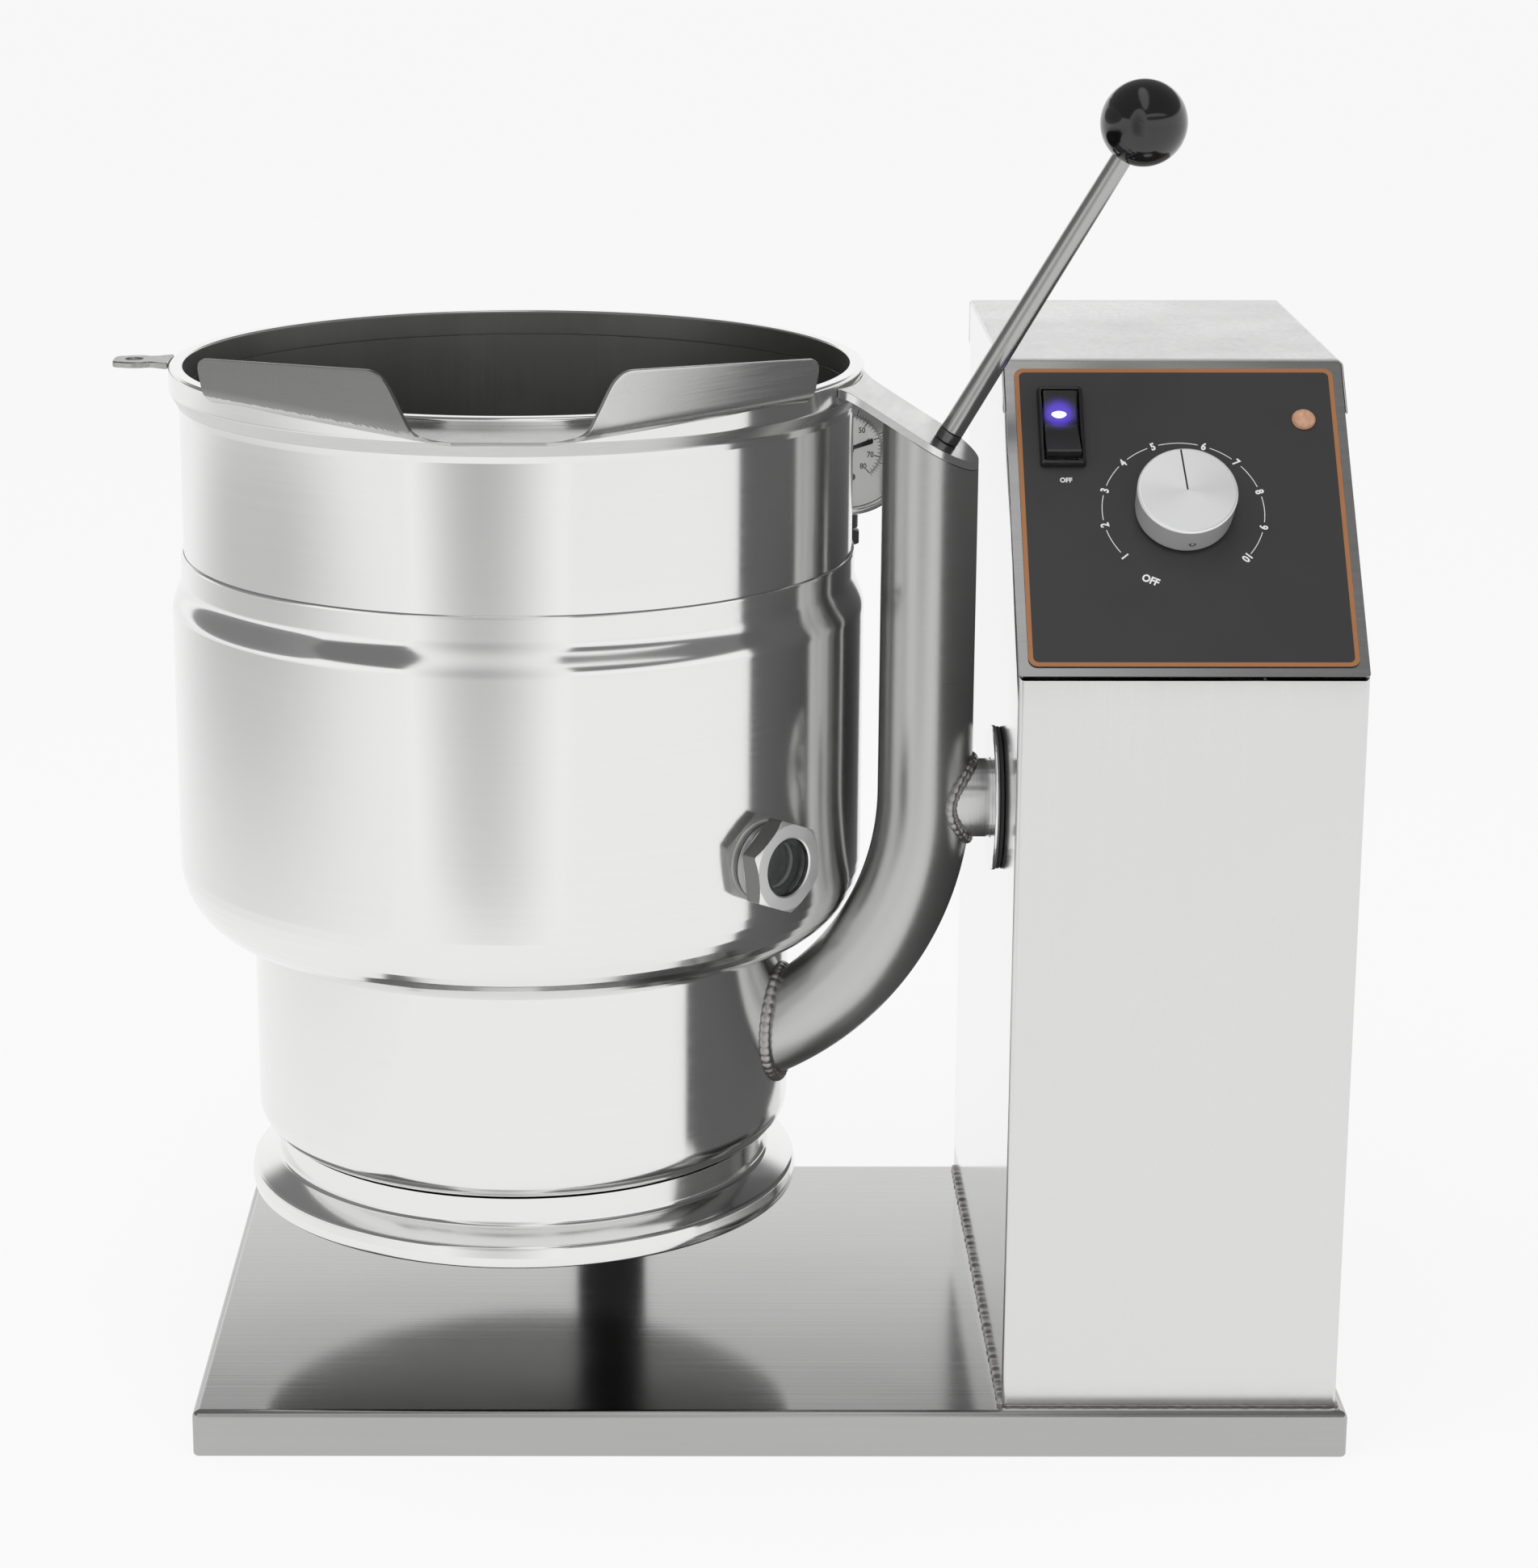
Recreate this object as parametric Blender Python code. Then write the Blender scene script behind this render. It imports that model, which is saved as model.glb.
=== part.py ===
"""Tabletop tilting steam jacketed kettle with its control console.

Units are metres and +Z is up. The front of the kettle, where the pouring
lip is, faces -Y, and the console stands on the right, at +X. The origin is
the middle of the whole unit's footprint, on the table.

Three frames, each an empty, place the pieces:
  unit_frame    the base plate's front left corner, on its top face
  kettle_frame  the kettle's axis at that height, carried by tilt_pivot
  panel_frame   the lower left corner of the sloping control panel
"""
import math

import bmesh
import bpy
from mathutils import Vector

# Clearances shared by the whole unit.
GAP = 0.0003
OVERRUN = 0.010

# Base plate: a folded pan, open underneath, with a return flange to rest on.
BASE_WIDTH = 0.650
BASE_DEPTH = 0.393
BASE_HEIGHT = 0.0273
BASE_SHEET = 0.002
BASE_BEND = 0.005
BASE_RETURN = 0.022

# Console: the bent sheet housing at the right.
CONSOLE_WIDTH = 0.1884
CONSOLE_INSET = 0.0058
CONSOLE_FRONT_INSET = 0.0091
CONSOLE_BACK_INSET = 0.0025
CONSOLE_FRONT_HEIGHT = 0.4233
CONSOLE_SLOPE_RISE = 0.1475
CONSOLE_SLOPE_RUN = 0.1406
CONSOLE_SHEET = 0.0015
CONSOLE_FLANGE = 0.014
COVER_SHEET = 0.0012
COVER_FLANGE = 0.0255
BACK_SHEET = 0.0015
BACK_MARGIN = 0.003

# Control panel on the slope.
PANEL_SHEET = 0.0015
OVERLAY_THICKNESS = 0.0006
OVERLAY_MARGIN = 0.0055
OVERLAY_CORNER = 0.005
OVERLAY_END_MARGIN = 0.0052
LAMP_INSET = 0.0238
LAMP_DROP = 0.0399
LAMP_DIAMETER = 0.013
LAMP_RISE = 0.004
LAMP_DEPTH = 0.022
LAMP_SHOULDER = 0.0015
LOW_WATER_DROP = 0.0219
LOW_WATER_DIAMETER = 0.008

# Rocker switch.
SWITCH_X = 0.0297
SWITCH_DROP = 0.0456
SWITCH_WIDTH = 0.0253
SWITCH_LENGTH = 0.0515
SWITCH_RISE = 0.0045
SWITCH_RIM = 0.0019
SWITCH_DEPTH = 0.030
SWITCH_WALL = 0.0012
ROCKER_RADIUS = 0.0062
ROCKER_RISE = 0.0036
ROCKER_DIP = 0.0022
ROCKER_THROW_DEG = 7.0
ROCKER_SADDLE_SHARE = 0.5

# Thermostat and its knob.
KNOB_Y = 0.1040
KNOB_DIAMETER = 0.0550
KNOB_FACE_EDGE = 0.0012
KNOB_BASE_DIAMETER = 0.0535
KNOB_RISE = 0.0215
KNOB_LIFT = 0.0020
KNOB_WALL = 0.0022
KNOB_HUB_DIAMETER = 0.0150
SHAFT_DIAMETER = 0.0063
SHAFT_BUSH_DIAMETER = 0.0095
SHAFT_ENGAGEMENT = 0.0140
SET_SCREW_DIAMETER = 0.0040
SET_SCREW_HEIGHT = 0.0085
POINTER_DEG = 4.9
THERMOSTAT_WIDTH = 0.042
THERMOSTAT_DEPTH = 0.034

# Pieces on the component plate inside the console.
PLATE_SHEET = 0.0020
PLATE_WIDTH = 0.220
PLATE_HEIGHT = 0.300
PLATE_BOTTOM = 0.060
PLATE_STANDOFF = 0.008
CONTACTOR_SIZE = (0.060, 0.075, 0.080)
TERMINAL_SIZE = (0.032, 0.110, 0.034)
TERMINAL_POLES = 4
TERMINAL_SLOT = 0.006
BOARD_SIZE = (0.0016, 0.100, 0.080)
BOARD_STANDOFF = 0.008
BOARD_RELAY_SIZE = (0.016, 0.028, 0.020)
PLATE_CORNER = 0.002
CONTACTOR_PLACE_SHARE = 0.72
TERMINAL_PLACE_SHARE = 0.18
BOARD_POST_SHARE = 0.4

# Cable gland at the back of the console, with no cable in it.
GLAND_HEIGHT = 0.055
GLAND_DIAMETER = 0.030
GLAND_BORE = 0.016
GLAND_REACH = 0.020
GLAND_HEX_THICKNESS = 0.006
GLAND_THREAD = 0.025
GLAND_NOSE_SHARE = 0.72
GLAND_TAPER_SHARE = 0.6

# Kettle: its axis on the base, and the radii and heights of its shells.
KETTLE_Y = 0.1760
KETTLE_CLEARANCE = 0.0800
RIM_RISE = 0.1070
RIM_WIDTH = 0.0055
RIM_HEIGHT = 0.0145
RIM_EDGE = 0.0020
RIM_UNDERCUT = 0.0035
RIM_FILLET_SHARES = (0.35, 0.8)
LINER_INNER = 0.1885
LINER_WALL = 0.0026
LINER_KNUCKLE_RISE = 0.0660
LINER_KNUCKLE = 0.060
LINER_CROWN = 0.350
JACKET_WALL = 0.0026
JACKET_BAND_WIDTH = 0.0027
JACKET_BAND_HEIGHT = 0.0145
JACKET_FLARE_WIDTH = 0.0044
JACKET_FLARE_HEIGHT = 0.0150
JACKET_FLARE_SHARES = ((0.2, 0.35), (0.85, 0.8))
JACKET_HEIGHT = 0.1925
JACKET_KNUCKLE = 0.0425
HOUSING_STEP = 0.0420
HOUSING_WALL = 0.0025
HOUSING_HEIGHT = 0.1230
HOUSING_EDGE = 0.0170
HOUSING_TURN_IN = 0.014
COVER_NECK_STEP = 0.0117
COVER_NECK_HEIGHT = 0.0165
COVER_RING_REACH = 0.0054
COVER_RING_HEIGHT = 0.0119
COVER_RING_SLOPE = 0.0076
COVER_RING_EDGE = 0.0020
COVER_WALL = 0.0020
SUMP_PLATE_RISE = 0.0210
SUMP_PLATE_THICKNESS = 0.0060

# Pouring lip: a flat beak with two wings bent up along its tangent sides.
LIP_ANGLE_DEG = 45.0
LIP_SIDE_CLEARANCE = 0.0044
LIP_OVERHANG = 0.0484
LIP_SHEET = 0.0019
LIP_FLOOR_DROP = 0.0022
LIP_BEND = 0.0100
LIP_WING_HEIGHT = 0.0340
LIP_WING_END_HEIGHT = 0.0240
LIP_WING_START = 0.0310
LIP_WING_END = 0.1225
LIP_WING_LEAN_DEG = 12.0
LIP_WING_CORNER = 0.0150
LIP_COLUMNS = 10
LIP_ROW_SHARES = (0.4, 0.6, 0.76, 0.89, 0.97, 1.0)
LIP_BLEND_SHARE = 0.75
LIP_SLANT_DEG = 26.0
LIP_OUTER_CORNER = 0.0080

# Lifting lug at the left of the rim.
LUG_REACH = 0.0325
LUG_WIDTH = 0.0220
LUG_ROOT = 0.0400
LUG_THICKNESS = 0.0035
LUG_HOLE = 0.0100
LUG_HOLE_INSET = 0.0115
LUG_CORNER = 0.0040
LUG_FILLET = 0.0100

# Support arm, from the heater housing up past the trunnion to the rim strap.
PIVOT_FORWARD = 0.0610
PIVOT_INSET = 0.0425
PIVOT_DROP = 0.0042
ARM_CLEARANCE = 0.01455
ARM_DIAMETER = 0.0533
ARM_WALL = 0.0030
ARM_SWEEP_DEG = 72.0
ARM_STEPS = 10
ARM_BEND = 0.1700
ARM_BEND_RISE = 0.0922
WELD_BEAD = 0.0026

# Rim strap, which also caps the arm.
STRAP_SLOPE_DEG = 30.5
STRAP_RIM_DROP = 0.0052
STRAP_THICKNESS = 0.0040
STRAP_ROOT_FLARE = 0.0080
STRAP_ROOT_LENGTH = 0.0120

# Tilt lever.
LEVER_OFFSET = 0.0085
LEVER_COLLAR_DIAMETER = 0.0134
LEVER_COLLAR_LENGTH = 0.0062
LEVER_BASE_DIAMETER = 0.0131
LEVER_TOP_DIAMETER = 0.0112
LEVER_STUD_DIAMETER = 0.0080
LEVER_LENGTH = 0.2055
BALL_DIAMETER = 0.0470
BALL_NECK_DIAMETER = 0.0165
BALL_BORE_DEPTH = 0.0190

# Trunnion, its bearings in the console and its stops.
TRUNNION_DIAMETER = 0.0445
TRUNNION_BORE = 0.0330
TRUNNION_REACH = 0.0950
DISC_DIAMETER = 0.0820
DISC_THICKNESS = 0.0026
SEAL_THICKNESS = 0.0022
SEAL_DIAMETER = 0.0700
BRACKET_PLATE = 0.0080
BRACKET_LEFT_INSET = 0.0090
BRACKET_SPAN = 0.0560
BRACKET_DEPTH = 0.1100
BRACKET_HEAD = 0.0450
BRACKET_FOOT = 0.0120
BUSH_WALL = 0.0040
BUSH_FLANGE = 0.0040
BUSH_FLANGE_THICKNESS = 0.0025
STOP_COLLAR_WIDTH = 0.0200
STOP_COLLAR_WALL = 0.0080
STOP_LUG_REACH = 0.0180
STOP_LUG_THICKNESS = 0.0100
STOP_BAR_DIAMETER = 0.0120
STOP_BAR_RADIUS = 0.0410
STOP_CLEARANCE_DEG = 0.8
TILT_RANGE_DEG = 95.0

# Sight glass on the jacket.
SIGHT_ANGLE_DEG = 46.0
SIGHT_RISE = 0.0730
SIGHT_BOSS_DIAMETER = 0.0440
SIGHT_BOSS_REACH = 0.0060
SIGHT_GASKET_DIAMETER = 0.0530
SIGHT_GASKET_THICKNESS = 0.0028
SIGHT_NUT_FLATS = 0.0510
SIGHT_NUT_THICKNESS = 0.0150
SIGHT_NUT_CHAMFER = 0.0020
SIGHT_WINDOW_DIAMETER = 0.0330
SIGHT_WINDOW_THICKNESS = 0.0050
SIGHT_WINDOW_RECESS = 0.0045
SIGHT_BORE_DIAMETER = 0.0260
SIGHT_NUT_DEG = 8.0

# Pressure gauge on its pipe, behind the arm.
GAUGE_ANGLE_DEG = 35.0
GAUGE_STANDOFF = 0.0391
GAUGE_RISE = 0.0975
GAUGE_DIAMETER = 0.0790
GAUGE_THICKNESS = 0.0260
GAUGE_RIM = 0.0035
GAUGE_BACK = 0.0025
GAUGE_SEAT = 0.0020
GAUGE_EDGE = 0.0015
GAUGE_DIAL_SETBACK = 0.0085
GAUGE_DIAL_THICKNESS = 0.0010
GAUGE_LENS_SETBACK = 0.0015
GAUGE_LENS_THICKNESS = 0.0020
GAUGE_PIN_DIAMETER = 0.0040
GAUGE_SOCKET = 0.0140
GAUGE_SOCKET_LENGTH = 0.0095
GAUGE_NUT_FLATS = 0.0150
GAUGE_NUT_LENGTH = 0.0090
GAUGE_NUT_DROP = 0.0545
NEEDLE_LENGTH = 0.0235
NEEDLE_TAIL = 0.0100
NEEDLE_WIDTH = 0.0030
NEEDLE_THICKNESS = 0.0008
NEEDLE_HUB = 0.0075
NEEDLE_LIFT = 0.0018
NEEDLE_DEG = 22.0
STEM_DIAMETER = 0.0080
STEM_BEND = 0.0140
STEM_FOOT_DROP = 0.0365
STEM_BOSS_DIAMETER = 0.0200
STEM_BOSS_LENGTH = 0.0100

# Safety valve at the back of the jacket.
VALVE_ANGLE_DEG = 165.0
VALVE_DROP = 0.0415
VALVE_BOSS_DIAMETER = 0.0240
VALVE_ELBOW_REACH = 0.0150
VALVE_BODY_DIAMETER = 0.0240
VALVE_BODY_HEIGHT = 0.0380
VALVE_BONNET_DIAMETER = 0.0180
VALVE_BONNET_HEIGHT = 0.0220
VALVE_LEVER_WIDTH = 0.0080
VALVE_LEVER_THICKNESS = 0.0020
VALVE_LEVER_LENGTH = 0.0400
VALVE_LEVER_LIFT = 0.0045
VALVE_PIN_DIAMETER = 0.0030
VALVE_PIN_OFFSET = 0.0060
VALVE_EAR = 0.0020
VALVE_SPIGOT_SHARE = 0.75

# Parts in the sump below the liner.
ELEMENT_DIAMETER = 0.0085
ELEMENT_SPACING = 0.0700
ELEMENT_COUNT = 3
ELEMENT_REACH = 0.1000
ELEMENT_LEG = 0.0240
ELEMENT_RISE = 0.0320
ELEMENT_TERMINAL = 0.0160
PROBE_DIAMETER = 0.0060
PROBE_RISE = 0.0550
PROBE_OFFSET = 0.1250
BULB_DIAMETER = 0.0090
BULB_RISE = 0.0450

# Facet counts.
SHELL_STEPS = 48
MEDIUM_STEPS = 24
SMALL_STEPS = 14
TUBE_SIDES = 18
ARC_STEPS = 4
SMOOTH_DEG = 35.0

# Places on the console that follow from the sizes above.
CONSOLE_LEFT = BASE_WIDTH - CONSOLE_INSET - CONSOLE_WIDTH
CONSOLE_RIGHT = CONSOLE_LEFT + CONSOLE_WIDTH
CONSOLE_BACK = BASE_DEPTH - CONSOLE_BACK_INSET
CONSOLE_HEIGHT = CONSOLE_FRONT_HEIGHT + CONSOLE_SLOPE_RISE
SLOPE_ANGLE = math.atan2(CONSOLE_SLOPE_RISE, CONSOLE_SLOPE_RUN)
SLOPE_LENGTH = math.hypot(CONSOLE_SLOPE_RISE, CONSOLE_SLOPE_RUN)
LAMP_X = CONSOLE_WIDTH - LAMP_INSET
LAMP_Y = SLOPE_LENGTH - LAMP_DROP
LOW_WATER_Y = LAMP_Y - LOW_WATER_DROP
SWITCH_Y = SLOPE_LENGTH - SWITCH_DROP
KNOB_X = CONSOLE_WIDTH / 2

# Heights of the kettle, from its bottom cover up to its rim.
COVER_BOTTOM = KETTLE_CLEARANCE
COVER_RING_TOP = COVER_BOTTOM + COVER_RING_HEIGHT
COVER_NECK_BOTTOM = COVER_RING_TOP + COVER_RING_SLOPE
HOUSING_BOTTOM = COVER_NECK_BOTTOM + COVER_NECK_HEIGHT
JACKET_BOTTOM = HOUSING_BOTTOM + HOUSING_HEIGHT
JACKET_FLARE_BOTTOM = JACKET_BOTTOM + JACKET_HEIGHT
JACKET_BAND_BOTTOM = JACKET_FLARE_BOTTOM + JACKET_FLARE_HEIGHT
JACKET_TOP = JACKET_BAND_BOTTOM + JACKET_BAND_HEIGHT
RIM_TOP = JACKET_TOP + RIM_RISE
LINER_KNUCKLE_HEIGHT = JACKET_BOTTOM + LINER_KNUCKLE_RISE
SUMP_PLATE_HEIGHT = HOUSING_BOTTOM + SUMP_PLATE_RISE
ARM_BEND_TOP = JACKET_BOTTOM + ARM_BEND_RISE
PIVOT_HEIGHT = ARM_BEND_TOP - PIVOT_DROP
SIGHT_HEIGHT = JACKET_BOTTOM + SIGHT_RISE
STEM_FOOT_HEIGHT = JACKET_FLARE_BOTTOM - STEM_FOOT_DROP
GAUGE_HEIGHT = STEM_FOOT_HEIGHT + GAUGE_RISE
GAUGE_NUT_HEIGHT = GAUGE_HEIGHT - GAUGE_NUT_DROP
VALVE_HEIGHT = JACKET_FLARE_BOTTOM - VALVE_DROP

# Radii of the kettle, from its liner outwards.
LINER_OUTER = LINER_INNER + LINER_WALL
RIM_OUTER = LINER_OUTER + RIM_WIDTH
JACKET_BAND_RADIUS = LINER_OUTER + JACKET_BAND_WIDTH
JACKET_RADIUS = JACKET_BAND_RADIUS + JACKET_FLARE_WIDTH
HOUSING_RADIUS = JACKET_RADIUS - HOUSING_STEP
COVER_NECK_RADIUS = HOUSING_RADIUS - COVER_NECK_STEP
COVER_RING_RADIUS = HOUSING_RADIUS + COVER_RING_REACH
LIP_TANGENT = RIM_OUTER + LIP_SIDE_CLEARANCE
LIP_REACH = RIM_OUTER + LIP_OVERHANG
LUG_TIP = RIM_OUTER + LUG_REACH
GAUGE_AWAY = JACKET_RADIUS + GAUGE_STANDOFF
GAUGE_X = GAUGE_AWAY * math.cos(math.radians(GAUGE_ANGLE_DEG))
GAUGE_Y = GAUGE_AWAY * math.sin(math.radians(GAUGE_ANGLE_DEG))

# The arm stands clear of the jacket, and the trunnion clear of the console.
ARM_RADIAL = JACKET_RADIUS + ARM_CLEARANCE + ARM_DIAMETER / 2
ARM_ANGLE = math.asin(PIVOT_FORWARD / ARM_RADIAL)
PIVOT_X = CONSOLE_LEFT - PIVOT_INSET
PIVOT_Y = KETTLE_Y - PIVOT_FORWARD
KETTLE_X = PIVOT_X - ARM_RADIAL * math.cos(ARM_ANGLE)
STRAP_SLOPE = math.radians(STRAP_SLOPE_DEG)
STRAP_RIM_HEIGHT = RIM_TOP - STRAP_RIM_DROP

# The unit's outer box, whose middle is the origin.
UNIT_LEFT = min(0.0, KETTLE_X - LUG_TIP)
UNIT_FRONT = min(0.0, KETTLE_Y - LIP_REACH)
UNIT_BACK = CONSOLE_BACK + GLAND_REACH
ORIGIN_X = (UNIT_LEFT + BASE_WIDTH) / 2
ORIGIN_Y = (UNIT_FRONT + UNIT_BACK) / 2


def clear_scene():
    for obj in list(bpy.data.objects):
        bpy.data.objects.remove(obj, do_unlink=True)


def material(name, colour, roughness, metallic=0.0):
    """A Principled BSDF material with a plain colour."""
    made = bpy.data.materials.new(name)
    made.use_nodes = True
    shader = made.node_tree.nodes["Principled BSDF"]
    shader.inputs["Base Color"].default_value = (*colour, 1.0)
    shader.inputs["Roughness"].default_value = roughness
    shader.inputs["Metallic"].default_value = metallic
    made.diffuse_color = (*colour, 1.0)
    return made


def frame(name, parent=None, location=(0, 0, 0), rotation=(0, 0, 0)):
    """An empty that carries pieces; it is no piece itself."""
    empty = bpy.data.objects.new(name, None)
    bpy.context.collection.objects.link(empty)
    empty.parent = parent
    empty.location = location
    empty.rotation_euler = rotation
    return empty


def place(name, mesh_source, parent, finish, location=(0, 0, 0), rotation=(0, 0, 0)):
    """Turn a bmesh into an object with outward faces, a finish and a parent."""
    mesh = bpy.data.meshes.new(name)
    bmesh.ops.recalc_face_normals(mesh_source, faces=mesh_source.faces)
    mesh_source.to_mesh(mesh)
    mesh_source.free()
    mesh.shade_smooth()
    mesh.set_sharp_from_angle(angle=math.radians(SMOOTH_DEG))
    obj = bpy.data.objects.new(name, mesh)
    bpy.context.collection.objects.link(obj)
    if finish is not None:
        mesh.materials.append(finish)
    obj.parent = parent
    obj.location = location
    obj.rotation_euler = rotation
    return obj


def common(target, other):
    """Keep only what a solid shares with another; the other stays as a guide."""
    modifier = target.modifiers.new(other.name, "BOOLEAN")
    modifier.operation = "INTERSECT"
    modifier.object = other
    other.hide_render = True
    other.display_type = "WIRE"


def cut(target, cutter):
    """Take one solid out of another; the cutter stays as a hidden guide."""
    modifier = target.modifiers.new(cutter.name, "BOOLEAN")
    modifier.operation = "DIFFERENCE"
    modifier.object = cutter
    cutter.hide_render = True
    cutter.display_type = "WIRE"


def join(target, other):
    """Fuse another solid to this one; the other stays as a hidden guide."""
    modifier = target.modifiers.new(other.name, "BOOLEAN")
    modifier.operation = "UNION"
    modifier.object = other
    other.hide_render = True
    other.display_type = "WIRE"


def bevel(obj, width, segments=2, angle_deg=30.0):
    modifier = obj.modifiers.new("Bevel", "BEVEL")
    modifier.width = width
    modifier.segments = segments
    modifier.limit_method = "ANGLE"
    modifier.angle_limit = math.radians(angle_deg)
    return modifier


def arc(centre, radius, start_deg, end_deg, steps=ARC_STEPS):
    """Points along an arc, both ends included."""
    points = []
    for step in range(steps + 1):
        turn = math.radians(start_deg + (end_deg - start_deg) * step / steps)
        points.append((centre[0] + radius * math.cos(turn), centre[1] + radius * math.sin(turn)))
    return points


def turned(profile, steps, closed=True):
    """Spin a profile of (radius, height) points about the local z axis."""
    bm = bmesh.new()
    verts = [bm.verts.new((radius, 0.0, height)) for radius, height in profile]
    pairs = list(zip(verts, verts[1:]))
    if closed:
        pairs.append((verts[-1], verts[0]))
    edges = [bm.edges.new(pair) for pair in pairs]
    bmesh.ops.spin(bm, geom=verts + edges, cent=(0, 0, 0), axis=(0, 0, 1), angle=math.tau,
                   steps=steps, use_merge=True)
    bmesh.ops.remove_doubles(bm, verts=bm.verts, dist=GAP / 100)
    return bm


def cylinder(radius, bottom, top, steps):
    """A plain round bar between two heights."""
    return turned([(0, top), (radius, top), (radius, bottom), (0, bottom)], steps, closed=False)


def ring(inner, outer, bottom, top, steps):
    """A plain washer or sleeve between two heights."""
    return turned([(outer, top), (outer, bottom), (inner, bottom), (inner, top)], steps)


def block(low, high):
    """A box between two corners."""
    bm = bmesh.new()
    bmesh.ops.create_cube(bm, size=1.0)
    size = [b - a for a, b in zip(low, high)]
    middle = [(a + b) / 2 for a, b in zip(low, high)]
    bmesh.ops.scale(bm, vec=size, verts=bm.verts)
    bmesh.ops.translate(bm, vec=middle, verts=bm.verts)
    return bm


def extruded(outline, start, end, axis="z"):
    """Extrude a flat outline along an axis.

    For "z" the outline is (x, y) points, and for "x" it is (y, z) points.
    """
    bm = bmesh.new()
    if axis == "z":
        verts = [bm.verts.new((a, b, start)) for a, b in outline]
        step = Vector((0, 0, end - start))
    else:
        verts = [bm.verts.new((start, a, b)) for a, b in outline]
        step = Vector((end - start, 0, 0))
    face = bm.faces.new(verts)
    grown = bmesh.ops.extrude_face_region(bm, geom=[face])
    moved = [item for item in grown["geom"] if isinstance(item, bmesh.types.BMVert)]
    bmesh.ops.translate(bm, vec=step, verts=moved)
    return bm


def rounded_rectangle(low, high, radius, steps=ARC_STEPS):
    """The (x, y) outline of a rectangle with round corners."""
    corners = (((high[0] - radius, high[1] - radius), 0), ((low[0] + radius, high[1] - radius), 90),
               ((low[0] + radius, low[1] + radius), 180), ((high[0] - radius, low[1] + radius), 270))
    points = []
    for centre, start in corners:
        points.extend(arc(centre, radius, start, start + 90, steps))
    return points


def skinned(rings, cap_ends=True, closed_path=False):
    """Bridge rings of points, each a list of the same length, into a solid."""
    bm = bmesh.new()
    loops = [[bm.verts.new(point) for point in points] for points in rings]
    pairs = list(zip(loops, loops[1:]))
    if closed_path:
        pairs.append((loops[-1], loops[0]))
    for first, second in pairs:
        count = len(first)
        for index in range(count):
            after = (index + 1) % count
            bm.faces.new((first[index], first[after], second[after], second[index]))
    if cap_ends and not closed_path:
        bm.faces.new(loops[0])
        bm.faces.new(loops[-1])
    return bm


def round_wire(points, radius, sides, closed=False):
    """A round bar along a path of points, its rings square to the path."""
    path = [Vector(point) for point in points]
    count = len(path)
    rings = []
    normal = None
    for index, point in enumerate(path):
        if closed:
            along = (path[(index + 1) % count] - path[index - 1]).normalized()
        else:
            along = (path[min(index + 1, count - 1)] - path[max(index - 1, 0)]).normalized()
        if normal is None:
            normal = along.orthogonal().normalized()
        normal = (normal - along * normal.dot(along)).normalized()
        side = along.cross(normal)
        rings.append([point + radius * (math.cos(turn) * normal + math.sin(turn) * side)
                      for turn in (math.tau * step / sides for step in range(sides))])
    return skinned(rings, closed_path=closed)


def hexagon(flats, bottom, top):
    """A hexagonal prism across its flats."""
    reach = flats / math.sqrt(3)
    outline = [(reach * math.cos(math.radians(turn)), reach * math.sin(math.radians(turn)))
               for turn in range(0, 360, 60)]
    return extruded(outline, bottom, top)


def build_base(unit, steel):
    """The base pan: top sheet, four folded sides and a return flange below."""
    pan = place("base_plate", block((0, 0, -BASE_HEIGHT), (BASE_WIDTH, BASE_DEPTH, 0)), unit, steel)
    bevel(pan, BASE_BEND, 3)
    hollow = place("base_hollow", block(
        (BASE_SHEET, BASE_SHEET, -BASE_HEIGHT + BASE_SHEET),
        (BASE_WIDTH - BASE_SHEET, BASE_DEPTH - BASE_SHEET, -BASE_SHEET)), unit, None)
    mouth = place("base_mouth", block(
        (BASE_RETURN, BASE_RETURN, -BASE_HEIGHT - OVERRUN),
        (BASE_WIDTH - BASE_RETURN, BASE_DEPTH - BASE_RETURN, -BASE_HEIGHT / 2)), unit, None)
    cut(pan, hollow)
    cut(pan, mouth)


def console_outline(inset, flange=0.0):
    """Side view of the console, (y, z) points, drawn in by an inset."""
    slope = Vector((CONSOLE_SLOPE_RUN, CONSOLE_HEIGHT - CONSOLE_FRONT_HEIGHT)).normalized()
    inward = Vector((slope.y, -slope.x)) * (inset + PANEL_SHEET + GAP)
    front = CONSOLE_FRONT_INSET + inset + flange
    top = CONSOLE_HEIGHT - COVER_SHEET - GAP - inset
    back = CONSOLE_BACK - BACK_SHEET - GAP - inset
    low = Vector((CONSOLE_FRONT_INSET, CONSOLE_FRONT_HEIGHT)) + inward
    at_front = low + slope * ((front - low.x) / slope.x)
    at_top = low + slope * ((top - low.y) / slope.y)
    bottom = GAP + inset
    return [(front, bottom), (back, bottom), (back, top), (at_top.x, at_top.y), (at_front.x, at_front.y)]


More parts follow.
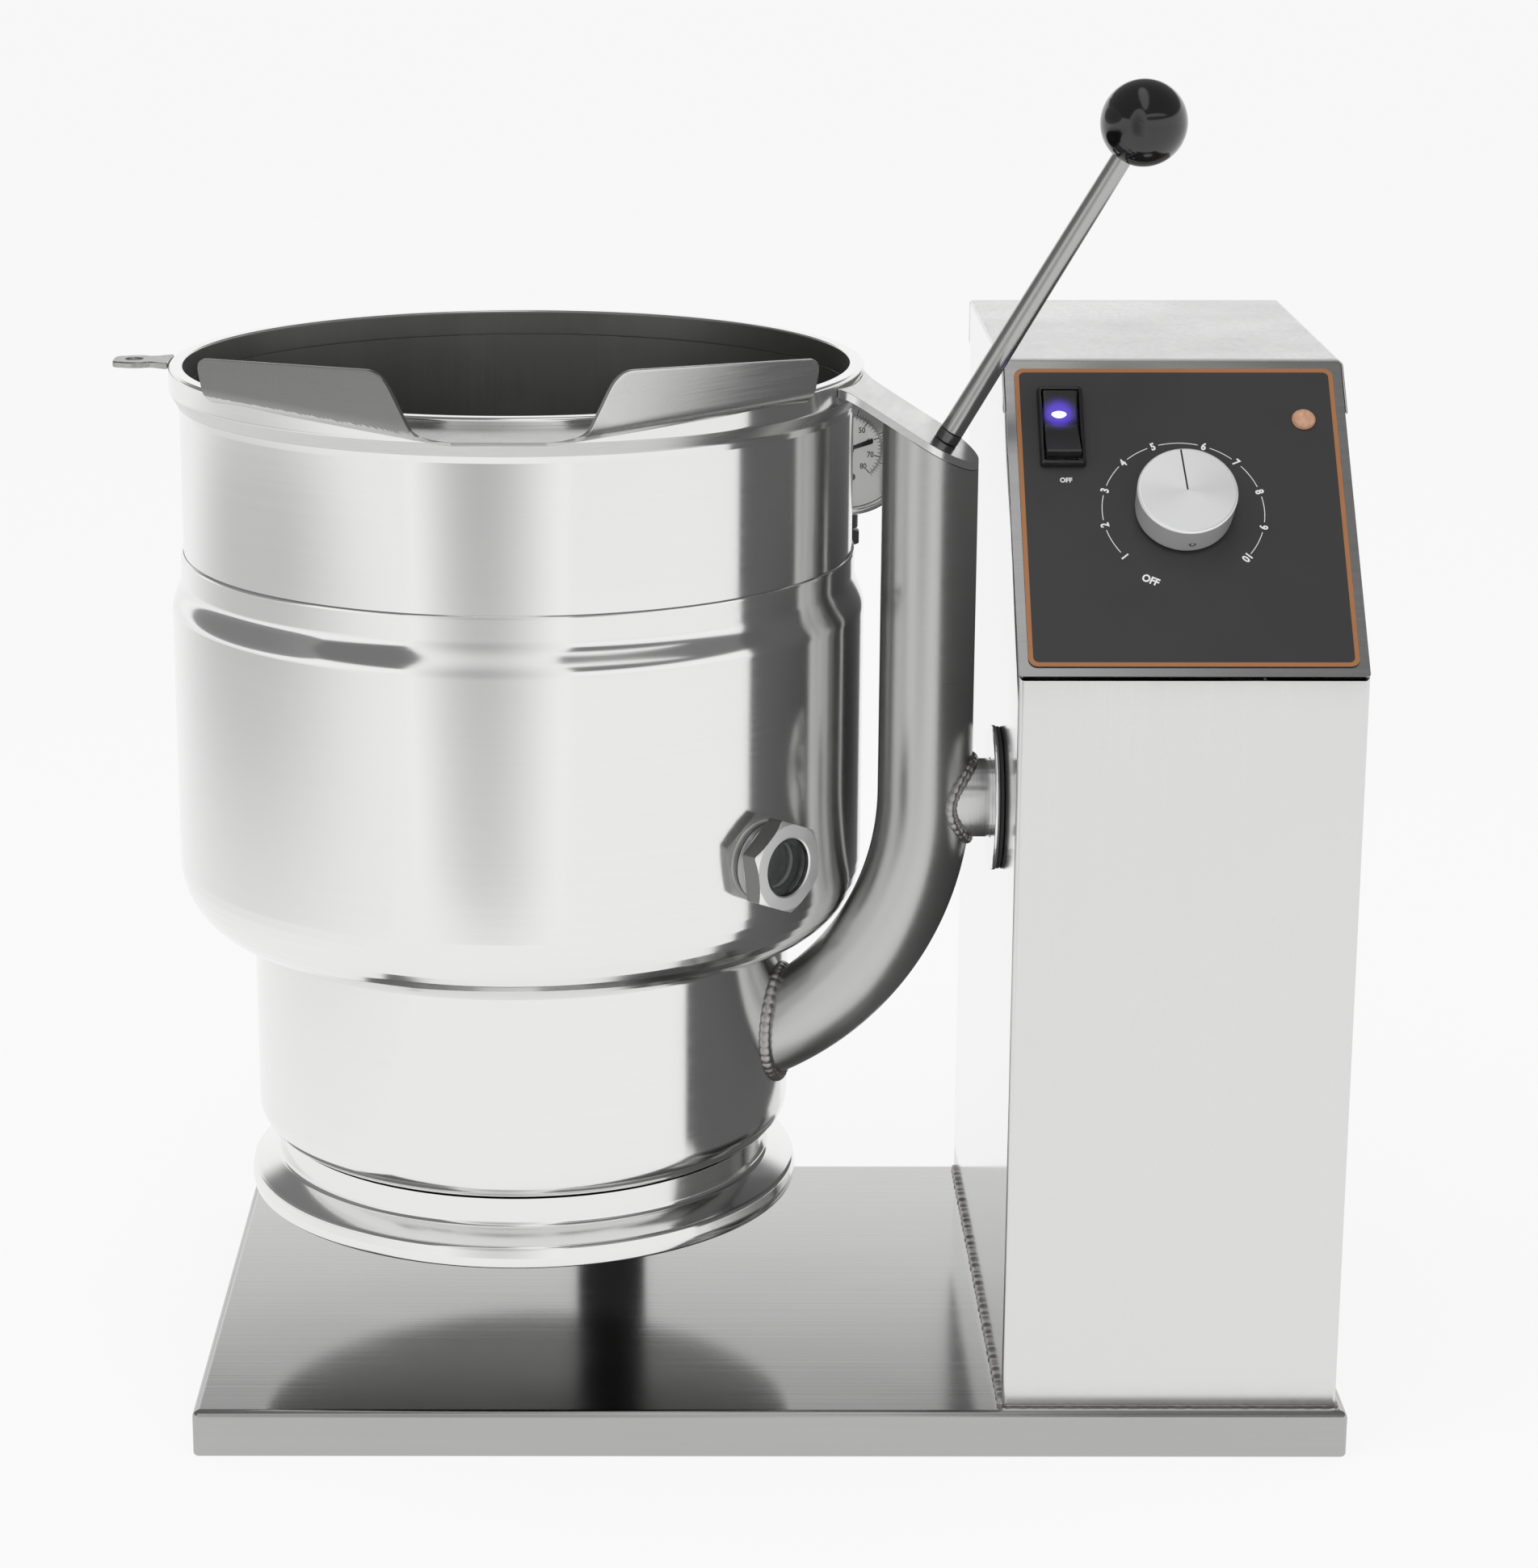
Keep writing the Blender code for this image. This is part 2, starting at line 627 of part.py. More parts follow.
def build_console(unit, brushed):
    """The bent housing, its lift-off top cover and its back panel."""
    left, right = CONSOLE_LEFT, CONSOLE_RIGHT
    body = place("console_body", extruded(console_outline(0), left, right, "x"), unit, brushed)
    cavity = place("console_cavity", extruded(
        console_outline(CONSOLE_SHEET), left + CONSOLE_SHEET, right - CONSOLE_SHEET, "x"), unit, None)
    cut(body, cavity)
    flange = CONSOLE_SHEET + CONSOLE_FLANGE
    mouth_outline = [
        (CONSOLE_FRONT_INSET + flange, CONSOLE_FRONT_HEIGHT - flange),
        (CONSOLE_FRONT_INSET + flange, -OVERRUN), (BASE_DEPTH + OVERRUN, -OVERRUN),
        (BASE_DEPTH + OVERRUN, CONSOLE_HEIGHT + OVERRUN),
        (CONSOLE_FRONT_INSET, CONSOLE_HEIGHT + OVERRUN),
        (CONSOLE_FRONT_INSET - OVERRUN, CONSOLE_FRONT_HEIGHT + flange)]
    mouth = place("console_mouth", extruded(mouth_outline, left + flange, right - flange, "x"), unit, None)
    cut(body, mouth)
    hole = place("trunnion_hole", cylinder(
        TRUNNION_DIAMETER / 2 + GAP * 2, -CONSOLE_SHEET - OVERRUN, CONSOLE_SHEET + OVERRUN,
        SMALL_STEPS * 2), unit, None, location=(left, PIVOT_Y, PIVOT_HEIGHT), rotation=(0, math.pi / 2, 0))
    cut(body, hole)

    outer = left - COVER_SHEET - GAP
    edge = CONSOLE_FRONT_INSET + CONSOLE_SLOPE_RUN
    slope = CONSOLE_SLOPE_RUN / (CONSOLE_HEIGHT - CONSOLE_FRONT_HEIGHT)
    cover_low = CONSOLE_HEIGHT - COVER_FLANGE
    cover_outline = [(edge, CONSOLE_HEIGHT), (edge - COVER_FLANGE * slope, cover_low),
                     (CONSOLE_BACK, cover_low), (CONSOLE_BACK, CONSOLE_HEIGHT)]
    cover = place("console_top_cover", extruded(
        cover_outline, outer, right + COVER_SHEET + GAP, "x"), unit, brushed)
    inside = [(edge - OVERRUN - COVER_FLANGE * slope, CONSOLE_HEIGHT - COVER_SHEET),
              (edge - OVERRUN - COVER_FLANGE * slope, cover_low - OVERRUN),
              (CONSOLE_BACK - COVER_SHEET, cover_low - OVERRUN),
              (CONSOLE_BACK - COVER_SHEET, CONSOLE_HEIGHT - COVER_SHEET)]
    cover_hollow = place("cover_hollow", extruded(
        inside, left - GAP, right + GAP, "x"), unit, None)
    cut(cover, cover_hollow)
    trim = place("cover_front_trim", block(
        (left - GAP, edge - OVERRUN * 2, CONSOLE_HEIGHT - COVER_SHEET - GAP * 2),
        (right + GAP, edge + PANEL_SHEET, CONSOLE_HEIGHT + OVERRUN)), unit, None)
    cut(cover, trim)

    panel = place("console_back_panel", block(
        (left + BACK_MARGIN, CONSOLE_BACK - BACK_SHEET, BACK_MARGIN),
        (right - BACK_MARGIN, CONSOLE_BACK, cover_low - GAP)), unit, brushed)
    opening = place("gland_hole", cylinder(
        GLAND_THREAD / 2 + GAP, -BACK_SHEET - OVERRUN, OVERRUN, SMALL_STEPS), unit, None,
        location=((left + right) / 2, CONSOLE_BACK, GLAND_HEIGHT), rotation=(-math.pi / 2, 0, 0))
    cut(panel, opening)


def build_gland(unit, plastic):
    """The empty cable gland: hexagon, domed nut and threaded tail."""
    reach, radius = GLAND_REACH, GLAND_DIAMETER / 2
    gland = place("cable_gland", turned([
        (GLAND_BORE / 2, reach), (radius * GLAND_NOSE_SHARE, reach), (radius, reach * GLAND_TAPER_SHARE),
        (radius, GLAND_HEX_THICKNESS), (radius + GAP, GAP), (GLAND_THREAD / 2, GAP),
        (GLAND_THREAD / 2, -GLAND_HEX_THICKNESS), (GLAND_BORE / 2, -GLAND_HEX_THICKNESS)], SMALL_STEPS),
        unit, plastic, location=((CONSOLE_LEFT + CONSOLE_RIGHT) / 2, CONSOLE_BACK, GLAND_HEIGHT),
        rotation=(-math.pi / 2, 0, 0))
    return gland


def build_panel(panel, steel, film, plastic, lens, amber):
    """Sloping control panel, its film overlay, the lamps and the switch housing."""
    width, length = CONSOLE_WIDTH, SLOPE_LENGTH
    sheet = place("control_panel", block((0, 0, -PANEL_SHEET), (width, length, 0)), panel, steel)
    overlay_low = (OVERLAY_END_MARGIN, OVERLAY_MARGIN)
    overlay_high = (width - OVERLAY_END_MARGIN, length - OVERLAY_MARGIN)
    overlay = place("panel_overlay", extruded(rounded_rectangle(
        overlay_low, overlay_high, OVERLAY_CORNER), GAP, GAP + OVERLAY_THICKNESS), panel, film)
    holes = (("lamp_hole", (LAMP_X, LAMP_Y), LAMP_DIAMETER / 2 + GAP - LAMP_SHOULDER),
             ("knob_hole", (KNOB_X, KNOB_Y), SHAFT_BUSH_DIAMETER / 2 + GAP))
    for name, (x, y), radius in holes:
        drill = place(name, cylinder(radius, -OVERRUN, OVERRUN, SMALL_STEPS), panel, None,
                      location=(x, y, 0))
        cut(sheet, drill)
        cut(overlay, drill)
    window = place("low_water_hole", cylinder(
        LOW_WATER_DIAMETER / 2 + GAP, -OVERRUN, GAP / 2, SMALL_STEPS), panel, None,
        location=(LAMP_X, LOW_WATER_Y, 0))
    cut(sheet, window)
    inner_x = SWITCH_WIDTH / 2 - SWITCH_WALL
    inner_y = SWITCH_LENGTH / 2 - SWITCH_WALL
    slot = place("switch_hole", block(
        (-inner_x - GAP, -inner_y - GAP, -OVERRUN), (inner_x + GAP, inner_y + GAP, OVERRUN)),
        panel, None, location=(SWITCH_X, SWITCH_Y, 0))
    cut(sheet, slot)
    cut(overlay, slot)

    top = OVERLAY_THICKNESS + GAP * 2
    housing = place("switch_housing", extruded(rounded_rectangle(
        (-SWITCH_WIDTH / 2, -SWITCH_LENGTH / 2), (SWITCH_WIDTH / 2, SWITCH_LENGTH / 2), SWITCH_RIM, 2),
        top, top + SWITCH_RISE), panel, plastic, location=(SWITCH_X, SWITCH_Y, 0))
    barrel = place("switch_barrel", block(
        (-inner_x, -inner_y, -SWITCH_DEPTH), (inner_x, inner_y, top + SWITCH_RIM)),
        panel, None, location=(SWITCH_X, SWITCH_Y, 0))
    join(housing, barrel)
    well_x = inner_x - SWITCH_WALL
    well_y = inner_y - SWITCH_WALL
    well = place("switch_well", block((-well_x, -well_y, -SWITCH_DEPTH / 2), (well_x, well_y, OVERRUN)),
                 panel, None, location=(SWITCH_X, SWITCH_Y, 0))
    cut(housing, well)

    radius = LAMP_DIAMETER / 2
    body = radius - LAMP_SHOULDER
    dome = arc((0, top + LAMP_RISE - body), body, 90, 30, 3)
    place("heat_lamp", turned(dome + [
        (radius, top + LAMP_RISE / 3), (radius, top), (body, top), (body, -LAMP_DEPTH), (0, -LAMP_DEPTH)],
        SMALL_STEPS, closed=False), panel, amber, location=(LAMP_X, LAMP_Y, 0))
    place("low_water_lamp", cylinder(LOW_WATER_DIAMETER / 2, -LAMP_DEPTH, 0, SMALL_STEPS // 2),
          panel, lens, location=(LAMP_X, LOW_WATER_Y, 0))


def rocker_side(well_y, shoulder):
    """Side view of the rocker: a shallow saddle on top and a round belly."""
    saddle = well_y * ROCKER_SADDLE_SHARE
    top = [(well_y, ROCKER_RISE), (saddle, -ROCKER_DIP / 4), (0, -ROCKER_DIP),
           (-saddle, -ROCKER_DIP / 4), (-well_y, ROCKER_RISE)]
    belly = arc((0, -ROCKER_DIP), shoulder, 200, 340, 6)
    return [(y, z) for y, z in top] + belly


def build_rocker(panel, plastic):
    """The rocker tips about a pin across the switch."""
    height = OVERLAY_THICKNESS + GAP * 2 + SWITCH_RISE
    pivot = frame("rocker_pivot", panel, (SWITCH_X, SWITCH_Y, height))
    half = SWITCH_WIDTH / 2 - SWITCH_WALL * 2 - GAP * 2
    well_y = SWITCH_LENGTH / 2 - SWITCH_WALL * 2 - GAP * 4
    side = rocker_side(well_y, ROCKER_RADIUS)
    paddle = place("switch_rocker", extruded(side, -half, half, "x"), pivot, plastic)
    paddle.rotation_euler = (math.radians(-ROCKER_THROW_DEG), 0, 0)


def build_thermostat(panel, metal, dark):
    """The thermostat behind the panel, its shaft, the knob and its set screw."""
    half = THERMOSTAT_WIDTH / 2
    seat = -PANEL_SHEET - GAP
    body = place("thermostat_body", block(
        (-half, -half, seat - THERMOSTAT_DEPTH), (half, half, seat)),
        panel, dark, location=(KNOB_X, KNOB_Y, 0))
    bush = place("thermostat_bush", cylinder(
        SHAFT_BUSH_DIAMETER / 2, -THERMOSTAT_DEPTH / 2, KNOB_LIFT / 2, SMALL_STEPS),
        panel, None, location=(KNOB_X, KNOB_Y, 0))
    join(body, bush)
    bore = place("thermostat_bore", cylinder(
        SHAFT_DIAMETER / 2 + GAP, -THERMOSTAT_DEPTH / 2, OVERRUN, SMALL_STEPS),
        panel, None, location=(KNOB_X, KNOB_Y, 0))
    cut(body, bore)

    pivot = frame("knob_pivot", panel, (KNOB_X, KNOB_Y, 0), (0, 0, math.radians(POINTER_DEG)))
    base = OVERLAY_THICKNESS + GAP + KNOB_LIFT
    face = base + KNOB_RISE - KNOB_LIFT
    shaft_top = base + SHAFT_ENGAGEMENT
    place("thermostat_shaft", cylinder(
        SHAFT_DIAMETER / 2, -THERMOSTAT_DEPTH / 2 + GAP, shaft_top, SMALL_STEPS), pivot, metal)
    rim, hub = KNOB_DIAMETER / 2, KNOB_HUB_DIAMETER / 2
    inner = KNOB_BASE_DIAMETER / 2 - KNOB_WALL
    roof = face - KNOB_WALL
    knob = place("control_knob", turned([
        (0, face), (rim - KNOB_FACE_EDGE, face), (rim, face - KNOB_FACE_EDGE),
        (KNOB_BASE_DIAMETER / 2, base),
        (inner, base), (inner, roof), (hub, roof), (hub, base + KNOB_LIFT / 2),
        (SHAFT_DIAMETER / 2 + GAP, base + KNOB_LIFT / 2), (SHAFT_DIAMETER / 2 + GAP, shaft_top + GAP),
        (0, shaft_top + GAP)], MEDIUM_STEPS + SMALL_STEPS, closed=False), pivot, metal)
    screw_out = rim - KNOB_WALL / 2
    screw_in = SHAFT_DIAMETER / 2 + GAP
    height = base + SET_SCREW_HEIGHT
    hole = place("set_screw_hole", cylinder(
        SET_SCREW_DIAMETER / 2 + GAP, 0, rim + OVERRUN, SMALL_STEPS // 2),
        pivot, None, location=(0, 0, height), rotation=(math.pi / 2, 0, 0))
    cut(knob, hole)
    place("knob_set_screw", cylinder(
        SET_SCREW_DIAMETER / 2, screw_in, screw_out - SET_SCREW_DIAMETER, SMALL_STEPS // 2),
        pivot, dark, location=(0, 0, height), rotation=(math.pi / 2, 0, 0))


def build_components(unit, steel, dark, board_green):
    """What the console holds: a component plate on the right wall and its parts."""
    wall = CONSOLE_RIGHT - CONSOLE_SHEET - CONSOLE_FLANGE - GAP
    plate_x = wall - PLATE_SHEET
    middle = (CONSOLE_FRONT_INSET + CONSOLE_BACK) / 2
    y0, y1 = middle - PLATE_WIDTH / 2, middle + PLATE_WIDTH / 2
    z0, z1 = PLATE_BOTTOM, PLATE_BOTTOM + PLATE_HEIGHT
    plate = place("component_plate", block((plate_x, y0, z0), (wall, y1, z1)), unit, steel)
    for index, (y, z) in enumerate(((y0, z0), (y1, z0), (y0, z1), (y1, z1))):
        inset_y = PLATE_STANDOFF if y == y0 else -PLATE_STANDOFF
        inset_z = PLATE_STANDOFF if z == z0 else -PLATE_STANDOFF
        post = place(f"plate_post_{index}", cylinder(
            PLATE_STANDOFF / 2, -PLATE_SHEET / 2, CONSOLE_FLANGE, SMALL_STEPS // 2), unit, None,
            location=(wall, y + inset_y, z + inset_z), rotation=(0, math.pi / 2, 0))
        join(plate, post)
    face = plate_x - GAP

    def boxed(name, size, y, z, finish):
        low = (face - size[0], y - size[1] / 2, z - size[2] / 2)
        return place(name, block(low, (face, y + size[1] / 2, z + size[2] / 2)), unit, finish)

    contactor_z = z0 + PLATE_HEIGHT * CONTACTOR_PLACE_SHARE
    contactor = boxed("contactor", CONTACTOR_SIZE, middle - PLATE_WIDTH / 4, contactor_z, dark)
    bevel(contactor, PLATE_CORNER, 1)
    strip_z = z0 + PLATE_HEIGHT * TERMINAL_PLACE_SHARE
    strip = boxed("terminal_block", TERMINAL_SIZE, middle, strip_z, dark)
    pitch = TERMINAL_SIZE[1] / TERMINAL_POLES
    for pole in range(TERMINAL_POLES):
        y = middle - TERMINAL_SIZE[1] / 2 + pitch * pole + pitch / 2
        half = TERMINAL_SLOT / 2
        slot = place(f"terminal_slot_{pole}", block(
            (face - TERMINAL_SIZE[0] - OVERRUN, y - half, strip_z - half),
            (face - TERMINAL_SIZE[0] / 2, y + half, strip_z + TERMINAL_SIZE[2])), unit, None)
        cut(strip, slot)
    board_y = middle + PLATE_WIDTH / 4
    board_x = face - BOARD_STANDOFF
    low = (board_x - BOARD_SIZE[0], board_y - BOARD_SIZE[1] / 2, contactor_z - BOARD_SIZE[2] / 2)
    high = (board_x, board_y + BOARD_SIZE[1] / 2, contactor_z + BOARD_SIZE[2] / 2)
    board = place("level_control_board", block(low, high), unit, board_green)
    for index, sign in enumerate((-1, 1)):
        post = place(f"board_post_{index}", cylinder(
            BOARD_STANDOFF / 4, -BOARD_SIZE[0] / 2, BOARD_STANDOFF, SMALL_STEPS // 2), unit, None,
            location=(board_x, board_y + sign * BOARD_SIZE[1] * BOARD_POST_SHARE, contactor_z),
            rotation=(0, math.pi / 2, 0))
        join(board, post)
    relay_back = board_x - BOARD_SIZE[0] / 2
    relay_half = (BOARD_RELAY_SIZE[1] / 2, BOARD_RELAY_SIZE[2] / 2)
    relay = place("board_relay", block(
        (relay_back - BOARD_RELAY_SIZE[0], board_y - relay_half[0], contactor_z - relay_half[1]),
        (relay_back, board_y + relay_half[0], contactor_z + relay_half[1])), unit, None)
    join(board, relay)


def build_trunnion_mount(unit, steel, bronze, polished, rubber):
    """Inside the console: the bracket, its two bushes and the stop bar."""
    radius = TRUNNION_DIAMETER / 2
    inside = CONSOLE_LEFT + CONSOLE_SHEET + BRACKET_LEFT_INSET
    outside = inside + BRACKET_SPAN + 2 * BRACKET_PLATE
    front, back = PIVOT_Y - BRACKET_DEPTH / 2 + BRACKET_FOOT, PIVOT_Y + BRACKET_DEPTH
    foot = GAP + CONSOLE_SHEET + GAP
    slope_back = PIVOT_Y + BRACKET_HEAD
    outline = [(front, foot), (back, foot), (back, foot + BRACKET_HEAD),
               (slope_back, PIVOT_HEIGHT)]
    outline += arc((PIVOT_Y, PIVOT_HEIGHT), BRACKET_HEAD, 0, 180, 8)[1:-1]
    outline += [(PIVOT_Y - BRACKET_HEAD, PIVOT_HEIGHT), (front, foot + BRACKET_HEAD)]
    bracket = place("trunnion_bracket", extruded(outline, inside, outside, "x"), unit, steel)
    channel = place("bracket_channel", block(
        (inside + BRACKET_PLATE, front - OVERRUN, foot + BRACKET_PLATE),
        (outside - BRACKET_PLATE, back + OVERRUN, PIVOT_HEIGHT + BRACKET_HEAD + OVERRUN)), unit, None)
    cut(bracket, channel)
    bore = place("bracket_bore", cylinder(
        radius + BUSH_WALL + 2 * GAP, -OVERRUN, outside - inside + OVERRUN, MEDIUM_STEPS), unit, None,
        location=(inside, PIVOT_Y, PIVOT_HEIGHT), rotation=(0, math.pi / 2, 0))
    cut(bracket, bore)

    bushes = (("left", inside, -1), ("right", outside, 1))
    for side, x, sign in bushes:
        inner, outer = radius + GAP, radius + BUSH_WALL + GAP
        flange = outer + BUSH_FLANGE
        profile = [(flange, GAP + BUSH_FLANGE_THICKNESS), (flange, GAP), (outer, GAP),
                   (outer, -BRACKET_PLATE), (inner, -BRACKET_PLATE), (inner, GAP + BUSH_FLANGE_THICKNESS)]
        place(f"trunnion_bush_{side}", turned(profile, MEDIUM_STEPS), unit, bronze,
              location=(x, PIVOT_Y, PIVOT_HEIGHT), rotation=(0, sign * math.pi / 2, 0))
    bar = STOP_BAR_DIAMETER / 2
    place("tilt_stop_bar", cylinder(bar, GAP, BRACKET_SPAN - GAP, SMALL_STEPS), unit, steel,
          location=(inside + BRACKET_PLATE, PIVOT_Y, PIVOT_HEIGHT - STOP_BAR_RADIUS),
          rotation=(0, math.pi / 2, 0))

    wall = CONSOLE_LEFT - GAP
    disc, disc_seat = DISC_DIAMETER / 2, -SEAL_THICKNESS - GAP
    disc_face = disc_seat - DISC_THICKNESS
    place("escutcheon_disc", turned([
        (disc, disc_seat), (disc, disc_seat - DISC_THICKNESS / 2), (disc - DISC_THICKNESS / 2, disc_face),
        (radius + 2 * GAP, disc_face), (radius + 2 * GAP, disc_seat)], MEDIUM_STEPS),
        unit, polished, location=(wall, PIVOT_Y, PIVOT_HEIGHT), rotation=(0, math.pi / 2, 0))
    place("escutcheon_seal", ring(radius + 2 * GAP, SEAL_DIAMETER / 2, -SEAL_THICKNESS, 0, MEDIUM_STEPS),
          unit, rubber, location=(wall, PIVOT_Y, PIVOT_HEIGHT), rotation=(0, math.pi / 2, 0))


def dished(radius, knuckle_height, knuckle, crown, steps=ARC_STEPS):
    """Right half of a dished end, from its straight wall down to the axis."""
    turn = math.asin((radius - knuckle) / (crown - knuckle))
    crown_centre = knuckle_height + (crown - knuckle) * math.cos(turn)
    points = arc((radius - knuckle, knuckle_height), knuckle, 0, math.degrees(turn) - 90, steps)
    points += arc((0, crown_centre), crown, math.degrees(turn) - 90, -90, steps)[1:]
    return points


def build_bowl(kettle, brushed, polished):
    """The liner that holds the food, and the bar welded round its top."""
    top = RIM_TOP - RIM_HEIGHT
    outer = dished(LINER_OUTER, LINER_KNUCKLE_HEIGHT, LINER_KNUCKLE + LINER_WALL, LINER_CROWN + LINER_WALL)
    inner = dished(LINER_INNER, LINER_KNUCKLE_HEIGHT, LINER_KNUCKLE, LINER_CROWN)
    profile = outer[::-1] + [(LINER_OUTER, top - GAP), (LINER_INNER, top - GAP)] + inner
    place("kettle_liner", turned(profile, SHELL_STEPS, closed=False), kettle, brushed)
    fillet = RIM_OUTER - LINER_OUTER - GAP
    place("rim_bar", turned([
        (RIM_OUTER - RIM_EDGE, RIM_TOP), (RIM_OUTER, RIM_TOP - RIM_EDGE), (RIM_OUTER, top + RIM_EDGE / 2),
        (RIM_OUTER - fillet * RIM_FILLET_SHARES[0], top - RIM_UNDERCUT),
        (RIM_OUTER - fillet * RIM_FILLET_SHARES[1], top - RIM_UNDERCUT * 2),
        (LINER_OUTER + GAP, top - RIM_UNDERCUT * 3), (LINER_OUTER + GAP, top), (LINER_INNER, top),
        (LINER_INNER, RIM_TOP - RIM_EDGE / 2), (LINER_INNER + RIM_EDGE / 2, RIM_TOP)], SHELL_STEPS),
        kettle, polished)


def build_jacket(kettle, polished):
    """The steam jacket: a band on the liner, a flare and a round bottom edge."""
    seat = LINER_OUTER + GAP
    inner_radius = JACKET_RADIUS - JACKET_WALL
    opening = HOUSING_RADIUS - HOUSING_WALL
    knuckle_height = JACKET_BOTTOM + JACKET_KNUCKLE
    outer = [(seat, JACKET_TOP), (JACKET_BAND_RADIUS, JACKET_TOP - JACKET_WALL / 2),
             (JACKET_BAND_RADIUS, JACKET_BAND_BOTTOM)]
    for out_share, down_share in JACKET_FLARE_SHARES:
        outer.append((JACKET_BAND_RADIUS + JACKET_FLARE_WIDTH * out_share,
                      JACKET_BAND_BOTTOM - JACKET_FLARE_HEIGHT * down_share))
    outer.append((JACKET_RADIUS, JACKET_FLARE_BOTTOM))
    outer += arc((JACKET_RADIUS - JACKET_KNUCKLE, knuckle_height), JACKET_KNUCKLE, 0, -90, ARC_STEPS + 1)
    inner = arc((JACKET_RADIUS - JACKET_KNUCKLE, knuckle_height), JACKET_KNUCKLE - JACKET_WALL,
                -90, 0, ARC_STEPS - 1)
    inner += [(inner_radius, JACKET_FLARE_BOTTOM), (seat, JACKET_BAND_BOTTOM)]
    profile = outer + [(opening, JACKET_BOTTOM), (opening, JACKET_BOTTOM + JACKET_WALL)] + inner
    return place("outer_jacket", turned(profile, SHELL_STEPS), kettle, polished)


def build_housing(kettle, polished, steel):
    """Heater housing below the jacket, the sump plate in it and the bottom cover."""
    top = JACKET_BOTTOM - GAP
    inner = HOUSING_RADIUS - HOUSING_WALL
    centre = (HOUSING_RADIUS - HOUSING_EDGE, HOUSING_BOTTOM + HOUSING_EDGE)
    lip = HOUSING_RADIUS - HOUSING_EDGE - HOUSING_TURN_IN / 2
    profile = [(HOUSING_RADIUS, top)] + arc(centre, HOUSING_EDGE, 0, -90)
    profile += [(lip, HOUSING_BOTTOM), (lip, HOUSING_BOTTOM + HOUSING_WALL)]
    profile += arc(centre, HOUSING_EDGE - HOUSING_WALL, -90, 0) + [(inner, top)]
    housing = place("heater_housing", turned(profile, SHELL_STEPS), kettle, polished)
    plate = place("sump_plate", cylinder(
        inner - GAP * 2, SUMP_PLATE_HEIGHT - SUMP_PLATE_THICKNESS, SUMP_PLATE_HEIGHT, SHELL_STEPS),
        kettle, steel)
    neck, ring_radius = COVER_NECK_RADIUS, COVER_RING_RADIUS
    neck_top = HOUSING_BOTTOM - GAP
    edge = COVER_RING_EDGE
    place("bottom_cover", turned([
        (0, COVER_BOTTOM + COVER_WALL), (neck - COVER_WALL, COVER_BOTTOM + COVER_WALL),
        (neck - COVER_WALL, neck_top), (neck, neck_top), (neck, COVER_NECK_BOTTOM + COVER_WALL),
        (neck + COVER_WALL / 2, COVER_NECK_BOTTOM), (ring_radius - edge, COVER_RING_TOP + edge / 2),
        (ring_radius, COVER_RING_TOP - edge / 2), (ring_radius, COVER_BOTTOM + edge),
        (ring_radius - edge, COVER_BOTTOM), (0, COVER_BOTTOM)], SHELL_STEPS, closed=False),
        kettle, polished)
    return housing, plate


def element_path(x):
    """A hairpin: up from the sump plate, back along it, round and down again."""
    half, bend = ELEMENT_LEG / 2, ELEMENT_LEG / 2
    run = SUMP_PLATE_HEIGHT + ELEMENT_RISE
    front, back = -ELEMENT_REACH / 2, ELEMENT_REACH / 2
    low = SUMP_PLATE_HEIGHT - SUMP_PLATE_THICKNESS - ELEMENT_TERMINAL
    rise = [(front + bend - p[0], p[1]) for p in arc((0, run - bend), bend, 0, 90, 3)]
    path = [(x - half, front, low)] + [(x - half, y, z) for y, z in rise]
    path += [(x + p[0], back + p[1], run) for p in arc((0, 0), half, 180, 0, 6)]
    path += [(x + half, y, z) for y, z in reversed(rise)] + [(x + half, front, low)]
    return path


def build_sump_parts(kettle, plate, metal):
    """Heating elements, the low water probe and the thermostat bulb."""
    low = SUMP_PLATE_HEIGHT - SUMP_PLATE_THICKNESS - ELEMENT_TERMINAL
    posts = []
    for index in range(ELEMENT_COUNT):
        x = (index - (ELEMENT_COUNT - 1) / 2) * ELEMENT_SPACING
        wire = round_wire(element_path(x), ELEMENT_DIAMETER / 2, SMALL_STEPS // 2)
        place(f"heating_element_{index + 1}", wire, kettle, metal)
        posts += [(x - ELEMENT_LEG / 2, -ELEMENT_REACH / 2, ELEMENT_DIAMETER),
                  (x + ELEMENT_LEG / 2, -ELEMENT_REACH / 2, ELEMENT_DIAMETER)]
    rods = (("level_probe", PROBE_OFFSET, PROBE_DIAMETER, PROBE_RISE),
            ("thermostat_bulb", -PROBE_OFFSET, BULB_DIAMETER, BULB_RISE))
    for name, x, diameter, rise in rods:
        place(name, cylinder(diameter / 2, low, SUMP_PLATE_HEIGHT + rise, SMALL_STEPS // 2), kettle, metal,
              location=(x, 0, 0))
        posts.append((x, 0, diameter))
    for index, (x, y, diameter) in enumerate(posts):
        drill = place(f"sump_hole_{index}", cylinder(
            diameter / 2 + 2 * GAP, low, SUMP_PLATE_HEIGHT + OVERRUN, SMALL_STEPS // 2), kettle, None,
            location=(x, y, 0))
        cut(plate, drill)


def lip_point(sign, along, out, height):
    """A point of the lip on one side (-1 left, 1 right).

    It is measured along that side from where it passes the rim, out from
    the kettle's axis square to the side, and up from the floor's underside.
    """
    turn = math.radians(LIP_ANGLE_DEG)
    across = out * math.sin(turn) - along * math.cos(turn)
    forward = out * math.cos(turn) + along * math.sin(turn)
    return (sign * across, -forward, RIM_TOP - LIP_FLOOR_DROP - LIP_SHEET + height)


def corner_share(share, size, height):
    """How far in a round corner has come at a share of a wing's height."""
    into = max(share * height - (height - size), 0.0) / size
    return size * (1 - math.sqrt(max(1 - into * into, 0.0)))


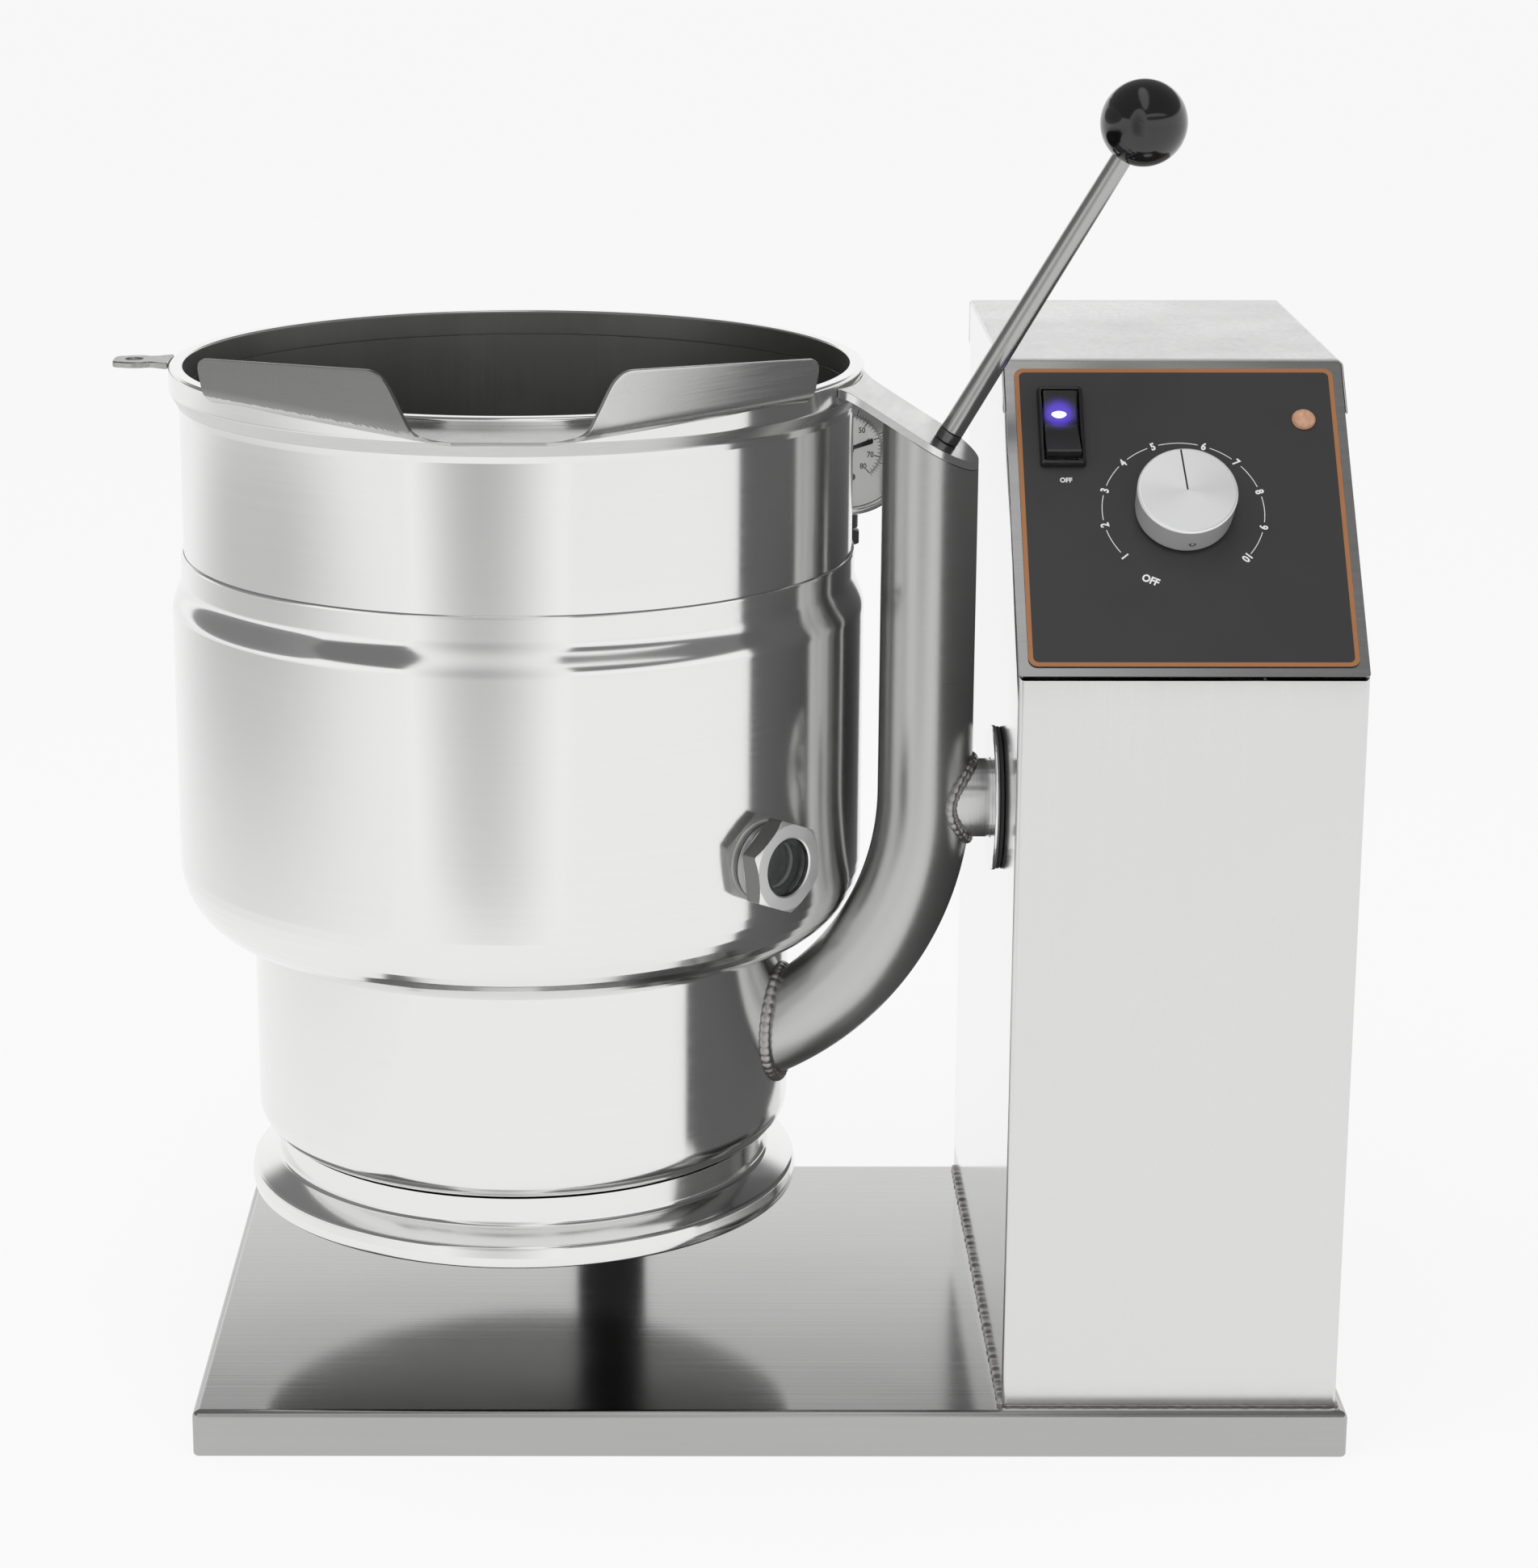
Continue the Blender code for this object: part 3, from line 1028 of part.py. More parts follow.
def wing_grid(sign):
    """Outer and inner points of one wing, row by row up from the floor."""
    lean = math.radians(LIP_WING_LEAN_DEG)
    slant = math.tan(math.radians(LIP_SLANT_DEG))
    turn_full = math.pi / 2 - lean
    bend_out = LIP_TANGENT - LIP_BEND
    bend_top = LIP_BEND * (1 - math.cos(turn_full))
    front_line = LIP_REACH / math.cos(math.radians(LIP_ANGLE_DEG))
    rows = [(turn_full * step / ARC_STEPS, 0.0) for step in range(ARC_STEPS + 1)]
    rows += [(turn_full, share) for share in LIP_ROW_SHARES]
    outer, inner = [], []
    for turn, share in rows:
        out = bend_out + LIP_BEND * math.sin(turn)
        rise = LIP_BEND * (1 - math.cos(turn))
        end_height = rise + share * (LIP_WING_HEIGHT - bend_top)
        slanted = LIP_WING_END + (LIP_WING_HEIGHT - end_height) * slant
        blend = max(1 - turn / (turn_full * LIP_BLEND_SHARE), 0.0) ** 2
        end = slanted + (front_line - out - slanted) * blend
        end -= corner_share(share, LIP_WING_CORNER, LIP_WING_HEIGHT - bend_top)
        start = -LIP_WING_START + corner_share(share, LIP_OUTER_CORNER, LIP_WING_END_HEIGHT - bend_top)
        outer_row, inner_row = [], []
        for column in range(LIP_COLUMNS + 1):
            reach = column / LIP_COLUMNS
            along = start + (end - start) * reach
            top = LIP_WING_END_HEIGHT + (LIP_WING_HEIGHT - LIP_WING_END_HEIGHT) * reach
            height = rise + share * (top - bend_top)
            away = out + (height - rise) * math.tan(lean)
            outer_row.append(lip_point(sign, along, away, height))
            inner_row.append(lip_point(sign, along, away - LIP_SHEET * math.sin(turn),
                                       height + LIP_SHEET * math.cos(turn)))
        outer.append(outer_row)
        inner.append(inner_row)
    return outer, inner


def build_lip(kettle, polished):
    """One sheet: the flat beak, and on each side a wing bent up from it."""
    bm = bmesh.new()
    floors = []
    for sign in (-1, 1):
        skins = [[[bm.verts.new(point) for point in row] for row in skin] for skin in wing_grid(sign)]
        for skin in skins:
            for low, high in zip(skin, skin[1:]):
                for index in range(LIP_COLUMNS):
                    bm.faces.new((low[index], low[index + 1], high[index + 1], high[index]))
        outer, inner = skins
        for column in (0, LIP_COLUMNS):
            for row in range(len(outer) - 1):
                bm.faces.new((outer[row][column], outer[row + 1][column],
                              inner[row + 1][column], inner[row][column]))
        for index in range(LIP_COLUMNS):
            bm.faces.new((outer[-1][index], outer[-1][index + 1], inner[-1][index + 1], inner[-1][index]))
        floors.append((outer[0], inner[0]))
    left, right = floors
    for level in range(2):
        bm.faces.new(left[level] + right[level][::-1])
    for column in (0, LIP_COLUMNS):
        bm.faces.new((left[0][column], right[0][column], right[1][column], left[1][column]))
    lip = place("pour_lip", bm, kettle, polished)
    clearance = place("lip_rim_clearance", cylinder(
        RIM_OUTER + GAP, RIM_TOP - RIM_HEIGHT * 2, RIM_TOP + LIP_WING_HEIGHT * 2, SHELL_STEPS * 2),
        kettle, None)
    cut(lip, clearance)


def build_lug(kettle, polished):
    """The lifting lug, flush with the rim's top at the kettle's left."""
    half, root = LUG_WIDTH / 2, LUG_ROOT / 2
    base = -RIM_OUTER - LUG_FILLET
    fillet_side = arc((base, -half - LUG_FILLET), LUG_FILLET, 90, 0, ARC_STEPS)
    side = [(-RIM_OUTER + LUG_FILLET, -root)] + [(x, max(y, -root)) for x, y in reversed(fillet_side)]
    tip = arc((-LUG_TIP + LUG_CORNER, -half + LUG_CORNER), LUG_CORNER, 270, 180, 3)
    lower = side + tip
    upper = [(x, -y) for x, y in reversed(lower)]
    lug = place("lifting_lug", extruded(lower + upper, RIM_TOP - LUG_THICKNESS, RIM_TOP), kettle, polished)
    clearance = place("lug_rim_clearance", cylinder(
        RIM_OUTER + GAP, RIM_TOP - RIM_HEIGHT, RIM_TOP + OVERRUN, SHELL_STEPS * 2), kettle, None)
    hole = place("lug_hole", cylinder(
        LUG_HOLE / 2, RIM_TOP - RIM_HEIGHT, RIM_TOP + OVERRUN, SMALL_STEPS), kettle, None,
        location=(-LUG_TIP + LUG_HOLE_INSET, 0, 0))
    cut(lug, clearance)
    cut(lug, hole)


def arm_path(extra):
    """Centreline of the arm in its own plane, from the strap down to the housing."""
    centre = (ARM_RADIAL - ARM_BEND, ARM_BEND_TOP)
    points = [(ARM_RADIAL, 0, RIM_TOP + extra), (ARM_RADIAL, 0, ARM_BEND_TOP + ARM_DIAMETER)]
    bend = arc(centre, ARM_BEND, 0, -ARM_SWEEP_DEG, ARM_STEPS)
    points += [(x, 0, z) for x, z in bend]
    turn = math.radians(ARM_SWEEP_DEG)
    last = bend[-1]
    further = extra + OVERRUN
    points.append((last[0] - further * math.sin(turn), 0, last[1] - further * math.cos(turn)))
    return points


def arm_housing_seam(radius):
    """Where a bar of this radius along the arm's bend meets the housing."""
    centre_x = ARM_RADIAL - ARM_BEND
    points = []
    for step in range(MEDIUM_STEPS):
        turn = math.tau * step / MEDIUM_STEPS
        reach = ARM_BEND + radius * math.cos(turn)
        y = radius * math.sin(turn)
        share = (math.sqrt((HOUSING_RADIUS + GAP) ** 2 - y * y) - centre_x) / reach
        points.append((centre_x + reach * share, y, ARM_BEND_TOP - reach * math.sqrt(1 - share * share)))
    return points


def build_arm(arm, housing, polished):
    """The bent support arm, coped and welded to the heater housing."""
    radius = ARM_DIAMETER / 2
    tube = place("support_arm", round_wire(arm_path(0), radius, TUBE_SIDES), arm, polished)
    bead = place("arm_weld_bead", round_wire(
        arm_housing_seam(radius + WELD_BEAD / 4), WELD_BEAD, SMALL_STEPS // 2, closed=True), arm, None)
    join(tube, bead)
    bore = place("arm_bore", round_wire(arm_path(OVERRUN), radius - ARM_WALL, TUBE_SIDES), arm, None)
    cut(tube, bore)
    plane = frame("strap_frame", arm, (RIM_OUTER, 0, STRAP_RIM_HEIGHT), (0, STRAP_SLOPE, 0))
    length = ARM_RADIAL - RIM_OUTER + ARM_DIAMETER * 2
    above = place("arm_top_clearance", block(
        (-OVERRUN, -ARM_DIAMETER, -STRAP_THICKNESS - GAP), (length, ARM_DIAMETER, length)), plane, None)
    cut(tube, above)
    inside = place("arm_housing_clearance", cylinder(
        HOUSING_RADIUS + GAP, HOUSING_BOTTOM - ARM_DIAMETER, JACKET_BOTTOM, SHELL_STEPS * 2), arm, None)
    cut(tube, inside)
    middle = sum(point[2] for point in arm_housing_seam(radius)) / MEDIUM_STEPS
    wires = place("housing_wire_hole", cylinder(
        TRUNNION_BORE / 2, HOUSING_RADIUS - OVERRUN, HOUSING_RADIUS + OVERRUN, SMALL_STEPS), arm, None,
        location=(0, 0, middle), rotation=(0, math.pi / 2, 0))
    cut(housing, wires)
    return tube


def build_strap(arm, polished):
    """The sloping strap from the rim that caps the arm and carries the lever."""
    half = ARM_DIAMETER / 2
    root = [(RIM_OUTER - OVERRUN, half + STRAP_ROOT_FLARE), (RIM_OUTER, half + STRAP_ROOT_FLARE),
            (RIM_OUTER + STRAP_ROOT_LENGTH / 3, half + STRAP_ROOT_FLARE / 3),
            (RIM_OUTER + STRAP_ROOT_LENGTH, half)]
    end = arc((ARM_RADIAL, 0), half, 90, -90, MEDIUM_STEPS // 2)
    outline = root + end + [(x, -y) for x, y in reversed(root)]
    drop = STRAP_THICKNESS / math.cos(STRAP_SLOPE)
    top = [(x, y, STRAP_RIM_HEIGHT - (x - RIM_OUTER) * math.tan(STRAP_SLOPE)) for x, y in outline]
    low = [(x, y, z - drop) for x, y, z in top]
    strap = place("rim_strap", skinned([low, top]), arm, polished)
    clearance = place("strap_rim_clearance", cylinder(
        RIM_OUTER + GAP, RIM_TOP - RIM_HEIGHT * 2, RIM_TOP + OVERRUN, SHELL_STEPS * 2), arm, None)
    cut(strap, clearance)


def build_lever(arm, steel, dark, ball_black):
    """The tilt lever: a collar, a tapered rod and a ball, square to the strap."""
    base_radial = ARM_RADIAL + LEVER_OFFSET
    height = STRAP_RIM_HEIGHT - (base_radial - RIM_OUTER) * math.tan(STRAP_SLOPE)
    lever = frame("lever_frame", arm, (base_radial, 0, height), (0, STRAP_SLOPE, 0))
    stud = LEVER_STUD_DIAMETER / 2
    place("handle_collar", ring(
        stud + GAP, LEVER_COLLAR_DIAMETER / 2, GAP, LEVER_COLLAR_LENGTH, SMALL_STEPS), lever, dark)
    ball = BALL_DIAMETER / 2
    neck = BALL_NECK_DIAMETER / 2
    neck_turn = math.degrees(math.asin(neck / ball))
    neck_height = LEVER_LENGTH - math.sqrt(ball * ball - neck * neck)
    bore_top = neck_height + BALL_BORE_DEPTH
    rod_low = LEVER_COLLAR_LENGTH + GAP
    place("handle_rod", turned([
        (0, bore_top - GAP), (LEVER_TOP_DIAMETER / 2, bore_top - GAP), (LEVER_BASE_DIAMETER / 2, rod_low),
        (stud, rod_low), (stud, GAP), (0, GAP)], SMALL_STEPS, closed=False), lever, steel)
    bore = LEVER_TOP_DIAMETER / 2 + 2 * GAP
    profile = arc((0, LEVER_LENGTH), ball, 90, -90 + neck_turn, SMALL_STEPS - 4)
    profile += [(bore, neck_height), (bore, bore_top), (0, bore_top)]
    place("ball_knob", turned(profile, MEDIUM_STEPS, closed=False), lever, ball_black)


def build_trunnion(tilt, arm, tube, steel, dark):
    """The hollow trunnion the kettle turns on, and the collar with its two stop lugs."""
    radius = TRUNNION_DIAMETER / 2
    end = CONSOLE_LEFT + TRUNNION_REACH - PIVOT_X
    shaft = place("trunnion_shaft", cylinder(radius, 0, end, MEDIUM_STEPS), tilt, steel,
                  rotation=(0, math.pi / 2, 0))
    seam = []
    reach = ARM_DIAMETER / 2
    for step in range(MEDIUM_STEPS):
        turn = math.tau * step / MEDIUM_STEPS
        y = (radius + WELD_BEAD / 4) * math.cos(turn)
        z = (radius + WELD_BEAD / 4) * math.sin(turn)
        below = max(ARM_BEND_TOP - PIVOT_HEIGHT - z, 0.0)
        inward = ARM_BEND - math.sqrt(ARM_BEND ** 2 - below ** 2)
        centre_x, centre_y = -inward * math.cos(ARM_ANGLE), inward * math.sin(ARM_ANGLE)
        seam.append((centre_x + math.sqrt(reach ** 2 - (y - centre_y) ** 2), y, z))
    bead = place("trunnion_weld_bead", round_wire(seam, WELD_BEAD, SMALL_STEPS // 2, closed=True),
                 tilt, None)
    join(shaft, bead)
    clearance = place("trunnion_arm_clearance", round_wire(
        arm_path(0), ARM_DIAMETER / 2 + GAP, TUBE_SIDES), arm, None)
    cut(shaft, clearance)
    bore = place("trunnion_bore", cylinder(
        TRUNNION_BORE / 2, -ARM_DIAMETER / 4, end + OVERRUN, MEDIUM_STEPS), tilt, None,
        rotation=(0, math.pi / 2, 0))
    cut(shaft, bore)
    cut(tube, bore)

    outer = radius + STOP_COLLAR_WALL
    inside = CONSOLE_LEFT + CONSOLE_SHEET + BRACKET_LEFT_INSET + BRACKET_PLATE
    middle = inside + BRACKET_SPAN / 2 - PIVOT_X
    collar = place("stop_collar", ring(
        radius + GAP, outer, -STOP_COLLAR_WIDTH / 2, STOP_COLLAR_WIDTH / 2, MEDIUM_STEPS), tilt, dark,
        location=(middle, 0, 0), rotation=(0, math.pi / 2, 0))
    meeting = math.degrees(math.asin((STOP_BAR_DIAMETER + STOP_LUG_THICKNESS) / 2 / STOP_BAR_RADIUS))
    meeting += STOP_CLEARANCE_DEG
    for index, turn_deg in enumerate((meeting, -meeting - TILT_RANGE_DEG)):
        lug = place(f"stop_lug_{index}", block(
            (-STOP_COLLAR_WIDTH / 2, -STOP_LUG_THICKNESS / 2, -outer - STOP_LUG_REACH),
            (STOP_COLLAR_WIDTH / 2, STOP_LUG_THICKNESS / 2, -outer + STOP_COLLAR_WALL / 2)), tilt, None,
            location=(middle, 0, 0), rotation=(math.radians(turn_deg), 0, 0))
        join(collar, lug)


def build_sight_glass(kettle, jacket, steel, rubber, polished, glass):
    """The sight glass: boss, gasket, hexagon nut and the window it holds."""
    sight = frame("sight_frame", kettle, (0, 0, SIGHT_HEIGHT),
                  (math.pi / 2, 0, math.radians(SIGHT_ANGLE_DEG)))
    boss_top = JACKET_RADIUS + SIGHT_BOSS_REACH
    bore = SIGHT_BORE_DIAMETER / 2
    boss = place("sight_boss", ring(
        bore, SIGHT_BOSS_DIAMETER / 2, JACKET_RADIUS - OVERRUN, boss_top, MEDIUM_STEPS), sight, steel)
    clearance = place("sight_boss_clearance", cylinder(
        JACKET_RADIUS + GAP, -SIGHT_BOSS_DIAMETER, SIGHT_BOSS_DIAMETER, SHELL_STEPS * 2), kettle, None,
        location=(0, 0, SIGHT_HEIGHT))
    cut(boss, clearance)
    drill = place("sight_jacket_hole", cylinder(
        bore, JACKET_RADIUS - SIGHT_BOSS_DIAMETER / 2, boss_top, MEDIUM_STEPS), sight, None)
    cut(jacket, drill)
    gasket_low = boss_top + GAP
    gasket_top = gasket_low + SIGHT_GASKET_THICKNESS
    place("sight_gasket", ring(
        bore, SIGHT_GASKET_DIAMETER / 2, gasket_low, gasket_top, MEDIUM_STEPS), sight, rubber)
    low = gasket_top + GAP
    top = low + SIGHT_NUT_THICKNESS
    nut = place("sight_nut", hexagon(SIGHT_NUT_FLATS, low, top), sight, polished,
                rotation=(0, 0, math.radians(SIGHT_NUT_DEG)))
    corner = SIGHT_NUT_FLATS / math.sqrt(3) + GAP
    dome = place("sight_nut_chamfer", turned([
        (0, top), (corner - SIGHT_NUT_CHAMFER * 2, top), (corner, top - SIGHT_NUT_CHAMFER),
        (corner, low - OVERRUN), (0, low - OVERRUN)], MEDIUM_STEPS, closed=False), sight, None)
    common(nut, dome)
    seat = top - SIGHT_WINDOW_RECESS - SIGHT_WINDOW_THICKNESS
    window = SIGHT_WINDOW_DIAMETER / 2
    passage = place("sight_nut_bore", turned([
        (0, top + OVERRUN), (window, top + OVERRUN), (window, seat - GAP), (bore, seat - GAP),
        (bore, low - OVERRUN), (0, low - OVERRUN)], MEDIUM_STEPS, closed=False), sight, None)
    cut(nut, passage)
    place("sight_window", cylinder(
        window - GAP, seat, seat + SIGHT_WINDOW_THICKNESS, MEDIUM_STEPS), sight, glass)


def build_gauge(kettle, polished, dial_white, glass, dark, steel):
    """The pressure gauge: its case, dial, needle and lens."""
    gauge = frame("gauge_frame", kettle, (GAUGE_X, GAUGE_Y, GAUGE_HEIGHT), (math.pi / 2, 0, 0))
    radius, half = GAUGE_DIAMETER / 2, GAUGE_THICKNESS / 2
    inner = radius - GAUGE_RIM
    dial_top = half - GAUGE_DIAL_SETBACK
    seat = dial_top - GAUGE_DIAL_THICKNESS - GAP
    case = place("gauge_case", turned([
        (0, -half), (radius - GAUGE_SEAT, -half), (radius, -half + GAUGE_SEAT), (radius, half - GAUGE_EDGE),
        (radius - GAUGE_EDGE, half), (inner, half), (inner, seat), (inner - GAUGE_SEAT, seat),
        (inner - GAUGE_SEAT, -half + GAUGE_BACK), (0, -half + GAUGE_BACK)], MEDIUM_STEPS, closed=False),
        gauge, polished)
    socket = place("gauge_socket", cylinder(
        GAUGE_SOCKET / 2, radius - GAUGE_SEAT, radius + GAUGE_SOCKET_LENGTH, SMALL_STEPS), gauge, None,
        rotation=(math.pi / 2, 0, 0))
    join(case, socket)
    socket_bore = place("gauge_socket_bore", cylinder(
        STEM_DIAMETER / 2 + GAP, radius + GAUGE_SOCKET_LENGTH / 3, radius + GAUGE_SOCKET_LENGTH + OVERRUN,
        SMALL_STEPS), gauge, None, rotation=(math.pi / 2, 0, 0))
    cut(case, socket_bore)
    pin = GAUGE_PIN_DIAMETER / 2
    needle_low = dial_top + NEEDLE_LIFT
    needle_top = needle_low + NEEDLE_THICKNESS
    place("gauge_dial", turned([
        (0, needle_top), (pin, needle_top), (pin, dial_top), (inner - GAP, dial_top),
        (inner - GAP, dial_top - GAUGE_DIAL_THICKNESS), (0, dial_top - GAUGE_DIAL_THICKNESS)],
        MEDIUM_STEPS, closed=False), gauge, dial_white)
    lens_top = half - GAUGE_LENS_SETBACK
    place("gauge_lens", cylinder(
        inner - GAP, lens_top - GAUGE_LENS_THICKNESS, lens_top, MEDIUM_STEPS), gauge, glass)
    pivot = frame("needle_pivot", gauge, (0, 0, 0), (0, 0, math.radians(NEEDLE_DEG)))
    wide = NEEDLE_WIDTH / 2
    needle = place("gauge_needle", extruded(
        [(-NEEDLE_TAIL, -wide), (0, -wide), (NEEDLE_LENGTH, -wide / 3), (NEEDLE_LENGTH, wide / 3),
         (0, wide), (-NEEDLE_TAIL, wide)], needle_low, needle_top), pivot, dark)
    hub = place("needle_hub", cylinder(
        NEEDLE_HUB / 2, needle_low - NEEDLE_THICKNESS / 2, needle_top + NEEDLE_THICKNESS / 2, SMALL_STEPS),
        pivot, None)
    join(needle, hub)
    eye = place("needle_eye", cylinder(pin + GAP, dial_top, lens_top, SMALL_STEPS), pivot, None)
    cut(needle, eye)

    away = GAUGE_AWAY
    pipe = frame("stem_frame", kettle, (0, 0, 0), (0, 0, math.radians(GAUGE_ANGLE_DEG)))
    foot = JACKET_RADIUS + STEM_BOSS_LENGTH / 2
    top = GAUGE_HEIGHT - radius - GAUGE_SOCKET_LENGTH / 3 - GAP
    bend = [(x, 0, z) for x, z in arc(
        (away - STEM_BEND, STEM_FOOT_HEIGHT + STEM_BEND), STEM_BEND, 0, -90, ARC_STEPS)]
    place("gauge_stem", round_wire([(away, 0, top)] + bend + [(foot, 0, STEM_FOOT_HEIGHT)],
                                   STEM_DIAMETER / 2, SMALL_STEPS // 2 + 2), pipe, steel)
    nut = place("gauge_nut", hexagon(GAUGE_NUT_FLATS, 0, GAUGE_NUT_LENGTH), pipe, steel,
                location=(away, 0, GAUGE_NUT_HEIGHT - GAUGE_NUT_LENGTH / 2))
    nut_bore = place("gauge_nut_bore", cylinder(
        STEM_DIAMETER / 2 + GAP, -OVERRUN, GAUGE_NUT_LENGTH + OVERRUN, SMALL_STEPS), pipe, None,
        location=(away, 0, GAUGE_NUT_HEIGHT))
    cut(nut, nut_bore)
    boss = place("gauge_boss", cylinder(
        STEM_BOSS_DIAMETER / 2, JACKET_RADIUS - STEM_BOSS_LENGTH, JACKET_RADIUS + STEM_BOSS_LENGTH,
        SMALL_STEPS), pipe, steel, location=(0, 0, STEM_FOOT_HEIGHT), rotation=(0, math.pi / 2, 0))
    boss_bore = place("gauge_boss_bore", cylinder(
        STEM_DIAMETER / 2 + GAP, foot - GAP, foot + OVERRUN, SMALL_STEPS), pipe, None,
        location=(0, 0, STEM_FOOT_HEIGHT), rotation=(0, math.pi / 2, 0))
    boss_cope = place("gauge_boss_cope", cylinder(
        JACKET_RADIUS + GAP, -STEM_BOSS_DIAMETER, STEM_BOSS_DIAMETER, SHELL_STEPS * 2), kettle, None,
        location=(0, 0, STEM_FOOT_HEIGHT))
    cut(boss, boss_bore)
    cut(boss, boss_cope)


def build_safety_valve(kettle, brass, steel):
    """The safety valve at the back of the jacket, with its lifting lever."""
    valve = frame("valve_frame", kettle, (0, 0, VALVE_HEIGHT), (0, 0, math.radians(VALVE_ANGLE_DEG - 90)))
    axis_out = JACKET_RADIUS + VALVE_ELBOW_REACH
    body_low = -VALVE_BOSS_DIAMETER / 2
    body_top = body_low + VALVE_BODY_HEIGHT
    bonnet_top = body_top + VALVE_BONNET_HEIGHT
    body, bonnet = VALVE_BODY_DIAMETER / 2, VALVE_BONNET_DIAMETER / 2
    part = place("safety_valve", turned([
        (0, bonnet_top), (bonnet, bonnet_top), (bonnet, body_top), (body, body_top), (body, body_low),
        (0, body_low)], SMALL_STEPS, closed=False), valve, brass, location=(axis_out, 0, 0))
    spigot = place("valve_spigot", cylinder(
        body * VALVE_SPIGOT_SHARE, JACKET_RADIUS - OVERRUN, axis_out, SMALL_STEPS), valve, None,
        rotation=(0, math.pi / 2, 0))
    join(part, spigot)
    cope = place("valve_cope", cylinder(
        JACKET_RADIUS + GAP, -VALVE_BODY_HEIGHT, VALVE_BODY_HEIGHT, SHELL_STEPS * 2), valve, None)
    cut(part, cope)
    wide = VALVE_LEVER_WIDTH / 2
    pin_centre = (axis_out, VALVE_PIN_DIAMETER - VALVE_PIN_OFFSET, bonnet_top + VALVE_LEVER_LIFT)
    for index, sign in enumerate((-1, 1)):
        near, far = sign * (wide + GAP), sign * (wide + GAP + VALVE_EAR)
        ear = place(f"valve_ear_{index}", block(
            (min(near, far), -VALVE_PIN_DIAMETER, -VALVE_LEVER_LIFT * 2),
            (max(near, far), VALVE_PIN_DIAMETER, VALVE_PIN_DIAMETER)), valve, None, location=pin_centre)
        join(part, ear)
    pin = place("valve_pin", cylinder(
        VALVE_PIN_DIAMETER / 2, -wide - VALVE_EAR, wide + VALVE_EAR, SMALL_STEPS // 2), valve, None,
        location=pin_centre, rotation=(0, math.pi / 2, 0))
    join(part, pin)
    hinge = frame("valve_lever_pivot", valve, pin_centre)
    lever = place("valve_lever", block(
        (-wide, 0, -VALVE_LEVER_THICKNESS / 2), (wide, VALVE_LEVER_LENGTH, VALVE_LEVER_THICKNESS / 2)),
        hinge, steel)
    hub = place("valve_lever_hub", cylinder(VALVE_PIN_DIAMETER, -wide, wide, SMALL_STEPS), hinge, None,
                rotation=(0, math.pi / 2, 0))
    eye = place("valve_lever_eye", cylinder(
        VALVE_PIN_DIAMETER / 2 + GAP, -wide - OVERRUN, wide + OVERRUN, SMALL_STEPS), hinge, None,
        rotation=(0, math.pi / 2, 0))
    join(lever, hub)
    cut(lever, eye)


clear_scene()

brushed_steel = material("brushed_steel", (0.62, 0.62, 0.61), 0.38, 1.0)
polished_steel = material("polished_steel", (0.74, 0.74, 0.74), 0.16, 1.0)
plain_steel = material("plain_steel", (0.50, 0.51, 0.52), 0.45, 1.0)
dark_steel = material("dark_steel", (0.16, 0.16, 0.17), 0.45, 1.0)
spun_aluminium = material("spun_aluminium", (0.78, 0.78, 0.79), 0.30, 1.0)
bronze = material("bronze", (0.55, 0.38, 0.18), 0.40, 1.0)
brass = material("brass", (0.70, 0.54, 0.26), 0.30, 1.0)
black_rubber = material("black_rubber", (0.03, 0.03, 0.03), 0.80)
black_plastic = material("black_plastic", (0.02, 0.02, 0.02), 0.35)
ball_black = material("ball_black", (0.01, 0.01, 0.01), 0.15)
panel_film = material("panel_film", (0.05, 0.05, 0.05), 0.50)
amber_lens = material("amber_lens", (0.85, 0.35, 0.20), 0.25)
dark_lens = material("dark_lens", (0.10, 0.02, 0.02), 0.25)
dial_white = material("dial_white", (0.88, 0.88, 0.87), 0.50)
clear_glass = material("clear_glass", (0.75, 0.78, 0.78), 0.05)
board_green = material("board_green", (0.05, 0.25, 0.12), 0.50)

unit_frame = frame("unit_frame", None, (-ORIGIN_X, -ORIGIN_Y, BASE_HEIGHT))
panel_frame = frame("panel_frame", unit_frame, (CONSOLE_LEFT, CONSOLE_FRONT_INSET, CONSOLE_FRONT_HEIGHT),
                    (SLOPE_ANGLE, 0, 0))
tilt_pivot = frame("tilt_pivot", unit_frame, (PIVOT_X, PIVOT_Y, PIVOT_HEIGHT))
kettle_frame = frame("kettle_frame", tilt_pivot, (KETTLE_X - PIVOT_X, KETTLE_Y - PIVOT_Y, -PIVOT_HEIGHT))
arm_frame = frame("arm_frame", kettle_frame, (0, 0, 0), (0, 0, -ARM_ANGLE))

build_base(unit_frame, brushed_steel)
build_console(unit_frame, brushed_steel)
build_gland(unit_frame, black_plastic)
build_panel(panel_frame, brushed_steel, panel_film, black_plastic, dark_lens, amber_lens)
build_rocker(panel_frame, black_plastic)
build_thermostat(panel_frame, spun_aluminium, dark_steel)
build_components(unit_frame, plain_steel, black_plastic, board_green)
build_trunnion_mount(unit_frame, plain_steel, bronze, polished_steel, black_rubber)

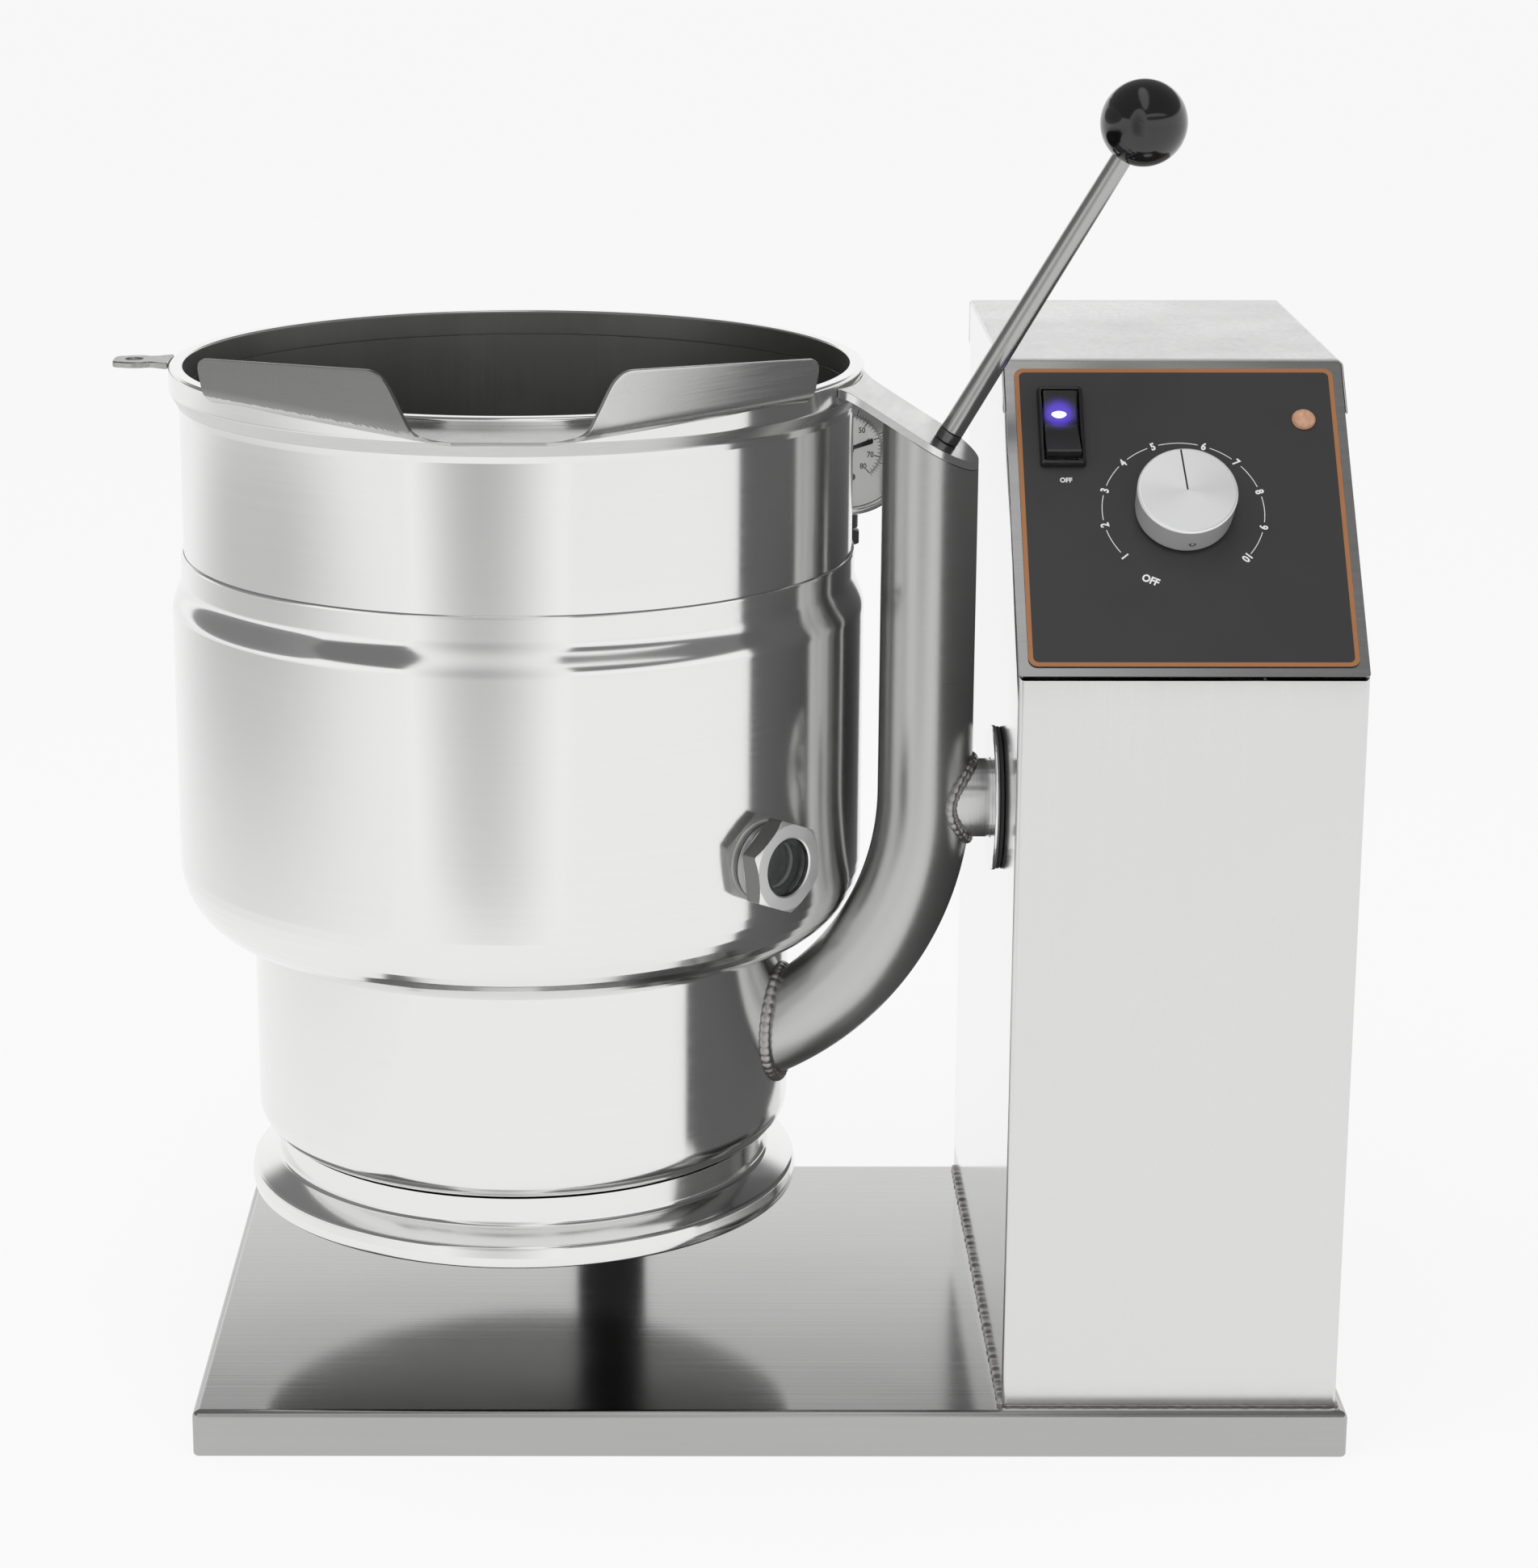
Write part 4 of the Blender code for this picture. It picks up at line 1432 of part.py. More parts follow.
build_bowl(kettle_frame, brushed_steel, polished_steel)
jacket = build_jacket(kettle_frame, polished_steel)
housing, sump_plate = build_housing(kettle_frame, polished_steel, plain_steel)
build_sump_parts(kettle_frame, sump_plate, plain_steel)
build_lip(kettle_frame, polished_steel)
build_lug(kettle_frame, polished_steel)
arm_tube = build_arm(arm_frame, housing, polished_steel)
build_strap(arm_frame, polished_steel)
build_lever(arm_frame, brushed_steel, dark_steel, ball_black)
build_trunnion(tilt_pivot, arm_frame, arm_tube, plain_steel, dark_steel)
build_sight_glass(kettle_frame, jacket, plain_steel, black_rubber, polished_steel, clear_glass)
build_gauge(kettle_frame, polished_steel, dial_white, clear_glass, black_plastic, plain_steel)
build_safety_valve(kettle_frame, brass, plain_steel)
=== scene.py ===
import math

import bmesh
import bpy
import numpy as np
from mathutils.geometry import tessellate_polygon
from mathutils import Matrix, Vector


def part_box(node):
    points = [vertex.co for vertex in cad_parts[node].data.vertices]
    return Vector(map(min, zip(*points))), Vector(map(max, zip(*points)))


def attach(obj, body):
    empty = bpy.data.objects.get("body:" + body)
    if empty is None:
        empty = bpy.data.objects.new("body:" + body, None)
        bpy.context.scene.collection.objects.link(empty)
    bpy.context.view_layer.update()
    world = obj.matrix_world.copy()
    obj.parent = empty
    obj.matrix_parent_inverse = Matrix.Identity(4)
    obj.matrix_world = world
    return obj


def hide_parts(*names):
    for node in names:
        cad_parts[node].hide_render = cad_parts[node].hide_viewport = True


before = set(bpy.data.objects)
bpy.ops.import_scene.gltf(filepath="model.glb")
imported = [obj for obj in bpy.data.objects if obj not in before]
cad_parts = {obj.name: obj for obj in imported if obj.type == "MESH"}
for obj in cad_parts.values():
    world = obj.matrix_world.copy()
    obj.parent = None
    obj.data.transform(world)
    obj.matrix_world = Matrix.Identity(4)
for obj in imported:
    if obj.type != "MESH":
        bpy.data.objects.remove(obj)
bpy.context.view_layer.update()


# The studio: a white floor that runs out of sight under a white surround. Four
# soft lamps and a narrow spot on the gauge light the kettle, and cards that
# only reflections see give the polished steel its grey edges.
def nodes_of(owner):
    """Clear an owner's node tree and return a function that adds a node to it.

    Its arguments name the node's settings and inputs, or number an input as
    in0. An input takes a value, or another node's output to be linked to it.
    What comes back is the output named by out, or else the first one in use.
    """
    owner.use_nodes = True
    tree = owner.node_tree
    tree.nodes.clear()

    def add(kind, out=None, **values):
        node = tree.nodes.new("ShaderNode" + kind)
        for key, value in values.items():
            place = int(key[2:]) if key[2:].isdigit() else key.replace("_", " ")
            if isinstance(place, str) and place not in node.inputs:
                setattr(node, key, value)
            elif isinstance(value, bpy.types.NodeSocket):
                tree.links.new(value, node.inputs[place])
            else:
                node.inputs[place].default_value = value
        return node.outputs[out] if out else next((end for end in node.outputs if end.enabled), None)

    return add


def new_paint(name):
    """A new material, and the function that adds a node to it."""
    paint = bpy.data.materials.new(name)
    return paint, nodes_of(paint)


def seen_directly(add):
    """1 for camera, glossy and transmission rays, and 0 for the rest."""
    rays = [add("LightPath", out=f"Is {kind} Ray") for kind in ("Camera", "Glossy", "Transmission")]
    first = add("Math", operation="MAXIMUM", in0=rays[0], in1=rays[1])
    return add("Math", operation="MAXIMUM", in0=first, in1=rays[2])


def in_scene(name, data):
    """A named object that holds the data, in the scene."""
    thing = bpy.data.objects.new(name, data)
    bpy.context.collection.objects.link(thing)
    return thing


def new_piece(name, points, faces):
    """A named mesh of points and faces, in the scene."""
    mesh = bpy.data.meshes.new(name)
    mesh.from_pydata(np.asarray(points).tolist(), [], faces)
    return in_scene(name, mesh)


def circle(count):
    """Evenly spaced angles of a full turn."""
    return np.linspace(0.0, math.tau, count + 1)[:-1]


SURROUND_LIGHT = 0.62
WHITE = (1.0, 1.0, 1.0, 1.0)
world = bpy.data.worlds.new("studio_surround")
bpy.context.scene.world = world
add = nodes_of(world)
level = add("MapRange", Value=seen_directly(add), To_Min=SURROUND_LIGHT, To_Max=1.0)
add("OutputWorld", Surface=add("Background", Color=WHITE, Strength=level))

FLOOR_RADIUS = 14.0
FLOOR_GLOW = 0.86
turn = circle(64)
disc = np.stack((np.cos(turn), np.sin(turn), np.zeros_like(turn)), -1) * FLOOR_RADIUS
floor = new_piece("studio_floor", disc, [list(range(len(turn)))])
floor_paint, add = new_paint("floor_paint")
lit = add("BsdfDiffuse", Color=(0.86, 0.86, 0.86, 1.0))
glow = add("Emission", Color=WHITE, Strength=1.0)
share = add("Math", operation="MULTIPLY", in0=seen_directly(add), in1=FLOOR_GLOW)
add("OutputMaterial", Surface=add("MixShader", in0=share, in1=lit, in2=glow))
floor.data.materials.append(floor_paint)


def hung(name, lamp, place, aim):
    """Hang a lamp at a place, turned to an aim and unseen in reflections."""
    holder = in_scene(name, lamp)
    holder.location = place
    holder.rotation_euler = (Vector(aim) - Vector(place)).to_track_quat("-Z", "Y").to_euler()
    holder.visible_glossy = False


def soft_lamp(name, place, width, height, radiance):
    """A rectangular lamp of even radiance, turned to the kettle's middle."""
    lamp = bpy.data.lights.new(name, "AREA")
    lamp.shape = "RECTANGLE"
    lamp.size = width
    lamp.size_y = height
    lamp.energy = radiance * math.pi * width * height
    hung(name, lamp, place, (0.0, 0.0, 0.35))


soft_lamp("lamp_above", (-0.4, -0.6, 2.6), 2.4, 1.8, 0.95)
soft_lamp("lamp_left", (-2.6, -1.5, 1.5), 1.6, 2.0, 0.85)
soft_lamp("lamp_right", (2.4, -1.9, 1.2), 1.2, 1.8, 0.45)
soft_lamp("lamp_front", (0.10, -2.30, 1.15), 0.9, 0.6, 3.0)
gauge_low, gauge_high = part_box("gauge_dial")
spot = bpy.data.lights.new("spot_gauge", "SPOT")
spot.energy = 75.0
spot.spot_size = math.radians(3.2)
spot.spot_blend = 0.6
spot.shadow_soft_size = 0.02
hung("spot_gauge", spot, (-0.02, -2.10, 0.99), ((np.array(gauge_low) + np.array(gauge_high)) / 2).tolist())


def card_paint(name, middle, edge, size, one_sided=False):
    """Emission that runs smoothly from a level in a card's middle to another at its edge.

    The distance is d = sqrt((x/a)^2 + (y/b)^2) in the card's own plane, read
    from its UV map, which holds x/a and y/b.
    """
    paint, add = new_paint(name)
    away = add("VectorMath", operation="LENGTH", in0=add("TexCoord", out="UV"))
    level = add("MapRange", interpolation_type="SMOOTHSTEP", Value=away, From_Min=size, From_Max=1.0,
                To_Min=middle, To_Max=edge)
    if one_sided:
        unlit = add("NewGeometry", out="Backfacing")
    else:
        unlit = add("Math", operation="GREATER_THAN", in0=away, in1=1.0)
    light, clear = add("Emission", Strength=level), add("BsdfTransparent")
    add("OutputMaterial", Surface=add("MixShader", in0=unlit, in1=light, in2=clear))
    return paint


def reflected_card(name, centre, across, up, paint):
    """A card seen only in reflections. Its half sides are the vectors across and up."""
    sides = np.array(((-1.0, -1.0), (1.0, -1.0), (1.0, 1.0), (-1.0, 1.0)))
    card = new_piece(name, np.array(centre) + sides @ np.array((across, up)), [[0, 1, 2, 3]])
    card.data.uv_layers.new(name="UVMap").data.foreach_set("uv", sides.ravel())
    card.data.materials.append(paint)
    card.visible_camera = False
    card.visible_diffuse = False
    card.visible_transmission = False
    card.visible_shadow = False


reflected_card("card_ceiling", (0.0, -1.6, 2.6), (8.5, 0.0, 0.0), (0.0, 8.5, 0.0),
               card_paint("ceiling_grey", 0.20, 1.0, 0.76))
reflected_card("card_front_softbox", (0.85, -2.52, 1.88), (2.15, 0.82, 0.0), (0.08, -0.21, 0.32),
               card_paint("front_softbox_white", 1.0, 0.3, 0.80))
reflected_card("card_left_floor", (-2.7, 0.2, 0.004), (2.1, 0.0, 0.0), (0.0, 2.4, 0.0),
               card_paint("left_floor_grey", 0.60, 0.95, 0.2))
reflected_card("card_left", (-3.2, 1.2, 1.45), (0.0, -2.6, 0.0), (0.0, 0.0, 0.95),
               card_paint("left_grey", 0.24, 0.30, 0.45))
reflected_card("card_behind", (-0.0713, 0.245, 0.24), (0.0225, 0.0, 0.0), (0.0, 0.0, 0.235),
               card_paint("behind_dark", 0.02, 0.02, 0.20, one_sided=True))
reflected_card("card_softbox", (0.10, -0.90, 2.5), (0.36, 0.0, 0.0), (0.0, 1.50, 0.0),
               card_paint("softbox_white", 1.0, 0.6, 0.70))
reflected_card("card_camera_side", (-0.32, -1.20, 0.60), (0.60, 0.0, 0.0), (0.0, 0.0, 1.2),
               card_paint("camera_side_grey", 0.50, 1.0, 0.05))
# A dark card over the console's side, seen only in reflections, is painted shade for the narrow gap beside the kettle.
reflected_card("card_console_side", (0.1535, 0.0290, 0.3490), (0.0, -0.1905, 0.0), (0.0, 0.0, 0.2490),
               card_paint("console_side_painted_shade", 0.03, 0.12, 0.10, one_sided=True))

CAMERA_PITCH_DOWN = 0.2646
CAMERA_YAW = 0.0021
FOCAL_SHARE = 4873.634 / 1941.0
camera_data = bpy.data.cameras.new("camera")
camera_data.sensor_width = 36.0
camera_data.lens = camera_data.sensor_width * FOCAL_SHARE
camera_data.shift_x = 0.0708
camera = in_scene("camera", camera_data)
camera.location = (-0.03486, -2.21293, 0.94651)
camera.rotation_euler = (math.pi / 2 - CAMERA_PITCH_DOWN, 0.0, CAMERA_YAW)
bpy.context.scene.camera = camera
bpy.context.scene.view_settings.view_transform = "Standard"


# The kettle's liner: the deep-drawn bowl that holds the food. It is stainless
# steel, ground with vertical strokes inside and polished outside, and the rim
# bar is welded round its top.
SUPPORT = 0.0006


def rounded(points, radii, steps=6):
    """A path of (a, b) points with an arc of its own radius at each corner between the ends."""
    points = np.asarray(points, float)
    path = [points[:1]]
    for index, radius in enumerate(radii, 1):
        corner = points[index]
        back, on = points[index - 1] - corner, points[index + 1] - corner
        back, on = back / np.linalg.norm(back), on / np.linalg.norm(on)
        half = math.acos(np.clip(back @ on, -1.0, 1.0)) / 2
        if radius <= 0.0 or half > math.pi / 2 - 0.01:
            path.append(corner[None])
            continue
        middle = (back + on) / np.linalg.norm(back + on)
        centre = corner + middle * radius / math.sin(half)
        start, end = corner + back * radius / math.tan(half), corner + on * radius / math.tan(half)
        first = math.atan2(*(start - centre)[::-1])
        sweep = (math.atan2(*(end - centre)[::-1]) - first + math.pi) % math.tau - math.pi
        turns = first + sweep * np.linspace(0.0, 1.0, steps + 1)
        path.append(centre + radius * np.stack((np.cos(turns), np.sin(turns)), -1))
    path.append(points[-1:])
    path = np.concatenate(path)
    span = np.diff(path, axis=0)
    length = np.linalg.norm(span, axis=1)
    near = np.where(length > 8 * SUPPORT, SUPPORT / np.maximum(length, SUPPORT), 0.0)[:, None]
    held = np.stack((path[:-1], path[:-1] + span * near, path[1:] - span * near), 1)
    kept = np.ones(held.shape[:2], bool)
    kept[near[:, 0] == 0.0, 1:] = False
    return np.concatenate((held[kept], path[-1:]))


UPRIGHT = np.eye(3)


def revolve(profile, centre, axes=UPRIGHT, steps=96):
    """Grid of a profile of (radius r, height h) turned once: centre + r (cos t X + sin t Y) + h Z."""
    profile = np.asarray(profile, float)
    t = circle(steps)
    r, h = profile[:, 0, None, None], profile[:, 1, None, None]
    around = np.cos(t)[None, :, None] * axes[:, 0] + np.sin(t)[None, :, None] * axes[:, 1]
    return np.asarray(centre, float) + r * around + h * axes[:, 2]


def surface(name, grids, around=True, closed=False, faces_out=True, merge=0.000002, smooth_deg=35.0):
    """A mesh over grids of points: each face joins four neighbours of a grid.

    around closes each row on itself, closed joins the last row to the first.
    """
    points, quads, count = [], [], 0
    for grid in grids if isinstance(grids, list) else [grids]:
        rows, columns = grid.shape[:2]
        number = np.arange(rows * columns).reshape(rows, columns) + count
        if around:
            number = np.concatenate((number, number[:, :1]), 1)
        if closed:
            number = np.concatenate((number, number[:1]), 0)
        corners = (number[:-1, :-1], number[:-1, 1:], number[1:, 1:], number[1:, :-1])
        quads.append(np.stack(corners, -1).reshape(-1, 4))
        points.append(grid.reshape(-1, 3))
        count += rows * columns
    piece = new_piece(name, np.concatenate(points), np.concatenate(quads).tolist())
    return tidy(piece, merge, faces_out, smooth_deg)


def tidy(piece, merge=0.000002, faces_out=True, smooth_deg=35.0):
    """Merge doubles, turn the faces outwards and shade smooth up to an angle."""
    work = bmesh.new()
    work.from_mesh(piece.data)
    bmesh.ops.remove_doubles(work, verts=work.verts, dist=merge)
    bmesh.ops.dissolve_degenerate(work, edges=work.edges, dist=merge / 4)
    if faces_out:
        bmesh.ops.recalc_face_normals(work, faces=work.faces)
    work.to_mesh(piece.data)
    work.free()
    piece.data.shade_smooth()
    piece.data.set_sharp_from_angle(angle=math.radians(smooth_deg))
    return piece


def bevelled(piece, width, segments=3, angle_deg=40.0):
    """Round a piece's sharp edges with a Bevel modifier."""
    rounding = piece.modifiers.new("edges", "BEVEL")
    rounding.width = width
    rounding.segments = segments
    rounding.limit_method = "ANGLE"
    rounding.angle_limit = math.radians(angle_deg)
    return piece


def dressed(piece, paint, body, slot, *stands_for):
    """Give a piece its material, the body it rides on and the nodes it stands for."""
    piece.data.materials.clear()
    piece.data.materials.append(paint)
    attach(piece, body)
    if stands_for:
        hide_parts(*stands_for)
    return piece


def lighter(colour, share):
    """A colour with a share more light in it, or less for a share below 0, as a socket takes it."""
    return (*(min(channel * (1.0 + share), 1.0) for channel in colour), 1.0)


def steel(name, colour, roughness, grain, groove=0.15, waves=0.0, cloud=0.05, spread=0.06):
    """Bare steel. Noise stretched by the scales in grain gives its grinding lines.

    groove is how strongly the lines stand out, waves the same for slow
    unevenness of the sheet, and cloud and spread how far colour and
    roughness wander.
    """
    paint, add = new_paint(name)
    place = add("TexCoord", out="Object")
    lines = add("TexNoise", Vector=add("Mapping", Vector=place, Scale=grain), Scale=1.0, Detail=4.0, Roughness=0.65)
    patches = add("TexNoise", Vector=place, Scale=9.0, Detail=3.0, Roughness=0.55)
    half = add("Math", operation="MULTIPLY", in0=patches, in1=0.5)
    blend = add("Math", operation="MULTIPLY_ADD", in0=lines, in1=0.5, in2=half)
    tone = add("Mix", data_type="RGBA", in0=blend, in6=lighter(colour, -cloud), in7=lighter(colour, cloud))
    rough = add("MapRange", Value=blend, From_Min=0.3, From_Max=0.7, To_Min=roughness - spread,
                To_Max=roughness + spread)
    relief = {"Strength": groove, "Distance": 0.0002, "Height": lines}
    if waves > 0.0:
        slow = add("TexNoise", Vector=place, Scale=11.0, Detail=1.0)
        relief["Normal"] = add("Bump", Strength=waves, Distance=0.002, Height=slow)
    add("OutputMaterial", Surface=add("BsdfPrincipled", Metallic=1.0, Base_Color=tone, Roughness=rough,
                                      Normal=add("Bump", **relief)))
    return paint


rim_low, rim_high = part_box("rim_bar")
base_low, base_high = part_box("base_plate")
KETTLE = np.array(((rim_low.x + rim_high.x) / 2, (rim_low.y + rim_high.y) / 2, base_high.z))
RIM_OUTER = (rim_high.x - rim_low.x) / 2
RIM_TOP = rim_high.z - base_high.z
LINER_INNER = 0.1885
LINER_WALL = 0.0026
LINER_KNUCKLE_HEIGHT = 0.3050
LINER_KNUCKLE = 0.060
LINER_CROWN = 0.350


def dish(radius, knuckle, crown, rise=LINER_KNUCKLE_HEIGHT, steps=14):
    """Profile of a dished end: a knuckle arc, then a wide crown arc down to the axis."""
    lean = math.asin((radius - knuckle) / (crown - knuckle))
    low = rise + (crown - knuckle) * math.cos(lean)
    first = np.linspace(0.0, lean - math.pi / 2, steps)
    second = np.linspace(lean - math.pi / 2, -math.pi / 2, steps)[1:]
    side = np.stack((radius - knuckle + knuckle * np.cos(first), rise + knuckle * np.sin(first)), -1)
    floor_arc = np.stack((crown * np.cos(second), low + crown * np.sin(second)), -1)
    return np.concatenate((side, floor_arc))


def face_points(piece, what):
    """Each face's center or normal, as one array."""
    values = np.empty(len(piece.data.polygons) * 3)
    piece.data.polygons.foreach_get(what, values)
    return values.reshape(-1, 3)


def second_finish(piece, paint, chosen):
    """Give the chosen faces of a piece another material than the rest."""
    piece.data.materials.append(paint)
    slots = np.empty(len(piece.data.polygons), np.int32)
    piece.data.polygons.foreach_get("material_index", slots)
    slots[chosen] = len(piece.data.materials) - 1
    piece.data.polygons.foreach_set("material_index", slots)


liner_top = RIM_TOP - 0.0148
inner_side = dish(LINER_INNER, LINER_KNUCKLE, LINER_CROWN)
outer_side = dish(LINER_INNER + LINER_WALL, LINER_KNUCKLE + LINER_WALL, LINER_CROWN + LINER_WALL)
walls = [(LINER_INNER + LINER_WALL, liner_top), (LINER_INNER, liner_top)]
profile = np.concatenate((outer_side[::-1], walls, inner_side))
profile[0, 0] = 0.0
profile[-1, 0] = 0.0
liner_steel = steel("liner_steel", (0.40, 0.40, 0.395), 0.34, (900.0, 900.0, 7.0), groove=0.20, cloud=0.12)
liner = surface("kettle_liner_sheet", revolve(profile, KETTLE, steps=160))
dressed(liner, liner_steel, "kettle", "brushed_stainless", "kettle_liner")
polished_steel = steel("polished_steel", (0.84, 0.84, 0.835), 0.13, (3.0, 3.0, 420.0), groove=0.03, waves=0.08,
                       cloud=0.03, spread=0.03)
from_axis = np.hypot(*(face_points(liner, "center") - KETTLE)[:, :2].T)
second_finish(liner, polished_steel, from_axis > LINER_INNER + LINER_WALL * 0.8)

# The rim bar: a flat stainless bar rolled to a ring and welded on the liner,
# its weld ground to a fillet below and its top edges polished round.
RIM_HEIGHT = 0.0145
rim_path = [(LINER_INNER, RIM_TOP - RIM_HEIGHT), (LINER_INNER, RIM_TOP), (RIM_OUTER, RIM_TOP),
            (RIM_OUTER, RIM_TOP - RIM_HEIGHT + 0.0012), (RIM_OUTER - 0.0044, RIM_TOP - RIM_HEIGHT - 0.0065),
            (RIM_OUTER - 0.0053, RIM_TOP - RIM_HEIGHT - 0.0105)]


def turned(name, path, radii, centre, axes, paint, body, slot, *nodes, steps=6, sides=96, ring=False):
    """A piece turned from a path of (radius, height) corners, each rounded by its own radius."""
    grid = revolve(rounded(path, radii, steps), centre, axes, sides)
    return dressed(surface(name, grid, closed=ring), paint, body, slot, *nodes)


def ring_section(inner, outer, low, high):
    """The corners of a flat ring's section as (radius, height)."""
    return [(inner, low), (outer, low), (outer, high), (inner, high)]


rim = turned("rim_bar_ring", rim_path, [0.0010, 0.0019, 0.0030, 0.0060], KETTLE, UPRIGHT, polished_steel, "kettle",
             "polished_stainless", "rim_bar", sides=192, ring=True)
from_axis = np.hypot(*(face_points(rim, "center") - KETTLE)[:, :2].T)
second_finish(rim, liner_steel, from_axis < LINER_INNER + 0.0001)
ground_weld = steel("ground_weld", (0.63, 0.63, 0.625), 0.24, (60.0, 60.0, 500.0), groove=0.12, cloud=0.14)
second_finish(rim, ground_weld, (from_axis > LINER_INNER + LINER_WALL) & (face_points(rim, "normal")[:, 2] < -0.30))

# The steam jacket: polished stainless sheet round the liner. Its top band is
# seam welded to the liner, it flares out to the full width below, and a round
# knuckle turns its bottom in to the heater housing.
JACKET_RADIUS = 0.1982
BAND_RADIUS = 0.1927
FLARE_TOP = 0.4480
FLARE_BOTTOM = 0.4285
JACKET_TOP = 0.4610
JACKET_BOTTOM = 0.2390
JACKET_KNUCKLE = 0.0425
HOUSING_RADIUS = 0.1562
JACKET_WALL = 0.0026
top_edge = rounded([(LINER_INNER + LINER_WALL + 0.0002, JACKET_TOP + 0.0005),
                    (BAND_RADIUS - 0.0003, JACKET_TOP + 0.0002), (BAND_RADIUS, JACKET_TOP - 0.0012),
                    (BAND_RADIUS, FLARE_TOP)], [0.0005, 0.0008])
t = np.linspace(0.0, 1.0, 29)
flare = np.stack((BAND_RADIUS + (JACKET_RADIUS - BAND_RADIUS) * (1 - np.cos(math.pi * t)) / 2,
                  FLARE_TOP + (FLARE_BOTTOM - FLARE_TOP) * t), -1)
skirt = rounded([(JACKET_RADIUS, FLARE_BOTTOM), (JACKET_RADIUS, JACKET_BOTTOM),
                 (HOUSING_RADIUS - 0.0025, JACKET_BOTTOM)], [JACKET_KNUCKLE], steps=12)
outside = np.concatenate((top_edge[:-1], flare, skirt[1:]))
inside_path = [(HOUSING_RADIUS - 0.0025, JACKET_BOTTOM + JACKET_WALL),
               (JACKET_RADIUS - JACKET_WALL, JACKET_BOTTOM + JACKET_WALL),
               (JACKET_RADIUS - JACKET_WALL, 0.4315), (LINER_INNER + LINER_WALL + 0.0002, 0.4465)]
inside = rounded(inside_path, [JACKET_KNUCKLE - JACKET_WALL, 0.0], steps=8)
jacket = surface("outer_jacket_sheet", revolve(np.concatenate((outside, inside)), KETTLE, steps=192), closed=True)
dressed(jacket, polished_steel, "kettle", "polished_stainless", "outer_jacket")

# The heater housing: a polished stainless drum welded under the jacket, its
# bottom edge rolled in. The bottom cover is a spun tray with a raised ring
# that closes it from below.
GAP = 0.0003
HOUSING_WALL = 0.0025
HOUSING_BOTTOM = 0.1160
HOUSING_EDGE = 0.0170
housing_outer = rounded([(HOUSING_RADIUS, JACKET_BOTTOM - GAP), (HOUSING_RADIUS, HOUSING_BOTTOM),
                         (0.1322, HOUSING_BOTTOM)], [HOUSING_EDGE], steps=10)
housing_inner = rounded([(0.1322, HOUSING_BOTTOM + HOUSING_WALL),
                         (HOUSING_RADIUS - HOUSING_WALL, HOUSING_BOTTOM + HOUSING_WALL),
                         (HOUSING_RADIUS - HOUSING_WALL, JACKET_BOTTOM - GAP)], [HOUSING_EDGE - HOUSING_WALL],
                        steps=8)
housing = surface("heater_housing_drum", revolve(np.concatenate((housing_outer, housing_inner)), KETTLE,
                                                 steps=160), closed=True)
dressed(housing, polished_steel, "kettle", "polished_stainless", "heater_housing")
cover_path = [(0.0, 0.0820), (0.1425, 0.0820), (0.1425, HOUSING_BOTTOM - GAP), (0.1445, HOUSING_BOTTOM - GAP),
              (0.1445, 0.1000), (0.1606, 0.0925), (0.1616, 0.0860), (0.1610, 0.0800), (0.0, 0.0800)]
cover = turned("bottom_cover_tray", cover_path, [0.0010, 0.0, 0.0, 0.0035, 0.0030, 0.0, 0.0022], KETTLE, UPRIGHT,
               polished_steel, "kettle", "polished_stainless", "bottom_cover", sides=160)
# The cover's underside is painted near black as painted shade, so the base plate mirrors a dark underside.
underside_painted_shade = steel("underside_painted_shade", (0.14, 0.14, 0.138), 0.16, (90.0, 90.0, 90.0), groove=0.05, cloud=0.12)
second_finish(cover, underside_painted_shade, face_points(cover, "normal")[:, 2] < -0.9)


# The pouring lip: one stainless sheet, flat between the wings, let in at the
# rim's top and welded there. Its two sides are bent up into wings that run at
# 45 degrees to the front, and all its edges are rounded by hand.
LIP_SIDE = 0.2010
LIP_REACH = RIM_OUTER + 0.04837
LIP_SHEET = 0.0019
LIP_BEND = 0.0100
LIP_LEAN = math.radians(12.0)
LIP_SLANT = math.tan(math.radians(26.0))
WING_TOP = 0.0340
WING_END_TOP = 0.0240
WING_START = -0.0310
WING_END = 0.1225
FULL_TURN = math.pi / 2 - LIP_LEAN
BEND_OUT = LIP_SIDE - LIP_BEND
BEND_RISE = LIP_BEND * (1 - math.cos(FULL_TURN))
FRONT_LINE = LIP_REACH * math.sqrt(2.0)
RIM_CLEAR = RIM_OUTER + GAP


def sheet_point(sign, along, grown):
    """World points of the lip's underside.

    along runs along a side and grown is the length unrolled from where the
    bend starts: flat before 0, an arc up to its full turn, then straight.
    """
    bend = np.clip(grown / LIP_BEND, 0.0, FULL_TURN)
    past = np.maximum(grown - LIP_BEND * FULL_TURN, 0.0)
    out = BEND_OUT + np.minimum(grown, 0.0) + LIP_BEND * np.sin(bend) + past * math.sin(LIP_LEAN)
    rise = LIP_BEND * (1 - np.cos(bend)) + past * math.cos(LIP_LEAN)
    across = (out - along) * math.sqrt(0.5)
    forward = (out + along) * math.sqrt(0.5)
    height = RIM_TOP - 0.0022 - LIP_SHEET + rise
    return np.stack((sign * across, -forward, height), -1) + KETTLE


